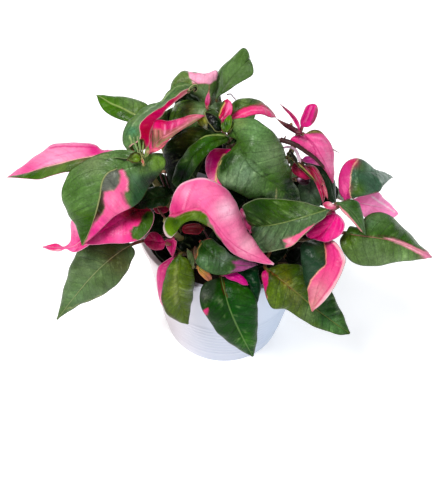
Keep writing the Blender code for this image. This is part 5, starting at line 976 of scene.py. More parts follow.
        ("line", [(192, 83.2), (208, 83.2)], (220, 120, 146), 1.0, {"wide": 0.6}),
        ("line", [(209.4, 84), (208.4, 92)], (170, 110, 90), 1.0, {"wide": 0.8, "much": 0.8})]),
    "leaf_top_tall": dict(base=[(92, 122, 70), (86, 114, 64)], mid=((76, 106, 54), 0.4), rim=((56, 82, 38), 0.3), ragged=0.4, marks=[
        ("spot", (243, 56), (82, 112, 56), 9),
        ("spot", (232, 70), (100, 130, 78), 8, {"much": 0.7}),
        ("line", [(220, 92), (232, 80), (243, 68), (249, 60)], (112, 136, 92), 1.4, {"wide": 0.6, "much": 0.6}),
        ("line", [(214, 92), (216, 82), (221, 72), (231, 61)], (50, 78, 36), 1.6, {"wide": 0.8, "much": 0.7}),
        ("spot", (220, 92), (78, 106, 60), 7)]),
    # painted shade: the leaf is painted dark green for the shade it lies in, darkest at the spot near its tip
    "leaf_shaded_left": dict(base=(26, 50, 22), mid=((44, 68, 30), 0.3), rim=((50, 74, 40), 0.3), marks=[
        ("line", [(134, 210), (150, 209.5), (167, 206.5)], (176, 30, 60), 1.8, {"wide": 1.6}),
        ("spot", (158, 192), (46, 74, 40), 6),
        ("line", [(170, 189), (172.6, 196), (170, 205)], (96, 120, 84), 1.2, {"wide": 0.7}),
        ("spot", (140, 203), (10, 22, 8), 8)]),
    "leaf_centre_pink": dict(gloss=0.1, base=(240, 108, 158), mid=((226, 80, 140), 0.5), rim=((252, 212, 224), 1.15), veins=0.55, ragged=0.3, marks=[
        ("spot", (176, 208), (214, 60, 126), 8),
        ("spot", (186, 192), (250, 156, 188), 7, {"much": 0.8}),
        ("spot", (206, 190), (248, 140, 178), 7, {"much": 0.7}),
        ("spot", (226, 210), (254, 198, 218), 11, {"much": 0.95}),
        ("spot", (247, 245), (252, 178, 200), 11, {"much": 0.9}),
        ("spot", (236, 232), (250, 150, 184), 7, {"much": 0.8}),
        ("line", [(184, 186), (179, 196), (177, 208)], (222, 72, 132), 2.6, {"wide": 1.0, "much": 0.7}),
        ("line", [(196, 182), (190, 194), (186, 206)], (220, 70, 130), 2.6, {"wide": 1.2, "much": 0.8}),
        ("line", [(211, 184), (202, 196), (197, 207)], (222, 74, 134), 2.6, {"wide": 1.0, "much": 0.8}),
        ("line", [(224, 191), (214, 200), (206, 207)], (222, 76, 136), 2.4, {"wide": 1.0, "much": 0.8}),
        ("line", [(234, 204), (226, 214), (217, 218)], (228, 90, 146), 2.2, {"wide": 0.8, "much": 0.7}),
        ("line", [(190, 190), (186, 200), (183, 209)], (253, 184, 206), 1.8, {"wide": 0.6, "much": 0.7}),
        ("line", [(206, 190), (200, 200), (196, 209)], (252, 176, 200), 1.8, {"wide": 0.6, "much": 0.6}),
        ("line", [(206, 212), (214, 224), (223, 238), (236, 252)], (224, 76, 132), 2.0, {"wide": 1.4, "much": 0.85}),
        ("line", [(222, 226), (234, 242), (250, 256)], (226, 86, 140), 2.0, {"wide": 0.8, "much": 0.7}),
        ("line", [(170, 204), (167, 212), (168, 218)], (190, 30, 96), 1.6, {"wide": 1.2, "much": 0.8}),
        ("area", [(162, 218), (168, 216.5), (175, 217.5), (180, 215), (186, 212.4), (193, 210.4), (200, 211), (205, 213), (208, 217), (208, 224), (214, 233), (223, 245), (218, 247), (206, 229), (196, 223), (186, 223), (179, 229), (175, 236), (170, 241), (164, 238), (161, 229)], (78, 106, 32), 1.0, {"half": 1}),
        ("spot", (196, 217), (98, 122, 56), 5, {"half": 1, "much": 0.8}),
        ("spot", (176, 222), (40, 66, 20), 5, {"half": 1, "much": 0.8}),
        ("line", [(176, 218.6), (186, 215), (196, 213.4)], (130, 140, 84), 1.2, {"wide": 0.7, "half": 1, "much": 0.8}),
        ("line", [(207, 219), (212, 228), (221, 240)], (130, 126, 96), 2.0, {"wide": 2.4, "half": 1}),
        ("spot", (169, 231), (96, 130, 44), 5, {"half": 1})]),
    # painted shade: half a is painted darker than half b, as it tilts away from the light
    "leaf_right_broad": dict(base=[(50, 80, 26), (82, 108, 72)], mid=((140, 158, 98), 0.5), rim=((176, 190, 146), 0.5), veins=1.6, ragged=0.3, marks=[
        ("spot", (308, 210), (92, 118, 70), 12, {"half": -1, "much": 0.8}),
        ("spot", (284, 208), (66, 98, 34), 8, {"half": -1, "much": 0.7}),
        ("spot", (258, 208), (30, 58, 16), 10, {"half": -1}),
        ("spot", (262, 220), (44, 72, 34), 7, {"half": -1, "much": 0.8}),
        ("spot", (254, 230), (36, 62, 36), 8, {"half": 1}),
        ("spot", (266, 240), (92, 118, 88), 9, {"half": 1, "much": 0.8}),
        ("spot", (286, 228), (88, 114, 76), 9, {"half": 1, "much": 0.7}),
        ("spot", (306, 220), (84, 110, 66), 8, {"half": 1, "much": 0.7}),
        ("line", [(272, 225.6), (266, 236), (264, 248)], (40, 62, 38), 1.4, {"wide": 0.7, "half": 1, "much": 0.8}),
        ("line", [(282, 223.6), (276, 234), (274, 246)], (40, 62, 38), 1.4, {"wide": 0.7, "half": 1, "much": 0.8}),
        ("line", [(292, 221), (286, 230), (284, 236)], (44, 66, 40), 1.4, {"wide": 0.7, "half": 1, "much": 0.7}),
        ("line", [(262, 227), (259, 236), (260, 246)], (112, 136, 108), 1.2, {"wide": 0.6, "half": 1, "much": 0.7}),
        ("area", [(283.4, 239.6), (290, 237.6), (296, 234.6), (302, 231), (308, 227), (314, 224), (310, 233), (301, 241), (292, 249), (285.6, 251), (285.8, 246), (288.4, 243.4), (284.2, 242)], (234, 100, 142), 0.7, {"half": 1}),
        ("spot", (290, 241), (248, 166, 178), 3.6, {"half": 1, "much": 0.9}),
        ("line", [(292, 246.6), (300, 240), (308, 232)], (206, 50, 96), 1.2, {"wide": 0.8, "half": 1, "much": 0.8}),
        ("line", [(281, 239.6), (283.6, 246), (283.4, 251)], (30, 40, 30), 1.2, {"wide": 1.2, "half": 1, "much": 0.8})]),
    "leaf_right_magenta": dict(base=(226, 36, 126), mid=((232, 90, 152), 0.25), rim=((246, 160, 196), 0.8), veins=0.9, ragged=0.1, marks=[
        ("spot", (316, 224), (206, 20, 108), 8),
        ("spot", (334, 234), (232, 60, 138), 7),
        ("line", [(338, 212), (332, 224), (322, 238)], (242, 126, 176), 1.0, {"wide": 0.4, "much": 0.7}),
        ("line", [(339, 212), (336, 226), (330, 240)], (242, 126, 176), 1.0, {"wide": 0.4, "much": 0.6}),
        ("line", [(341, 213), (341, 226), (338, 237)], (242, 130, 180), 1.0, {"wide": 0.4, "much": 0.7}),
        ("line", [(334, 213), (325, 222), (314, 232)], (196, 20, 100), 1.4, {"wide": 0.7, "much": 0.7}),
        ("line", [(342, 212), (346, 222), (346, 230)], (196, 20, 100), 1.4, {"wide": 0.7, "much": 0.7})]),
    "leaf_right_small": dict(base=(70, 102, 56), mid=((104, 130, 84), 0.5), rim=((64, 80, 50), 0.25), ragged=0.12, marks=[
        ("area", [(333, 203), (340, 206.4), (348, 214), (355, 222.6), (361, 230), (364.6, 236), (360, 237), (350, 230), (341, 220), (334, 210)], (240, 150, 162), 0.7),
        ("line", [(346, 215), (353, 223.4), (360, 231.6)], (252, 214, 210), 0.9, {"wide": 0.8}),
        ("spot", (355, 206), (58, 90, 42), 6),
        ("line", [(340, 204), (350, 212), (359, 224)], (110, 132, 92), 1.2, {"wide": 0.5, "much": 0.7})]),
    "leaf_right_hanging": dict(base=(230, 74, 134), mid=((236, 110, 150), 0.2), rim=((48, 74, 52), 0.2), veins=0.4, ragged=0.2, marks=[
        ("spot", (335, 252), (232, 74, 142), 8),
        ("spot", (331, 276), (224, 94, 140), 8, {"much": 0.8}),
        ("spot", (318, 292), (220, 138, 152), 12),
        ("spot", (315, 305), (216, 152, 146), 7, {"much": 0.8}),
        ("line", [(333, 246), (335, 258), (332, 270)], (206, 34, 108), 1.6, {"wide": 0.8, "much": 0.8}),
        ("line", [(329, 274), (324, 284), (317, 296)], (226, 100, 138), 1.6, {"wide": 0.8, "much": 0.7}),
        ("area", [(300, 236), (323, 238), (325, 246), (326.2, 256), (326.4, 264), (318, 271.2), (311, 279.6), (307.6, 289), (308.2, 299), (300, 300), (292, 260)], (36, 62, 42), 0.7),
        ("area", [(314, 238), (324, 240), (325, 252), (320, 262), (315, 258)], (52, 76, 40), 4.0, {"much": 0.6}),
        ("line", [(323.4, 239), (325.2, 250), (326.4, 264), (318, 271.6), (311.4, 280.2), (307.8, 290), (308.6, 300), (312, 311)], (240, 176, 146), 0.8, {"wide": 0.9}),
        ("line", [(333, 240), (341, 250), (345.4, 261), (342.4, 272), (335.6, 285), (327.6, 296), (317, 310)], (250, 176, 188), 1.0, {"wide": 4.8}),
        ("line", [(336, 240), (343.4, 250), (346.8, 260.6), (343.8, 272), (336.8, 285.6), (328.6, 297), (318, 310)], (255, 240, 236), 0.8, {"wide": 2.8}),
        # painted shade: a darker line inside the fold
        ("line", [(330, 243), (337, 251), (341.2, 261), (338.2, 271.6), (331.4, 284), (323.6, 295), (315, 306)], (196, 50, 104), 1.2, {"wide": 0.7, "much": 0.85})]),
    "leaf_right_low": dict(gloss=0.2, base=[(66, 88, 28), (74, 94, 30)], mid=((132, 130, 74), 0.6), rim=((70, 86, 34), 0.3), veins=1.7, ragged=0.5, marks=[
        # painted shade near the base, under the stalk
        ("spot", (272, 275), (48, 52, 8), 5),
        ("spot", (281, 286), (66, 88, 10), 6),
        ("spot", (310, 316), (60, 86, 50), 7),
        ("area", [(302, 300), (316, 290), (330, 286), (342, 312), (352, 336), (330, 334), (312, 318)], (44, 80, 36), 7),
        ("spot", (284, 272), (86, 94, 28), 9),
        ("spot", (297, 272), (54, 78, 26), 7),
        ("spot", (276, 297), (92, 116, 40), 8),
        ("spot", (287, 283), (124, 116, 52), 5),
        ("spot", (285, 296), (56, 76, 22), 6),
        ("spot", (296, 298), (104, 114, 66), 6, {"much": 0.8}),
        ("spot", (308, 313), (112, 134, 84), 8, {"much": 0.7}),
        ("spot", (326, 322), (62, 104, 54), 7, {"much": 0.7}),
        ("spot", (337, 326), (100, 142, 82), 8, {"much": 0.85}),
        ("spot", (290, 291), (124, 140, 72), 5, {"much": 0.85}),
        ("line", [(280, 279), (279, 290), (283, 302)], (52, 70, 22), 1.6, {"wide": 0.8, "much": 0.8}),
        ("line", [(290, 286), (290, 296), (296, 306)], (52, 70, 24), 1.6, {"wide": 0.8, "much": 0.8}),
        ("line", [(276, 276), (284, 268), (294, 265)], (56, 74, 24), 1.6, {"wide": 0.8, "much": 0.8}),
        ("line", [(288, 284), (298, 278), (306, 278)], (50, 70, 24), 1.6, {"wide": 0.8, "much": 0.7}),
        ("line", [(267, 270), (280, 279), (294, 291)], (118, 54, 36), 1.6, {"wide": 0.9}),
        ("area", [(256, 269), (266.4, 270.5), (269, 276), (267.4, 284), (265.4, 292), (267.6, 300), (260, 300), (256, 286)], (192, 22, 106), 0.8)]),
    "leaf_right_outer": dict(base=[(62, 98, 40), (82, 108, 56)], mid=((196, 120, 120), 0.3), rim=((66, 90, 44), 0.3), veins=1.2, ragged=0.12, marks=[
        # painted sheen: this paler spot and the one at (369, 223)
        ("spot", (378, 219), (94, 122, 78), 8, {"half": -1}),
        ("spot", (396, 232), (50, 82, 30), 9, {"half": -1}),
        ("spot", (366, 231), (80, 112, 54), 7, {"half": -1}),
        ("spot", (369, 223), (98, 132, 90), 6, {"half": -1, "much": 0.9}),
        ("spot", (385, 226), (86, 116, 64), 6, {"half": -1, "much": 0.7}),
        ("spot", (350, 240), (74, 104, 28), 7),
        ("spot", (370, 250), (98, 124, 76), 12, {"half": 1, "much": 0.8}),
        ("spot", (382, 258), (108, 132, 84), 8, {"half": 1, "much": 0.7}),
        ("spot", (404, 254), (118, 150, 92), 9, {"half": 1}),
        ("line", [(371, 219), (380, 222), (390, 222.6)], (46, 74, 30), 1.4, {"wide": 0.8, "half": -1, "much": 0.7}),
        ("line", [(354, 235.4), (368, 236), (380, 236.4)], (110, 78, 58), 1.2, {"wide": 0.9, "much": 0.8}),
        ("line", [(378, 235.4), (390, 236.6), (402, 240.6), (414, 247)], (70, 54, 38), 1.4, {"wide": 1.2, "half": -1}),
        ("area", [(383, 237.2), (392, 238.6), (401, 241.2), (411, 245.4), (421, 250.2), (430, 254.6), (435, 257), (435, 259), (426, 257.2), (416, 252.8), (407, 248), (398, 243.8), (390, 240.4)], (240, 150, 168), 0.9),
        ("line", [(388, 239), (400, 243), (412, 249), (424, 255)], (252, 206, 214), 0.9, {"wide": 0.7, "much": 0.8}),
        ("spot", (427, 255.6), (238, 142, 176), 5)]),
    "leaf_right_upper": dict(base=(62, 94, 72), mid=((70, 98, 66), 0.3), rim=((50, 76, 46), 0.3), ragged=0.3, marks=[
        # painted highlight on the crest
        ("spot", (371, 168), (110, 138, 118), 7),
        ("spot", (362, 168), (70, 100, 56), 5, {"much": 0.8}),
        ("spot", (358, 190), (72, 102, 40), 8),
        ("spot", (372, 184), (70, 98, 78), 6, {"much": 0.8}),
        # painted sheen: the pale blue-grey pointed right part
        ("area", [(377, 168), (386, 170), (396, 177), (388, 184), (380, 182)], (136, 152, 142), 2.0),
        ("line", [(371, 163), (372, 173), (376, 183)], (36, 60, 40), 1.2, {"wide": 0.8, "much": 0.8}),
        ("line", [(374, 165), (377, 174), (382, 183)], (168, 184, 168), 1.2, {"wide": 0.9, "much": 0.8}),
        ("line", [(384, 169), (390, 173), (393, 177)], (44, 62, 48), 1.0, {"wide": 0.9, "much": 0.8}),
        ("line", [(360, 165), (358, 176), (360, 188)], (40, 66, 36), 1.4, {"wide": 0.7, "much": 0.7}),
        ("area", [(360, 155), (353, 163), (350.6, 172), (349.6, 184), (350.6, 200), (343, 201), (337, 190), (335, 178), (340, 166), (348, 158)], (206, 62, 130), 0.8),
        ("spot", (353, 162), (206, 16, 92), 5),
        ("spot", (345, 188), (232, 96, 156), 5),
        ("line", [(342, 168), (340, 180), (343, 192)], (190, 40, 112), 1.4, {"wide": 0.8, "much": 0.8}),
        ("line", [(359.5, 158), (353, 166), (350.6, 176), (350, 188), (351, 199)], (240, 186, 158), 0.8, {"wide": 0.7}),
        ("line", [(352, 199), (364, 196.6), (379, 192)], (190, 64, 90), 1.0, {"wide": 0.8})]),
    # painted glow (glow) on this pale leaf in the shade of the one above
    "leaf_right_pale": dict(glow=0.2, veins=0.5, base=(255, 150, 200), mid=((250, 190, 214), 0.3), rim=((252, 206, 222), 0.5), ragged=0.2, marks=[
        ("spot", (358, 203), (244, 90, 160), 7),
        ("spot", (366, 199), (248, 130, 184), 7),
        ("line", [(372, 197), (384, 205), (394, 212)], (254, 214, 230), 1.8, {"wide": 1.4}),
        ("line", [(364, 203), (376, 210), (386, 215)], (240, 120, 172), 1.8, {"wide": 0.8})]),
    "leaf_pink_drooping": dict(base=(234, 92, 152), mid=((214, 60, 128), 0.3), rim=((246, 150, 190), 0.35), ragged=0.3, marks=[
        ("area", [(301.6, 133.6), (304, 130.4), (309, 129.6), (316, 129.6), (322, 131.6), (326, 135), (320, 133.4), (312, 133), (306, 134.6)], (136, 130, 60), 0.8),
        ("line", [(304, 133.6), (309, 131.6), (316, 131.8)], (206, 196, 110), 1.0, {"wide": 0.8}),
        ("spot", (329, 163), (246, 138, 182), 11),
        ("spot", (322, 145), (240, 110, 164), 7),
        ("spot", (294, 138), (204, 36, 112), 8),
        ("line", [(305.8, 137), (313, 145.5), (316.7, 156), (317, 164)], (190, 34, 108), 1.6, {"wide": 1.1}),
        ("line", [(312, 137.6), (321, 138.6), (328, 144)], (248, 154, 192), 1.6, {"wide": 1.0}),
        ("line", [(314, 143), (322, 147), (329, 156)], (246, 142, 186), 1.8, {"wide": 0.9}),
        ("line", [(326, 140), (330, 150), (332, 162)], (214, 60, 128), 1.6, {"wide": 0.7, "much": 0.7}),
        ("line", [(320, 152), (324, 162), (328, 176)], (222, 80, 142), 1.8, {"wide": 0.8, "much": 0.7}),
        ("line", [(300, 139), (307, 141), (312, 146)], (248, 140, 180), 1.6, {"wide": 1.0, "much": 0.8})]),
    "leaf_pink_upright": dict(base=(214, 50, 128), mid=((236, 100, 158), 0.4), rim=((196, 40, 104), 0.3), ragged=0.2, marks=[
        ("area", [(313, 126), (316.6, 120), (318.4, 112), (319, 106), (315.4, 108), (313.6, 116), (311, 122)], (120, 60, 72), 1.0, {"much": 0.8}),
        ("line", [(306, 122), (309, 114), (312, 106.6)], (242, 116, 170), 1.4, {"wide": 1.2}),
        ("line", [(308.6, 120), (311, 113), (313.6, 107)], (190, 30, 104), 1.2, {"wide": 0.8, "much": 0.8}),
        ("line", [(303.4, 120), (306, 112), (309.6, 106)], (186, 26, 104), 1.2, {"wide": 0.9})]),
    "leaf_red_narrow": dict(base=(168, 20, 62), mid=((206, 60, 100), 0.3), rim=((232, 84, 132), 0.5), ragged=0.2, marks=[
        ("spot", (319, 190), (216, 40, 98), 7), ("spot", (306, 169), (96, 8, 30), 6),
        ("line", [(309, 170), (315, 180), (319, 194)], (70, 10, 26), 1.2, {"wide": 0.8, "much": 0.8}),
        ("line", [(312, 167), (319, 178), (323, 192)], (230, 90, 140), 1.0, {"wide": 0.7, "much": 0.8})]),
    "leaf_dark_narrow": dict(gloss=0.14, base=(38, 60, 40), mid=((60, 84, 54), 0.3), rim=((84, 104, 76), 0.3), marks=[("spot", (325, 176), (54, 80, 56), 6)]),
    "leaf_right_greyish": dict(base=(76, 98, 76), mid=((84, 106, 84), 0.3), rim=((90, 108, 88), 0.25), marks=[
        ("spot", (301, 196), (60, 88, 56), 7), ("spot", (313, 191), (104, 124, 104), 6), ("spot", (318, 202), (50, 76, 44), 5),
        ("line", [(306, 186), (314, 194), (321, 204)], (44, 66, 44), 1.4, {"wide": 0.7, "much": 0.7})]),
    "leaf_front_upper": dict(base=(54, 86, 42), mid=((70, 98, 54), 0.4), rim=((60, 86, 46), 0.3), veins=1.4, ragged=0.3, marks=[
        ("spot", (205, 261), (86, 116, 80), 6),
        # painted glints: this spot and the next
        ("spot", (222, 259), (110, 134, 112), 5),
        ("spot", (229, 256), (96, 120, 96), 4),
        ("spot", (213, 251), (36, 72, 24), 5),
        ("spot", (215, 267), (58, 88, 50), 5),
        ("spot", (204, 250), (28, 62, 14), 5),
        ("line", [(208, 266), (212, 259), (213, 250)], (34, 58, 28), 1.2, {"wide": 0.8, "much": 0.8}),
        ("line", [(218, 268), (220, 260), (219, 252)], (28, 54, 26), 1.2, {"wide": 0.8, "much": 0.8}),
        # painted glints: these three pale lines
        ("line", [(214, 262), (216, 256), (215.4, 250)], (120, 142, 122), 1.8, {"wide": 0.8, "much": 0.6}),
        ("line", [(221, 266), (224.6, 260), (226, 254)], (150, 170, 154), 1.9, {"wide": 0.9, "much": 0.65}),
        ("line", [(226, 263), (230, 258), (231, 253)], (110, 134, 112), 1.8, {"wide": 0.8, "much": 0.55}),
        ("line", [(196, 258), (195.8, 251), (197.4, 244.6), (201.4, 240.4), (211, 238.2)], (202, 62, 66), 1.0, {"wide": 1.4}),
        ("line", [(197.6, 256), (198, 249), (201.4, 244)], (206, 150, 100), 0.9, {"wide": 0.6, "much": 0.8}),
        ("area", [(232, 262), (239, 260), (262, 263), (256, 268), (244, 271.4), (231, 272), (236, 267)], (160, 76, 130), 1.6)]),
    "leaf_front_sliver": dict(base=(192, 34, 124), mid=((206, 60, 140), 0.3), rim=((220, 90, 150), 0.3)),
    # painted shade: the leaf is painted near-black green for the shade it lies in
    "leaf_front_shaded": dict(gloss=0.12, base=(22, 52, 30), mid=((34, 66, 40), 0.3), rim=((50, 80, 50), 0.3)),
    "leaf_front_low": dict(gloss=0.13, base=[(30, 64, 12), (28, 70, 14)], mid=((110, 142, 84), 0.8), rim=((44, 66, 30), 0.3), veins=1.3, ragged=0.3, marks=[
        ("area", [(200, 288), (204, 282), (211, 278), (217, 279), (216, 290), (211, 299), (205, 304), (201, 304)], (44, 56, 42), 3.0, {"half": -1, "much": 0.9}),
        ("spot", (203, 296), (72, 74, 68), 3.5, {"half": -1, "much": 0.7}),
        ("line", [(219.6, 275), (221.6, 284), (224.4, 294)], (86, 38, 24), 1.6, {"wide": 1.4}),
        ("line", [(222.4, 277), (224, 286), (227, 297)], (120, 60, 40), 1.2, {"wide": 0.6, "much": 0.8}),
        ("area", [(203.4, 311), (206, 308.4), (208, 308), (208.6, 311.4), (207.6, 314.6), (205.4, 316)], (232, 50, 128), 0.6),
        ("spot", (243, 296), (42, 82, 28), 8, {"half": 1}),
        ("spot", (236, 286), (44, 78, 32), 6, {"half": 1, "much": 0.7}),
        ("spot", (214, 317), (28, 56, 18), 9, {"half": -1}),
        ("spot", (236, 330), (34, 66, 24), 8, {"half": -1, "much": 0.7}),
        ("spot", (247, 340), (50, 98, 30), 8)]),
    "leaf_front_olive": dict(gloss=0.18, base=(78, 98, 20), mid=((104, 122, 50), 0.35), rim=((64, 78, 28), 0.3), veins=1.3, ragged=0.3, marks=[
        # painted highlight: the pale stripe down the left and the paler spot on it
        ("line", [(177, 264), (174.6, 282), (176, 302)], (140, 150, 88), 5, {"wide": 3.0, "much": 0.85}),
        ("spot", (175, 290), (120, 134, 60), 7, {"much": 0.7}),
        ("line", [(194, 262), (195.6, 282), (191, 306), (188, 320)], (62, 80, 22), 5, {"wide": 3.0}),
        ("spot", (176, 259), (60, 88, 24), 6),
        ("spot", (181, 314), (84, 104, 26), 8, {"much": 0.8}),
        ("line", [(162.6, 290), (162.6, 302), (168, 312), (178, 321)], (66, 54, 22), 1.8, {"wide": 1.2}),
        ("line", [(185, 264), (186, 284), (184, 306)], (66, 86, 24), 2.2, {"wide": 0.8, "much": 0.7}),
        ("line", [(168, 270), (167, 288), (171, 304)], (70, 88, 28), 2.0, {"wide": 0.8, "much": 0.7})]),
    "leaf_front_pink": dict(base=(216, 76, 138), mid=((232, 110, 160), 0.3), rim=((240, 150, 180), 0.5), ragged=0.3, marks=[
        ("spot", (160, 302), (246, 166, 194), 9), ("spot", (164, 262), (190, 30, 100), 6), ("spot", (162, 274), (200, 60, 120), 5, {"much": 0.8}),
        ("line", [(168, 256), (161, 270), (159, 288), (160, 304)], (172, 30, 90), 1.4, {"wide": 0.8, "much": 0.7})]),
    "leaf_shaded_magenta": dict(base=(160, 14, 76), mid=((190, 40, 100), 0.3), rim=((206, 70, 120), 0.3), marks=[("spot", (162, 240), (204, 24, 104), 5)]),
}

# The far side of the plant is not seen from the front. There the marks are placed in the leaf's own
# plane instead: u is mm along the leaf from its base, v is mm across it, below 0 on half a.
BACK_PAINT = {
    "leaf_back_middle": dict(base=(84, 114, 60), mid=((170, 182, 128), 0.5), rim=((140, 156, 104), 0.3), marks=[
        ("area", [(14, 4), (26, 6), (38, 5), (46, 2), (44, 9), (32, 16), (16, 16)], PINK, 1.2)]),
    "leaf_back_left": dict(base=(78, 108, 54), mid=((168, 178, 124), 0.5), rim=((140, 154, 104), 0.3), marks=[
        ("area", [(4, -16), (16, -8), (24, -10), (30, -16)], HOT, 1.2)]),
    "leaf_back_right": dict(base=(88, 112, 58), mid=((170, 182, 128), 0.5), rim=((138, 154, 104), 0.3), veins=1.1),
    "leaf_back_pink": dict(base=[PINK, (84, 110, 58)], mid=((244, 176, 190), 0.45), rim=((250, 186, 206), 0.5), veins=0.7, marks=[
        ("spot", (12, -6), HOT, 10, {"half": -1}), ("area", [(28, 0), (40, 0), (44, 6), (34, 10), (26, 6)], PINK, 1.5)]),
    "leaf_back_low_left": dict(base=(70, 98, 46), mid=((150, 164, 108), 0.5), rim=((120, 138, 88), 0.3)),
    "leaf_back_upper_left": dict(base=(80, 112, 58), mid=((160, 176, 118), 0.5), rim=((132, 150, 96), 0.3), marks=[
        ("area", [(22, 1), (34, 3), (42, 1), (38, 10), (28, 14), (22, 8)], (236, 100, 154), 1.2)]),
    "leaf_back_low_right": dict(base=(66, 96, 44), mid=((150, 164, 108), 0.5), rim=((120, 138, 88), 0.3)),
    "leaf_back_side_right": dict(base=(82, 108, 56), mid=((160, 172, 118), 0.5), rim=((236, 150, 170), 0.5), marks=[
        ("area", [(8, 12), (14, 5), (24, 4), (34, 3), (34, 12), (20, 14)], MAGENTA, 1.2)]),
}

# ---------------------------------------------------------------------------
# Materials
# ---------------------------------------------------------------------------
class Finish:
    """A material of nodes, with short ways to add them."""

    def __init__(self, name, **constants):
        self.mat = bpy.data.materials.new(name)
        self.mat.use_nodes = True
        self.tree = self.mat.node_tree
        self.shader = self.tree.nodes["Principled BSDF"]
        for key, value in constants.items():
            self.shader.inputs[key.replace("_", " ")].default_value = value
        self.place = self.tree.nodes.new("ShaderNodeTexCoord").outputs["Object"]

    def feed(self, node, key, value):
        if value is None:
            return
        if hasattr(value, "is_output"):
            self.tree.links.new(value, node.inputs[key])
        else:
            node.inputs[key].default_value = value

    def calc(self, op, a, b=None, c=None, clamp=False):
        n = self.tree.nodes.new("ShaderNodeMath")
        n.operation, n.use_clamp = op, clamp
        self.feed(n, 0, a), self.feed(n, 1, b), self.feed(n, 2, c)
        return n.outputs[0]

    def step(self, value, low, high, out_low=0.0, out_high=1.0):
        """A soft step as value goes from low to high."""
        n = self.tree.nodes.new("ShaderNodeMapRange")
        n.interpolation_type = "SMOOTHSTEP"
        for key, v in (("Value", value), ("From Min", low), ("From Max", high), ("To Min", out_low), ("To Max", out_high)):
            self.feed(n, key, v)
        return n.outputs["Result"]

    def mix(self, how, factor, a, b):
        n = self.tree.nodes.new("ShaderNodeMix")
        n.data_type, n.blend_type = "RGBA", how
        self.feed(n, 0, factor)
        self.feed(n, 6, a if hasattr(a, "is_output") else (*a, 1.0))
        self.feed(n, 7, b if hasattr(b, "is_output") else (*b, 1.0))
        return n.outputs[2]

    def noise(self, size_mm, detail=2.0, rough=0.5, warp=0.0, at=None):
        n = self.tree.nodes.new("ShaderNodeTexNoise")
        self.feed(n, "Vector", at or self.place)
        for key, v in (("Scale", 1000.0 / size_mm), ("Detail", detail), ("Roughness", rough), ("Distortion", warp)):
            self.feed(n, key, v)
        return n.outputs["Fac"]

    def cells(self, size_mm, edge=False):
        n = self.tree.nodes.new("ShaderNodeTexVoronoi")
        n.feature = "DISTANCE_TO_EDGE" if edge else "F1"
        self.feed(n, "Vector", self.place)
        self.feed(n, "Scale", 1000.0 / size_mm)
        return n.outputs["Distance"]

    def grey(self, value):
        """A number as a colour, to multiply with."""
        n = self.tree.nodes.new("ShaderNodeCombineColor")
        for k in range(3):
            self.feed(n, k, value)
        return n.outputs[0]

    def attribute(self, name, what="Vector"):
        n = self.tree.nodes.new("ShaderNodeAttribute")
        n.attribute_name = name
        return n.outputs[what]

    def parts(self, vector):
        n = self.tree.nodes.new("ShaderNodeSeparateXYZ")
        self.feed(n, 0, vector)
        return n.outputs[0], n.outputs[1], n.outputs[2]

    def bump(self, height, strength, distance_mm):
        n = self.tree.nodes.new("ShaderNodeBump")
        self.feed(n, "Height", height), self.feed(n, "Strength", strength), self.feed(n, "Distance", distance_mm / 1000.0)
        self.feed(self.shader, "Normal", n.outputs[0])

    def end(self, colour, rough):
        self.feed(self.shader, "Base Color", colour if hasattr(colour, "is_output") else (*colour, 1.0))
        self.feed(self.shader, "Roughness", rough)
        return self.mat


VEIN_GAP = 5.0       # mm between the side veins of a leaf


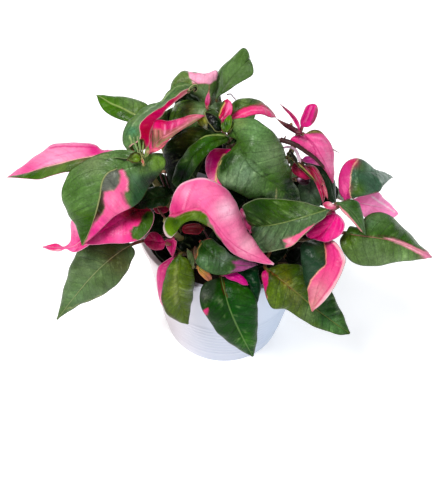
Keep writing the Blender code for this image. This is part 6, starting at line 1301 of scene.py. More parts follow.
def leaf_finish(name, spec, dull=1.0):
    """The skin of a leaf: its paint, with veins, a midrib, a margin, a paler, duller underside, painted glare between
    the veins and, where the spec has glow, a painted glow.
    """
    f = Finish(name, IOR=1.42, Specular_IOR_Level=spec.get("gloss", 0.27))
    paint = f.attribute("paint", "Color")
    phase, across, margin = f.parts(f.attribute("leaf_a"))
    along, under, chance = f.parts(f.attribute("leaf_b"))
    veins = spec.get("veins", 1.0)
    # how pink the skin is: pink skin is smoother, and its veins are deep pink instead of dark
    red, grn, blu = f.parts(paint)
    pinkish = f.step(f.calc("SUBTRACT", red, grn), 0.10, 0.30)
    plain = f.calc("SUBTRACT", 1.0, f.calc("MULTIPLY", pinkish, 0.55))
    # broad and fine mottling
    broad = f.noise(4.5, 3.0, 0.55)
    fine = f.noise(1.25, 2.0, 0.6)
    lit = f.calc("MULTIPLY_ADD", broad, 0.70, 0.65)
    lit = f.calc("MULTIPLY", lit, f.calc("MULTIPLY_ADD", fine, 0.70 * (0.35 + 0.65 * veins), 1.0 - 0.35 * (0.35 + 0.65 * veins)))
    # streaks that follow the side veins
    grid = f.tree.nodes.new("ShaderNodeCombineXYZ")
    f.feed(grid, 0, f.calc("MULTIPLY", phase, 2.3)), f.feed(grid, 1, f.calc("MULTIPLY", across, 0.16)), f.feed(grid, 2, f.calc("MULTIPLY", chance, 40.0))
    streak = f.tree.nodes.new("ShaderNodeTexNoise")
    for key, v in (("Vector", grid.outputs[0]), ("Scale", 1.0), ("Detail", 2.0), ("Roughness", 0.6)):
        f.feed(streak, key, v)
    streak = streak.outputs["Fac"]
    lit = f.calc("MULTIPLY", lit, f.calc("MULTIPLY_ADD", streak, 0.80 * (0.25 + 0.75 * veins), 1.0 - 0.40 * (0.25 + 0.75 * veins)))
    lit = f.calc("ADD", f.calc("MULTIPLY", lit, plain), f.calc("SUBTRACT", 1.0, plain))
    # the skin is thinner and darker just inside the margin
    lit = f.calc("MULTIPLY", lit, f.step(margin, 0.0, 1.1, 0.80, 1.0))
    colour = f.mix("MULTIPLY", 1.0, paint, f.grey(lit))
    # painted glare: here and there the skin between the veins is painted paler, standing in for highlights on it
    glare = f.calc("MULTIPLY", f.step(streak, 0.52, 0.72), f.step(broad, 0.46, 0.62))
    colour = f.mix("SCREEN", f.calc("MULTIPLY", glare, 0.30 * min(veins, 1.3)), colour, (0.17, 0.21, 0.10))
    # side veins: thin lines at whole numbers of the phase, gone near the tip and in the margin
    wob = f.calc("MULTIPLY_ADD", f.noise(2.4, 1.0), 0.16, -0.08)
    turn = f.calc("FRACT", f.calc("ADD", phase, wob))
    off = f.calc("SUBTRACT", 0.5, f.calc("ABSOLUTE", f.calc("SUBTRACT", turn, 0.5)))
    thin = f.step(off, 0.01, 0.055, 1.0, 0.0)
    fade = f.calc("MULTIPLY", f.step(margin, 0.3, 2.2), f.step(along, 0.0, 0.03))
    vein = f.calc("MULTIPLY", thin, fade)
    # finer net between them
    net = f.step(f.cells(1.7, True), 0.02, 0.12, 1.0, 0.0)
    colour = f.mix("MULTIPLY", f.calc("MULTIPLY", f.calc("MULTIPLY", vein, plain), 0.45 * veins), colour, f.mix("MIX", pinkish, (0.42, 0.48, 0.42), (0.86, 0.46, 0.64)))
    colour = f.mix("MULTIPLY", f.calc("MULTIPLY", f.calc("MULTIPLY", net, plain), 0.30 * veins), colour, f.mix("MIX", pinkish, (0.48, 0.54, 0.48), (0.88, 0.55, 0.70)))
    rise = f.step(off, 0.10, 0.5)
    # midrib and margin
    mid_rgb, mid_w = spec.get("mid", (CREAM, 0.4))
    half = f.calc("MULTIPLY", f.step(along, 0.45, 1.0, 1.0, 0.4), 0.55 * mid_w)
    inner = f.calc("DIVIDE", across, half)
    rib = f.calc("MULTIPLY", f.step(inner, 0.65, 1.25, 1.0, 0.0), f.step(along, -0.02, 0.02))
    colour = f.mix("MIX", f.calc("MULTIPLY", rib, 0.62), colour, tuple(deepen(linear(mid_rgb))))
    rim_rgb, rim_w = spec.get("rim", (CREAM, 0.3))
    rim_w = 0.7 * rim_w
    rim = f.step(f.calc("ADD", margin, f.calc("MULTIPLY_ADD", fine, 0.5 * rim_w, -0.25 * rim_w)), 0.5 * rim_w, 1.5 * rim_w, 1.0, 0.0)
    colour = f.mix("MIX", f.calc("MULTIPLY", f.calc("MULTIPLY", rim, f.step(along, 0.0, 0.06)), 0.65), colour, tuple(deepen(linear(rim_rgb))))
    # the stalk below the blade
    stalk = f.step(along, -0.03, 0.012, 1.0, 0.0)
    stalk_rgb = spec.get("stalk", (150, 96, 84))
    colour = f.mix("MIX", f.calc("MULTIPLY", stalk, 0.72), colour, tuple(deepen(linear(stalk_rgb))))
    # underside
    pale = f.mix("MIX", 0.30, f.mix("MULTIPLY", 1.0, colour, (0.86, 0.88, 0.86)), tuple(linear((168, 160, 148))))
    colour = f.mix("MIX", f.calc("MULTIPLY", under, spec.get("under", 1.0)), colour, pale)
    if "glow" in spec:
        # painted glow: the pinkish parts of the skin give out a little light of their own, standing in for light that
        # comes through the thin pink skin of a fold in shade
        r, g, b = f.parts(colour)
        through = f.step(f.calc("SUBTRACT", r, g), 0.12, 0.35)
        f.feed(f.shader, "Emission Color", f.mix("MULTIPLY", 1.0, colour, f.grey(through)))
        f.feed(f.shader, "Emission Strength", spec["glow"])
    rough = f.calc("ADD", f.calc("MULTIPLY_ADD", fine, 0.16, 0.24 * dull), f.calc("MULTIPLY", under, 0.14))
    height = f.calc("ADD", f.calc("MULTIPLY", f.calc("MULTIPLY", rise, fade), 0.22), f.calc("MULTIPLY", vein, -0.30))
    height = f.calc("ADD", height, f.calc("MULTIPLY", net, -0.16))
    height = f.calc("ADD", height, f.calc("MULTIPLY", f.noise(0.75, 2.0, 0.6), 0.30))
    height = f.calc("ADD", height, f.calc("MULTIPLY", rib, -0.35))
    height = f.calc("ADD", height, f.calc("MULTIPLY", streak, 0.7))
    f.bump(height, 0.95, 0.36)
    return f.end(colour, rough)


def stem_finish(name, low, high):
    """A stem's skin: long fibres, darker low down."""
    f = Finish(name, IOR=1.4, Specular_IOR_Level=0.35)
    t, ring, chance = f.parts(f.attribute("stem_a"))
    mottle = f.noise(2.2, 3.0, 0.6)
    streak = f.tree.nodes.new("ShaderNodeMapping")
    streak.inputs["Scale"].default_value = (1.0, 1.0, 0.12)
    f.feed(streak, "Vector", f.place)
    fibre = f.noise(0.7, 2.0, 0.6, at=streak.outputs[0])
    colour = f.mix("MIX", f.calc("ADD", t, f.calc("MULTIPLY_ADD", mottle, 0.5, -0.25), clamp=True), tuple(linear(low)), tuple(linear(high)))
    colour = f.mix("MULTIPLY", 1.0, colour, f.grey(f.calc("MULTIPLY_ADD", fibre, 0.7, 0.62)))
    colour = f.mix("MIX", f.calc("MULTIPLY", ring, 0.6), colour, tuple(linear((94, 44, 40))))
    f.bump(f.calc("ADD", f.calc("MULTIPLY", fibre, 0.6), f.calc("MULTIPLY", mottle, 0.4)), 0.6, 0.25)
    return f.end(colour, f.calc("MULTIPLY_ADD", mottle, 0.2, 0.45))


def pot_finish():
    """Thin white moulded plastic, painted with light and shade across it: lavender to the left, a darker grey-blue in
    the middle and blue to the right; with a little wear.
    """
    f = Finish("pot_plastic", IOR=1.5, Specular_IOR_Level=0.5, Coat_Weight=0.15, Coat_Roughness=0.12, Coat_IOR=1.5)
    x, y, z = f.parts(f.place)
    # painted light and shade: the white is tinted lavender on the left, greyer and darker in the middle and blue on the
    # right, as the light falls
    colour = f.mix("MIX", f.step(x, -0.046, -0.002), tuple(linear((226, 208, 209))), tuple(linear((184, 189, 205))))
    colour = f.mix("MIX", f.step(x, 0.004, 0.034), colour, tuple(linear((186, 202, 226))))
    cloud = f.noise(14.0, 2.0, 0.5)
    fine = f.noise(1.6, 2.0, 0.6)
    colour = f.mix("MULTIPLY", 1.0, colour, f.grey(f.calc("MULTIPLY_ADD", cloud, 0.06, 0.955)))
    # brown patches on the inner wall, above and just below the soil
    r = f.calc("SQRT", f.calc("ADD", f.calc("MULTIPLY", x, x), f.calc("MULTIPLY", y, y)))
    inside = f.step(f.calc("SUBTRACT", r, f.calc("MULTIPLY_ADD", z, 0.1667, 0.0300)), -0.0004, 0.0001, 1.0, 0.0)
    inner_patches = f.calc("MULTIPLY", f.calc("MULTIPLY", f.step(fine, 0.45, 0.75), inside), f.step(z, 0.0665, 0.0745, 1.0, 0.12))
    colour = f.mix("MIX", f.calc("MULTIPLY", inner_patches, 0.55), colour, tuple(linear((92, 74, 58))))
    f.bump(f.calc("ADD", f.calc("MULTIPLY", cloud, 0.5), f.calc("MULTIPLY", fine, 0.12)), 0.25, 0.2)
    return f.end(colour, f.calc("MULTIPLY_ADD", fine, 0.10, 0.27))


def soil_finish(name, tone=1.0):
    """Dark peaty soil, painted darker still as the shade that the leaves cast on it."""
    f = Finish(name, IOR=1.4, Specular_IOR_Level=0.25)
    clump = f.noise(3.2, 4.0, 0.65)
    grain = f.noise(0.8, 3.0, 0.7)
    bits = f.step(f.cells(2.1), 0.12, 0.42)
    # painted shade: both soil colours are made near-black for the shade under the leaves
    colour = f.mix("MIX", clump, tuple(linear((16, 12, 9)) * tone), tuple(linear((48, 35, 26)) * tone))
    colour = f.mix("MULTIPLY", 1.0, colour, f.grey(f.calc("MULTIPLY_ADD", grain, 0.9, 0.5)))
    colour = f.mix("MULTIPLY", f.calc("SUBTRACT", 1.0, bits), colour, (0.45, 0.42, 0.4))
    f.bump(f.calc("ADD", f.calc("MULTIPLY", clump, 0.6), f.calc("MULTIPLY", grain, 0.4)), 1.0, 0.9)
    return f.end(colour, f.calc("MULTIPLY_ADD", grain, 0.15, 0.8))


def stem_finish_plain(name, low, high):
    """Dead, dry wood and fibre."""
    f = Finish(name, IOR=1.4, Specular_IOR_Level=0.25)
    mottle = f.noise(1.8, 3.0, 0.6)
    colour = f.mix("MIX", mottle, tuple(linear(low)), tuple(linear(high)))
    f.bump(f.noise(0.9, 3.0, 0.65), 0.8, 0.4)
    return f.end(colour, f.calc("MULTIPLY_ADD", mottle, 0.2, 0.62))

# ---------------------------------------------------------------------------
# Leaves
# ---------------------------------------------------------------------------
LARGE = (
    "leaf_left_outer", "leaf_left_big", "leaf_curled", "leaf_pink_pointed", "leaf_centre_big", "leaf_centre_pink",
    "leaf_right_broad", "leaf_right_hanging", "leaf_right_low", "leaf_right_outer", "leaf_right_upper", "leaf_front_low",
    "leaf_top_left", "leaf_left_magenta",
)


SMALL = {one["name"] for one in BITS}


def leaf_piece(name, rows, spec, own_plane=False):
    """A leaf's fine surface on the CAD leaf's rows: a thin blade with veins pressed in, a wavy margin
    and a round stalk."""
    seed = sum(map(ord, name))
    rng = np.random.default_rng(seed)
    k = 3 if name in LARGE else 1 if name in SMALL else 2
    fine = finer(rows, k, 5 if name == "leaf_left_big" else k)
    r, c = fine.shape[:2]
    s0 = STALK_ROWS * k
    mid = c // 2
    n = unit(np.cross(np.gradient(fine, axis=0), np.gradient(fine, axis=1)))
    for _ in range(2):
        n[1:-1] = unit(n[:-2] + 2 * n[1:-1] + n[2:])
    blade = fine[s0:]
    if own_plane:
        facing = n[s0:, :, 2].mean()
    else:
        facing = (n[s0:] * unit(EYE - blade)).sum(-1).mean()
    if facing < 0:
        fine, rows = fine[:, ::-1], rows[:, ::-1]
        n = -n[:, ::-1]
        swapped = True
    else:
        swapped = False
    cols = np.arange(c)
    side = np.sign(cols - mid) * (-1 if swapped else 1)
    tau = np.abs(cols - mid) / mid
    step_w = np.linalg.norm(np.diff(fine, axis=1), axis=2)
    left = np.concatenate([np.zeros((r, 1)), np.cumsum(step_w[:, :mid][:, ::-1], axis=1)], axis=1)[:, ::-1]
    right = np.concatenate([np.zeros((r, 1)), np.cumsum(step_w[:, mid:], axis=1)], axis=1)
    across = np.concatenate([left, right[:, 1:]], axis=1)
    wide = np.concatenate([np.repeat(left[:, :1], mid, axis=1), np.repeat(right[:, -1:], c - mid, axis=1)], axis=1)
    run = np.concatenate([[0.0], np.cumsum(np.linalg.norm(np.diff(fine[:, mid], axis=0), axis=1))])
    along = run - run[s0]
    long = along[-1]
    # how far a point is from the margin, square to it
    slope = np.gradient(wide, axis=0) / np.maximum(np.gradient(along)[:, None], 1e-3)
    margin = (wide - across) / np.sqrt(1 + slope**2)
    a2 = along[:, None] + 0 * across
    phase = (a2 - 0.75 * across - 0.014 * across**2) / VEIN_GAP + 0.5 * (side[None, :] > 0) + 3
    share = np.clip(a2 / long, -0.2, 1)
    in_blade = ease(a2 / 3.0)
    off = 0.5 - np.abs(phase % 1.0 - 0.5)
    quilt = 0.07 * ease(off / 0.4) * ease(across / 1.6) * ease(margin / 1.2) * in_blade * spec.get("veins", 1.0)
    wave = rng.uniform(0, 6.28)
    frill = 0.12 * np.sin(2 * math.pi * a2 / rng.uniform(7.5, 11.0) + wave + 1.9 * side[None, :]) * np.clip(1 - margin / 4.5, 0, 1) ** 1.5 * in_blade * ease((wide - 2.0) / 4.0)
    lump = 0.26 * noise3(fine.reshape(-1, 3), 9.0, seed).reshape(r, c) * in_blade * ease((wide - 1.0) / 4.0)
    groove = -0.13 * np.exp(-((across / 0.55) ** 2)) * in_blade
    fine = fine + n * (quilt + frill + lump + groove)[..., None]
    stalk_half = 0.72 * np.sqrt(np.maximum(1 - tau**2, 0)) + 0.06
    blade_half = np.maximum(0.19 * np.sqrt(np.maximum(1 - tau**6, 0)), 0.05)
    blend = ease(a2 / 2.2)
    half = stalk_half[None, :] * (1 - blend) + blade_half[None, :] * blend
    half = half * np.clip(0.35 + 0.65 * ease((1 - share) / 0.05), 0, 1)
    ridge = 0.34 * np.exp(-((across / 0.55) ** 2)) * blend * ease((1 - share) / 0.5)
    points, faces, _ = shell(fine, half, n, ridge)
    faces = outward(points, faces)
    obj = new_object(name + "_skin", points, faces, leaf_finish(name + "_skin", spec))
    if own_plane:
        # mm along the leaf and across it, below 0 on half a
        pu, pv = a2, across * side[None, :]
    else:
        pu, pv, _ = seen(fine)
    sides = np.repeat(side[None, :], r, axis=0).ravel()
    colours = painted(spec, pu.ravel(), pv.ravel(), sides, seed)
    put(obj, "paint", "FLOAT_COLOR", np.concatenate([colours, colours]))
    one = np.stack([phase, across, margin], axis=-1).reshape(-1, 3)
    put(obj, "leaf_a", "FLOAT_VECTOR", np.concatenate([one, one]))
    two = np.stack([share, np.zeros_like(share), np.full_like(share, rng.random())], axis=-1).reshape(-1, 3)
    low = two.copy()
    low[:, 1] = 1.0
    put(obj, "leaf_b", "FLOAT_VECTOR", np.concatenate([two, low]))
    return obj


# ---------------------------------------------------------------------------
# Stems
# ---------------------------------------------------------------------------
def tube_piece(name, line, r0, r1, mat, nodes=(), steps=90, sides=20, seed=1, point=False, kink=0.0):
    """A closed round tube, swollen at each leaf node (heights in mm) and uneven, with a domed end."""
    c = smooth_curve(line, steps)
    if kink:
        wob = np.stack([noise3(c, 12.0, seed + k) for k in range(3)], axis=1)
        c = c + kink * wob * np.sin(np.linspace(0, math.pi, steps))[:, None]
    points, faces, extra = [], [], []
    side = np.array([1.0, 0.0, 0.0])
    for i, p in enumerate(c):
        t = i / (steps - 1)
        along = unit(c[min(i + 1, steps - 1)] - c[max(i - 1, 0)])
        u = unit(side - along * (side @ along))
        w = np.cross(along, u)
        r = r0 + (r1 - r0) * t
        swell = sum(math.exp(-(((p[2] - z) / 1.5) ** 2)) for z in nodes)
        ring = min(1.0, sum(math.exp(-(((p[2] - z + 0.8) / 0.7) ** 2)) for z in nodes))
        r *= 1 + 0.30 * min(swell, 1.2)
        end = (1 - t) * (steps - 1)
        if end < 5:
            r *= (end / 5) if point else math.sqrt(max(1 - (1 - end / 5) ** 2, 0.0))
        r = max(r, 0.03)
        for k in range(sides):
            a = 2 * math.pi * k / sides
            points.append(p + r * (1 + 0.035 * math.sin(5 * a + seed)) * (math.cos(a) * u + math.sin(a) * w))
            extra.append((t, ring, 0.0))
    for i in range(steps - 1):
        for k in range(sides):
            k2 = (k + 1) % sides
            faces.append((i * sides + k, i * sides + k2, (i + 1) * sides + k2, (i + 1) * sides + k))
    faces.append(tuple(range(sides))[::-1])
    faces.append(tuple((steps - 1) * sides + k for k in range(sides)))
    points = np.array(points)
    points = points + 0.05 * noise3(points, 2.5, seed)[:, None] * unit(points - np.repeat(c, sides, axis=0))
    obj = new_object(name, points, outward(points, faces), mat)
    put(obj, "stem_a", "FLOAT_VECTOR", extra)
    return obj


# ---------------------------------------------------------------------------
# Pot and soil
# ---------------------------------------------------------------------------
def wall_r(z):
    return POT_BASE_R + (POT_TOP_R - RIM_OUT - POT_BASE_R) * z / POT_HEIGHT


def turned(profile, steps, wobble=None):
    """Points and faces of a closed profile (r, z), from axis to axis, turned about Z."""
    inner = profile[1:-1]
    ang = 2 * math.pi * np.arange(steps) / steps
    points = [(0.0, 0.0, profile[0][1])]
    for r, z in inner:
        points += [(r * math.cos(a), r * math.sin(a), z) for a in ang]
    points.append((0.0, 0.0, profile[-1][1]))
    faces, last = [], len(points) - 1
    for k in range(steps):
        k2 = (k + 1) % steps
        faces.append((0, 1 + k2, 1 + k))
        for i in range(len(inner) - 1):
            a, b = 1 + i * steps, 1 + (i + 1) * steps
            faces.append((a + k, a + k2, b + k2, b + k))
        e = 1 + (len(inner) - 1) * steps
        faces.append((e + k, e + k2, last))
    return np.array(points), faces


def arc(cr, cz, radius, a0, a1, n):
    """Points of a rounded corner, angles in degrees from outward (+r) to up (+z)."""
    return [(cr + radius * math.cos(math.radians(a0 + (a1 - a0) * k / n)), cz + radius * math.sin(math.radians(a0 + (a1 - a0) * k / n))) for k in range(n + 1)]


def pot_piece():
    out = [(0.0, 0.9), (POT_BASE_R - 4.2, 0.9), (POT_BASE_R - 3.6, 0.75), (POT_BASE_R - 3.2, 0.2), (POT_BASE_R - 2.6, 0.0)]
    out += arc(POT_BASE_R - 0.9, 0.9, 0.9, -90, -10, 6)
    # the plain foot, then the ribs, then the plain wall
    out += [(wall_r(z), z) for z in (2.5, 4.5, 6.5)]
    z = RIB_LOW
    while z < RIB_HIGH - 0.1:
        for k in range(8):
            t = k / 8
            out.append((wall_r(z + RIB_PITCH * t) + RIB_DEPTH * (0.5 - 0.5 * math.cos(2 * math.pi * t)) ** 0.8, z + RIB_PITCH * t))
        z += RIB_PITCH
    out += [(wall_r(q), q) for q in np.linspace(z, POT_HEIGHT - RIM_DEPTH - 0.5, 14)]
    under = POT_HEIGHT - RIM_DEPTH
    out += arc(wall_r(under) + 0.35, under - 0.35, 0.35, 180, 90, 4)[1:]
    out += arc(POT_TOP_R - 0.35, under + 0.35, 0.35, -90, 0, 4)
    out += arc(POT_TOP_R - 0.7, POT_HEIGHT - 0.7, 0.7, 0, 90, 7)
    inner = wall_r(POT_HEIGHT) - POT_WALL
    out += arc(inner + 0.5, POT_HEIGHT - 0.5, 0.5, 90, 180, 6)
    out += [(wall_r(q) - POT_WALL, q) for q in np.linspace(POT_HEIGHT - 1.5, POT_FLOOR + 3.0, 22)]
    out += arc(wall_r(POT_FLOOR) - POT_WALL - 2.0, POT_FLOOR + 2.0, 2.0, 0, -90, 6)
    out += [(0.0, POT_FLOOR)]
    points, faces = turned(out, 144)
    # thin plastic is never quite round
    ang = np.arctan2(points[:, 1], points[:, 0])
    out_of_round = (points[:, 2] / POT_HEIGHT) * 0.16 * np.sin(2 * ang + 0.7)
    points[:, :2] *= (1 + out_of_round / POT_TOP_R)[:, None]
    return new_object("pot_shell", points, outward(points, faces), pot_finish())


def soil_piece():
    clear = POT_WALL + 0.35
    rings, steps = 46, 132
    top_r = wall_r(SOIL_LEVEL) - clear - 0.25
    ang = 2 * math.pi * np.arange(steps) / steps
    points = [(0.0, 0.0, 0.0)]
    for i in range(1, rings + 1):
        r = top_r * i / rings
        points += [(r * math.cos(a), r * math.sin(a), 0.0) for a in ang]
    points = np.array(points)
    r = np.hypot(points[:, 0], points[:, 1])
    q = points.copy()
    rough = 0.75 * noise3(q, 16.0, 5) + 0.42 * noise3(q, 6.0, 6) + 0.34 * np.abs(noise3(q, 3.0, 7)) + 0.16 * noise3(q, 1.7, 8)
    points[:, 2] = SOIL_LEVEL + np.clip(rough, -1.4, 1.6) - 0.9 * ease((r - top_r + 7) / 7)
    n_top = len(points)
    low = []
    for z in np.linspace(SOIL_LEVEL - 3.0, POT_FLOOR + 3.0, 10):
        rr = wall_r(z) - clear
        low += [(rr * math.cos(a), rr * math.sin(a), z) for a in ang]
    low += [((wall_r(POT_FLOOR) - clear - 2.4) * math.cos(a), (wall_r(POT_FLOOR) - clear - 2.4) * math.sin(a), POT_FLOOR + 0.35) for a in ang]
    points = np.concatenate([points, np.array(low), [(0.0, 0.0, POT_FLOOR + 0.35)]])
    faces = [(0, 1 + k, 1 + (k + 1) % steps) for k in range(steps)]
    starts = [1 + i * steps for i in range(rings)] + [n_top + i * steps for i in range(11)]
    for a, b in zip(starts, starts[1:]):
        for k in range(steps):
            k2 = (k + 1) % steps
            faces.append((a + k, b + k, b + k2, a + k2))
    a, last = starts[-1], len(points) - 1
    faces += [(a + k, last, a + (k + 1) % steps) for k in range(steps)]
    return new_object("soil_fill", points, outward(points, faces), soil_finish("soil_peat"))


def lump(centre, size, seed, rough=0.28, stretch=(1.0, 1.0, 1.0), level=2, turn=0.0):
    """Points and faces of one irregular crumb."""
    made = bmesh.new()
    bmesh.ops.create_icosphere(made, subdivisions=level, radius=1.0)
    pts = np.array([v.co[:] for v in made.verts])
    faces = [tuple(v.index for v in f.verts) for f in made.faces]
    made.free()
    pts = pts * (1 + rough * noise3(pts, 1.6, seed))[:, None] * np.array(stretch) * size
    ca, sa = math.cos(turn), math.sin(turn)
    pts = pts @ np.array([[ca, sa, 0], [-sa, ca, 0], [0, 0, 1.0]])
    return pts + np.array(centre), faces


def scatter(name, mat, items):
    """One object from several separate closed bits, (points, faces) each."""
    points, faces, base = [], [], 0
    for p, f in items:
        points.append(p)
        faces += [tuple(base + i for i in g) for g in f]
        base += len(p)
    return new_object(name, np.concatenate(points), faces, mat)

# ---------------------------------------------------------------------------
# The plant
# ---------------------------------------------------------------------------
STALK_COLOURS = {
    "leaf_left_outer": (196, 96, 104), "leaf_left_big": (190, 120, 96), "leaf_right_outer": (204, 120, 122),
    "leaf_right_low": (120, 60, 44), "leaf_front_low": (110, 56, 36), "leaf_left_low": (124, 58, 56),
}
def stub(one):
    """A short piece of shoot just behind a leaflet's foot, for leaf_rows to start from."""
    foot, next_one = at(*one["mid"][0]), at(*one["mid"][1])
    p = foot - unit(next_one - foot) * 1.5
    return [tuple(p + [0.0, 0.0, d]) for d in (-2.0, 0.0, 2.0)], 0.3, 0.3


SHOOTS = {**STEMS, **{one["name"]: stub(one) for one in BITS if one["stem"] == one["name"]}}
ROWS = lay_apart(LEAVES + BITS, SHOOTS)
NODES = {key: [] for key in STEMS}
for one in LEAVES + BITS:
    if one["stem"] in STEMS:
        NODES[one["stem"]].append(one["node_z"])
    spec = one["spec"] if "spec" in one else PAINT[one["name"]]
    spec["stalk"] = STALK_COLOURS.get(one["name"], (120, 88, 64))
    piece = leaf_piece(one["name"], ROWS[one["name"]], spec)
    if one["name"] in CAD_LEAVES:
        belongs(piece, "leaf_pink" if one["name"] in PINK_LEAVES else "leaf_green", one["name"])
    else:
        belongs(piece, "leaf_pink" if one["pink"] else "leaf_green")
for one in BACK_LEAVES:
    NODES[one["stem"]].append(one["node_z"])
    piece = leaf_piece(one["name"], plain_leaf(one, STEMS), BACK_PAINT[one["name"]], own_plane=True)
    belongs(piece, "leaf_pink" if one["name"] in PINK_LEAVES else "leaf_green", one["name"])

STEM_SKIN = stem_finish("stem_skin", (70, 56, 36), (118, 112, 62))
for k, (key, (line, r0, r1)) in enumerate(STEMS.items()):
    own = STEM_NAMES[key]
    piece = tube_piece(own + "_skin", line, r0, r1, STEM_SKIN, nodes=NODES[key], seed=11 + k)
    belongs(piece, "stem_brown", own)
line, r0, r1 = CUT_STALK
piece = tube_piece("cut_stalk_skin", line, r0, r1, stem_finish("cut_stalk_skin", (52, 22, 22), (60, 28, 26)), seed=31, point=True, kink=0.25)
belongs(piece, "stem_brown", "cut_stalk")
# thin shoots and tendrils, and the torn end of the cut stalk
for name, line, r0, r1, low, high in (
    ("shoot_right_pale", [at(284, 147.6, 139), at(289, 147.2, 140), at(294, 149.4, 139.6), at(297.4, 154, 138), at(300.6, 163, 133)], 0.45, 0.85, (206, 160, 186), (226, 196, 208)),
    ("spike_right", [at(333, 149.4, 137.6), at(336.4, 151.2, 137.4), at(340, 152.8, 137)], 0.32, 0.1, (150, 120, 120), (120, 110, 110)),
    ("twig_top", [at(227, 94.6, 149), at(230.6, 94.4, 150), at(233.6, 97, 150.4), at(236.4, 100.4, 149.6)], 0.3, 0.3, (120, 110, 116), (150, 140, 146)),
    ("splinter_1", [at(283.4, 141, 146.4), at(285, 138, 147), at(286, 135.4, 147.6)], 0.6, 0.1, (70, 26, 26), (90, 40, 36)),
    ("splinter_2", [at(282.8, 141, 146.4), at(280.6, 139, 146.8), at(278.6, 138.4, 147)], 0.6, 0.1, (60, 24, 24), (80, 34, 30)),
    ("twig_low_1", [at(176, 232, 92), at(168, 222, 102), at(161, 213, 108), at(156, 205, 111)], 0.7, 0.5, (70, 36, 30), (110, 50, 44)),
    ("twig_low_2", [at(172, 228, 94), at(172, 216, 104), at(168, 206, 110)], 0.6, 0.4, (60, 34, 26), (96, 60, 44)),
    ("shoot_left_crown", [at(135.6, 151.6, 143.4), at(137.4, 153.4, 146), at(139.2, 154.6, 148.4), at(*[one for one in BITS if one["name"] == "leaflet_left_1"][0]["mid"][0])], 1.0, 0.6, (96, 120, 60), (130, 156, 92)),
    ("shoot_top_pink", [at(211, 121.6, 126), at(209.6, 116, 136), at(208, 111, 143), at(207.2, 107.4, 147)], 0.6, 0.4, (110, 70, 60), (150, 90, 90)),
    ("shoot_right_bud", [at(330, 209.8, 119), at(332.6, 209, 123.6), at(334.8, 207.9, 128.2)], 0.9, 0.6, (120, 60, 70), (190, 90, 110)),
    ("shoot_right_crown", [at(299.9, 129.9, 143.8), at(300.1, 130.8, 146.6), at(300.4, 131.8, 149.6)], 0.85, 0.5, (84, 34, 46), (140, 52, 80)),
    ("twig_shade_red", [at(212, 247, 93.6), at(208, 238, 98.6), at(203, 229.6, 103.6)], 0.6, 0.4, (44, 24, 20), (80, 24, 34)),
    ("twig_left_1", [at(166, 190, 112), at(163, 181, 118), at(160, 173, 122), at(158, 167, 124)], 0.55, 0.35, (60, 26, 30), (90, 40, 44)),
    ("twig_left_2", [at(170, 188, 112), at(166, 178, 118), at(165, 170, 121)], 0.5, 0.3, (50, 24, 26), (80, 36, 40)),
):
    piece = tube_piece(name, line, r0, r1, stem_finish(name, low, high), steps=40, sides=12, seed=len(name), point=True, kink=0.2)
    belongs(piece, "stem_brown")

belongs(pot_piece(), "pot_white", "pot")
belongs(soil_piece(), "soil_dark", "soil")

rng = np.random.default_rng(41)
crumbs, bark = [], []
for k in range(230):
    r, a = 41.0 * math.sqrt(rng.random()) * 0.965, rng.uniform(0, 2 * math.pi)
    size = rng.uniform(0.45, 1.5) * (1.0 if rng.random() < 0.85 else 1.5)
    crumbs.append(lump((r * math.cos(a), r * math.sin(a), SOIL_LEVEL + 0.15 + 0.35 * size), size, 100 + k, level=2 if size > 1.2 else 1))
for k in range(34):
    r, a = 40.0 * math.sqrt(rng.random()) * 0.95, rng.uniform(0, 2 * math.pi)
    size = rng.uniform(1.2, 2.2)
    bark.append(lump((r * math.cos(a), r * math.sin(a), SOIL_LEVEL + 0.6), size, 400 + k, rough=0.2, stretch=(1.6, 0.6, 0.36), turn=rng.uniform(0, 6.28)))
belongs(scatter("soil_crumbs", soil_finish("soil_crumb", 1.15), crumbs), "soil_dark")
belongs(scatter("soil_bark", stem_finish_plain("bark_bits", (58, 38, 24), (104, 74, 48)), bark), "soil_dark")

# ---------------------------------------------------------------------------
# Stage, light and camera
# ---------------------------------------------------------------------------
def floor_finish():
    f = Finish("floor_matte", IOR=1.4, Specular_IOR_Level=0.15)
    soft = f.noise(60.0, 2.0, 0.5)
    colour = f.mix("MULTIPLY", 1.0, (0.86, 0.86, 0.86), f.grey(f.calc("MULTIPLY_ADD", soft, 0.02, 0.985)))
    # a light table: the floor glows a little, so that shadows on it stay faint
    f.shader.inputs["Emission Color"].default_value = (1.0, 1.0, 1.0, 1.0)
    f.shader.inputs["Emission Strength"].default_value = 0.44
    return f.end(colour, 0.8)


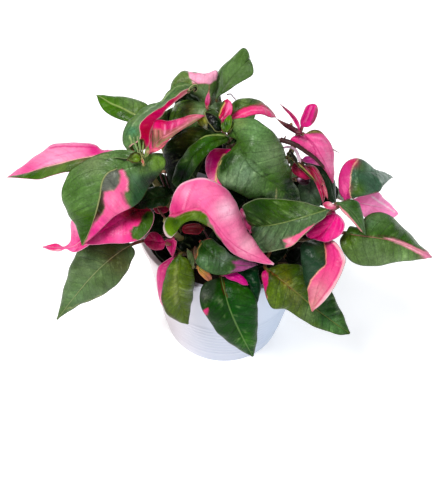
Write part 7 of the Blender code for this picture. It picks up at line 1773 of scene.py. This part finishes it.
floor = new_object("floor", [(-4000, -4000, 0), (4000, -4000, 0), (4000, 4000, 0), (-4000, 4000, 0)], [(0, 1, 2, 3)], floor_finish(), smooth=False)


def lamp(name, place, size, power, colour, look=(0.0, 0.0, 0.09)):
    data = bpy.data.lights.new(name, "AREA")
    data.shape, data.size, data.energy, data.color = "DISK", size, power, colour
    obj = bpy.data.objects.new(name, data)
    bpy.context.scene.collection.objects.link(obj)
    obj.location = place
    obj.rotation_euler = (mathutils.Vector(look) - mathutils.Vector(place)).to_track_quat("-Z", "Y").to_euler()
    return obj


lamp("key", (-0.85, -0.75, 2.2), 0.9, 57.0, (1.0, 0.985, 0.97))
lamp("fill", (1.1, -1.5, 1.2), 1.2, 12.0, (0.90, 0.95, 1.0))
lamp("back", (0.3, 1.5, 1.4), 1.0, 7.0, (0.95, 0.98, 1.0))

world = bpy.data.worlds.new("studio")
bpy.context.scene.world = world
world.use_nodes = True
ambient = world.node_tree.nodes["Background"]
ambient.inputs["Color"].default_value = (0.95, 0.97, 1.0, 1.0)
# the room is darker where it is only mirrored
rays = world.node_tree.nodes.new("ShaderNodeLightPath")
level = world.node_tree.nodes.new("ShaderNodeMapRange")
level.inputs["To Min"].default_value, level.inputs["To Max"].default_value = 0.29, 0.05
world.node_tree.links.new(rays.outputs["Is Glossy Ray"], level.inputs["Value"])
world.node_tree.links.new(level.outputs["Result"], ambient.inputs["Strength"])

view = bpy.data.cameras.new("front_camera")
view.sensor_fit, view.sensor_width = "AUTO", 36.0
view.lens = 36.0 * EYE_FOCAL / PIC_H
view.clip_start, view.clip_end = 0.01, 20.0
camera = bpy.data.objects.new("front_camera", view)
bpy.context.scene.collection.objects.link(camera)
turn = mathutils.Matrix([(PIC_RIGHT[k], PIC_UP[k], -AHEAD[k]) for k in range(3)])
camera.matrix_world = mathutils.Matrix.Translation(mathutils.Vector(EYE / 1000.0)) @ turn.to_4x4()
bpy.context.scene.camera = camera
bpy.context.scene.view_settings.view_transform = "Standard"
bpy.context.scene.view_settings.look = "None"
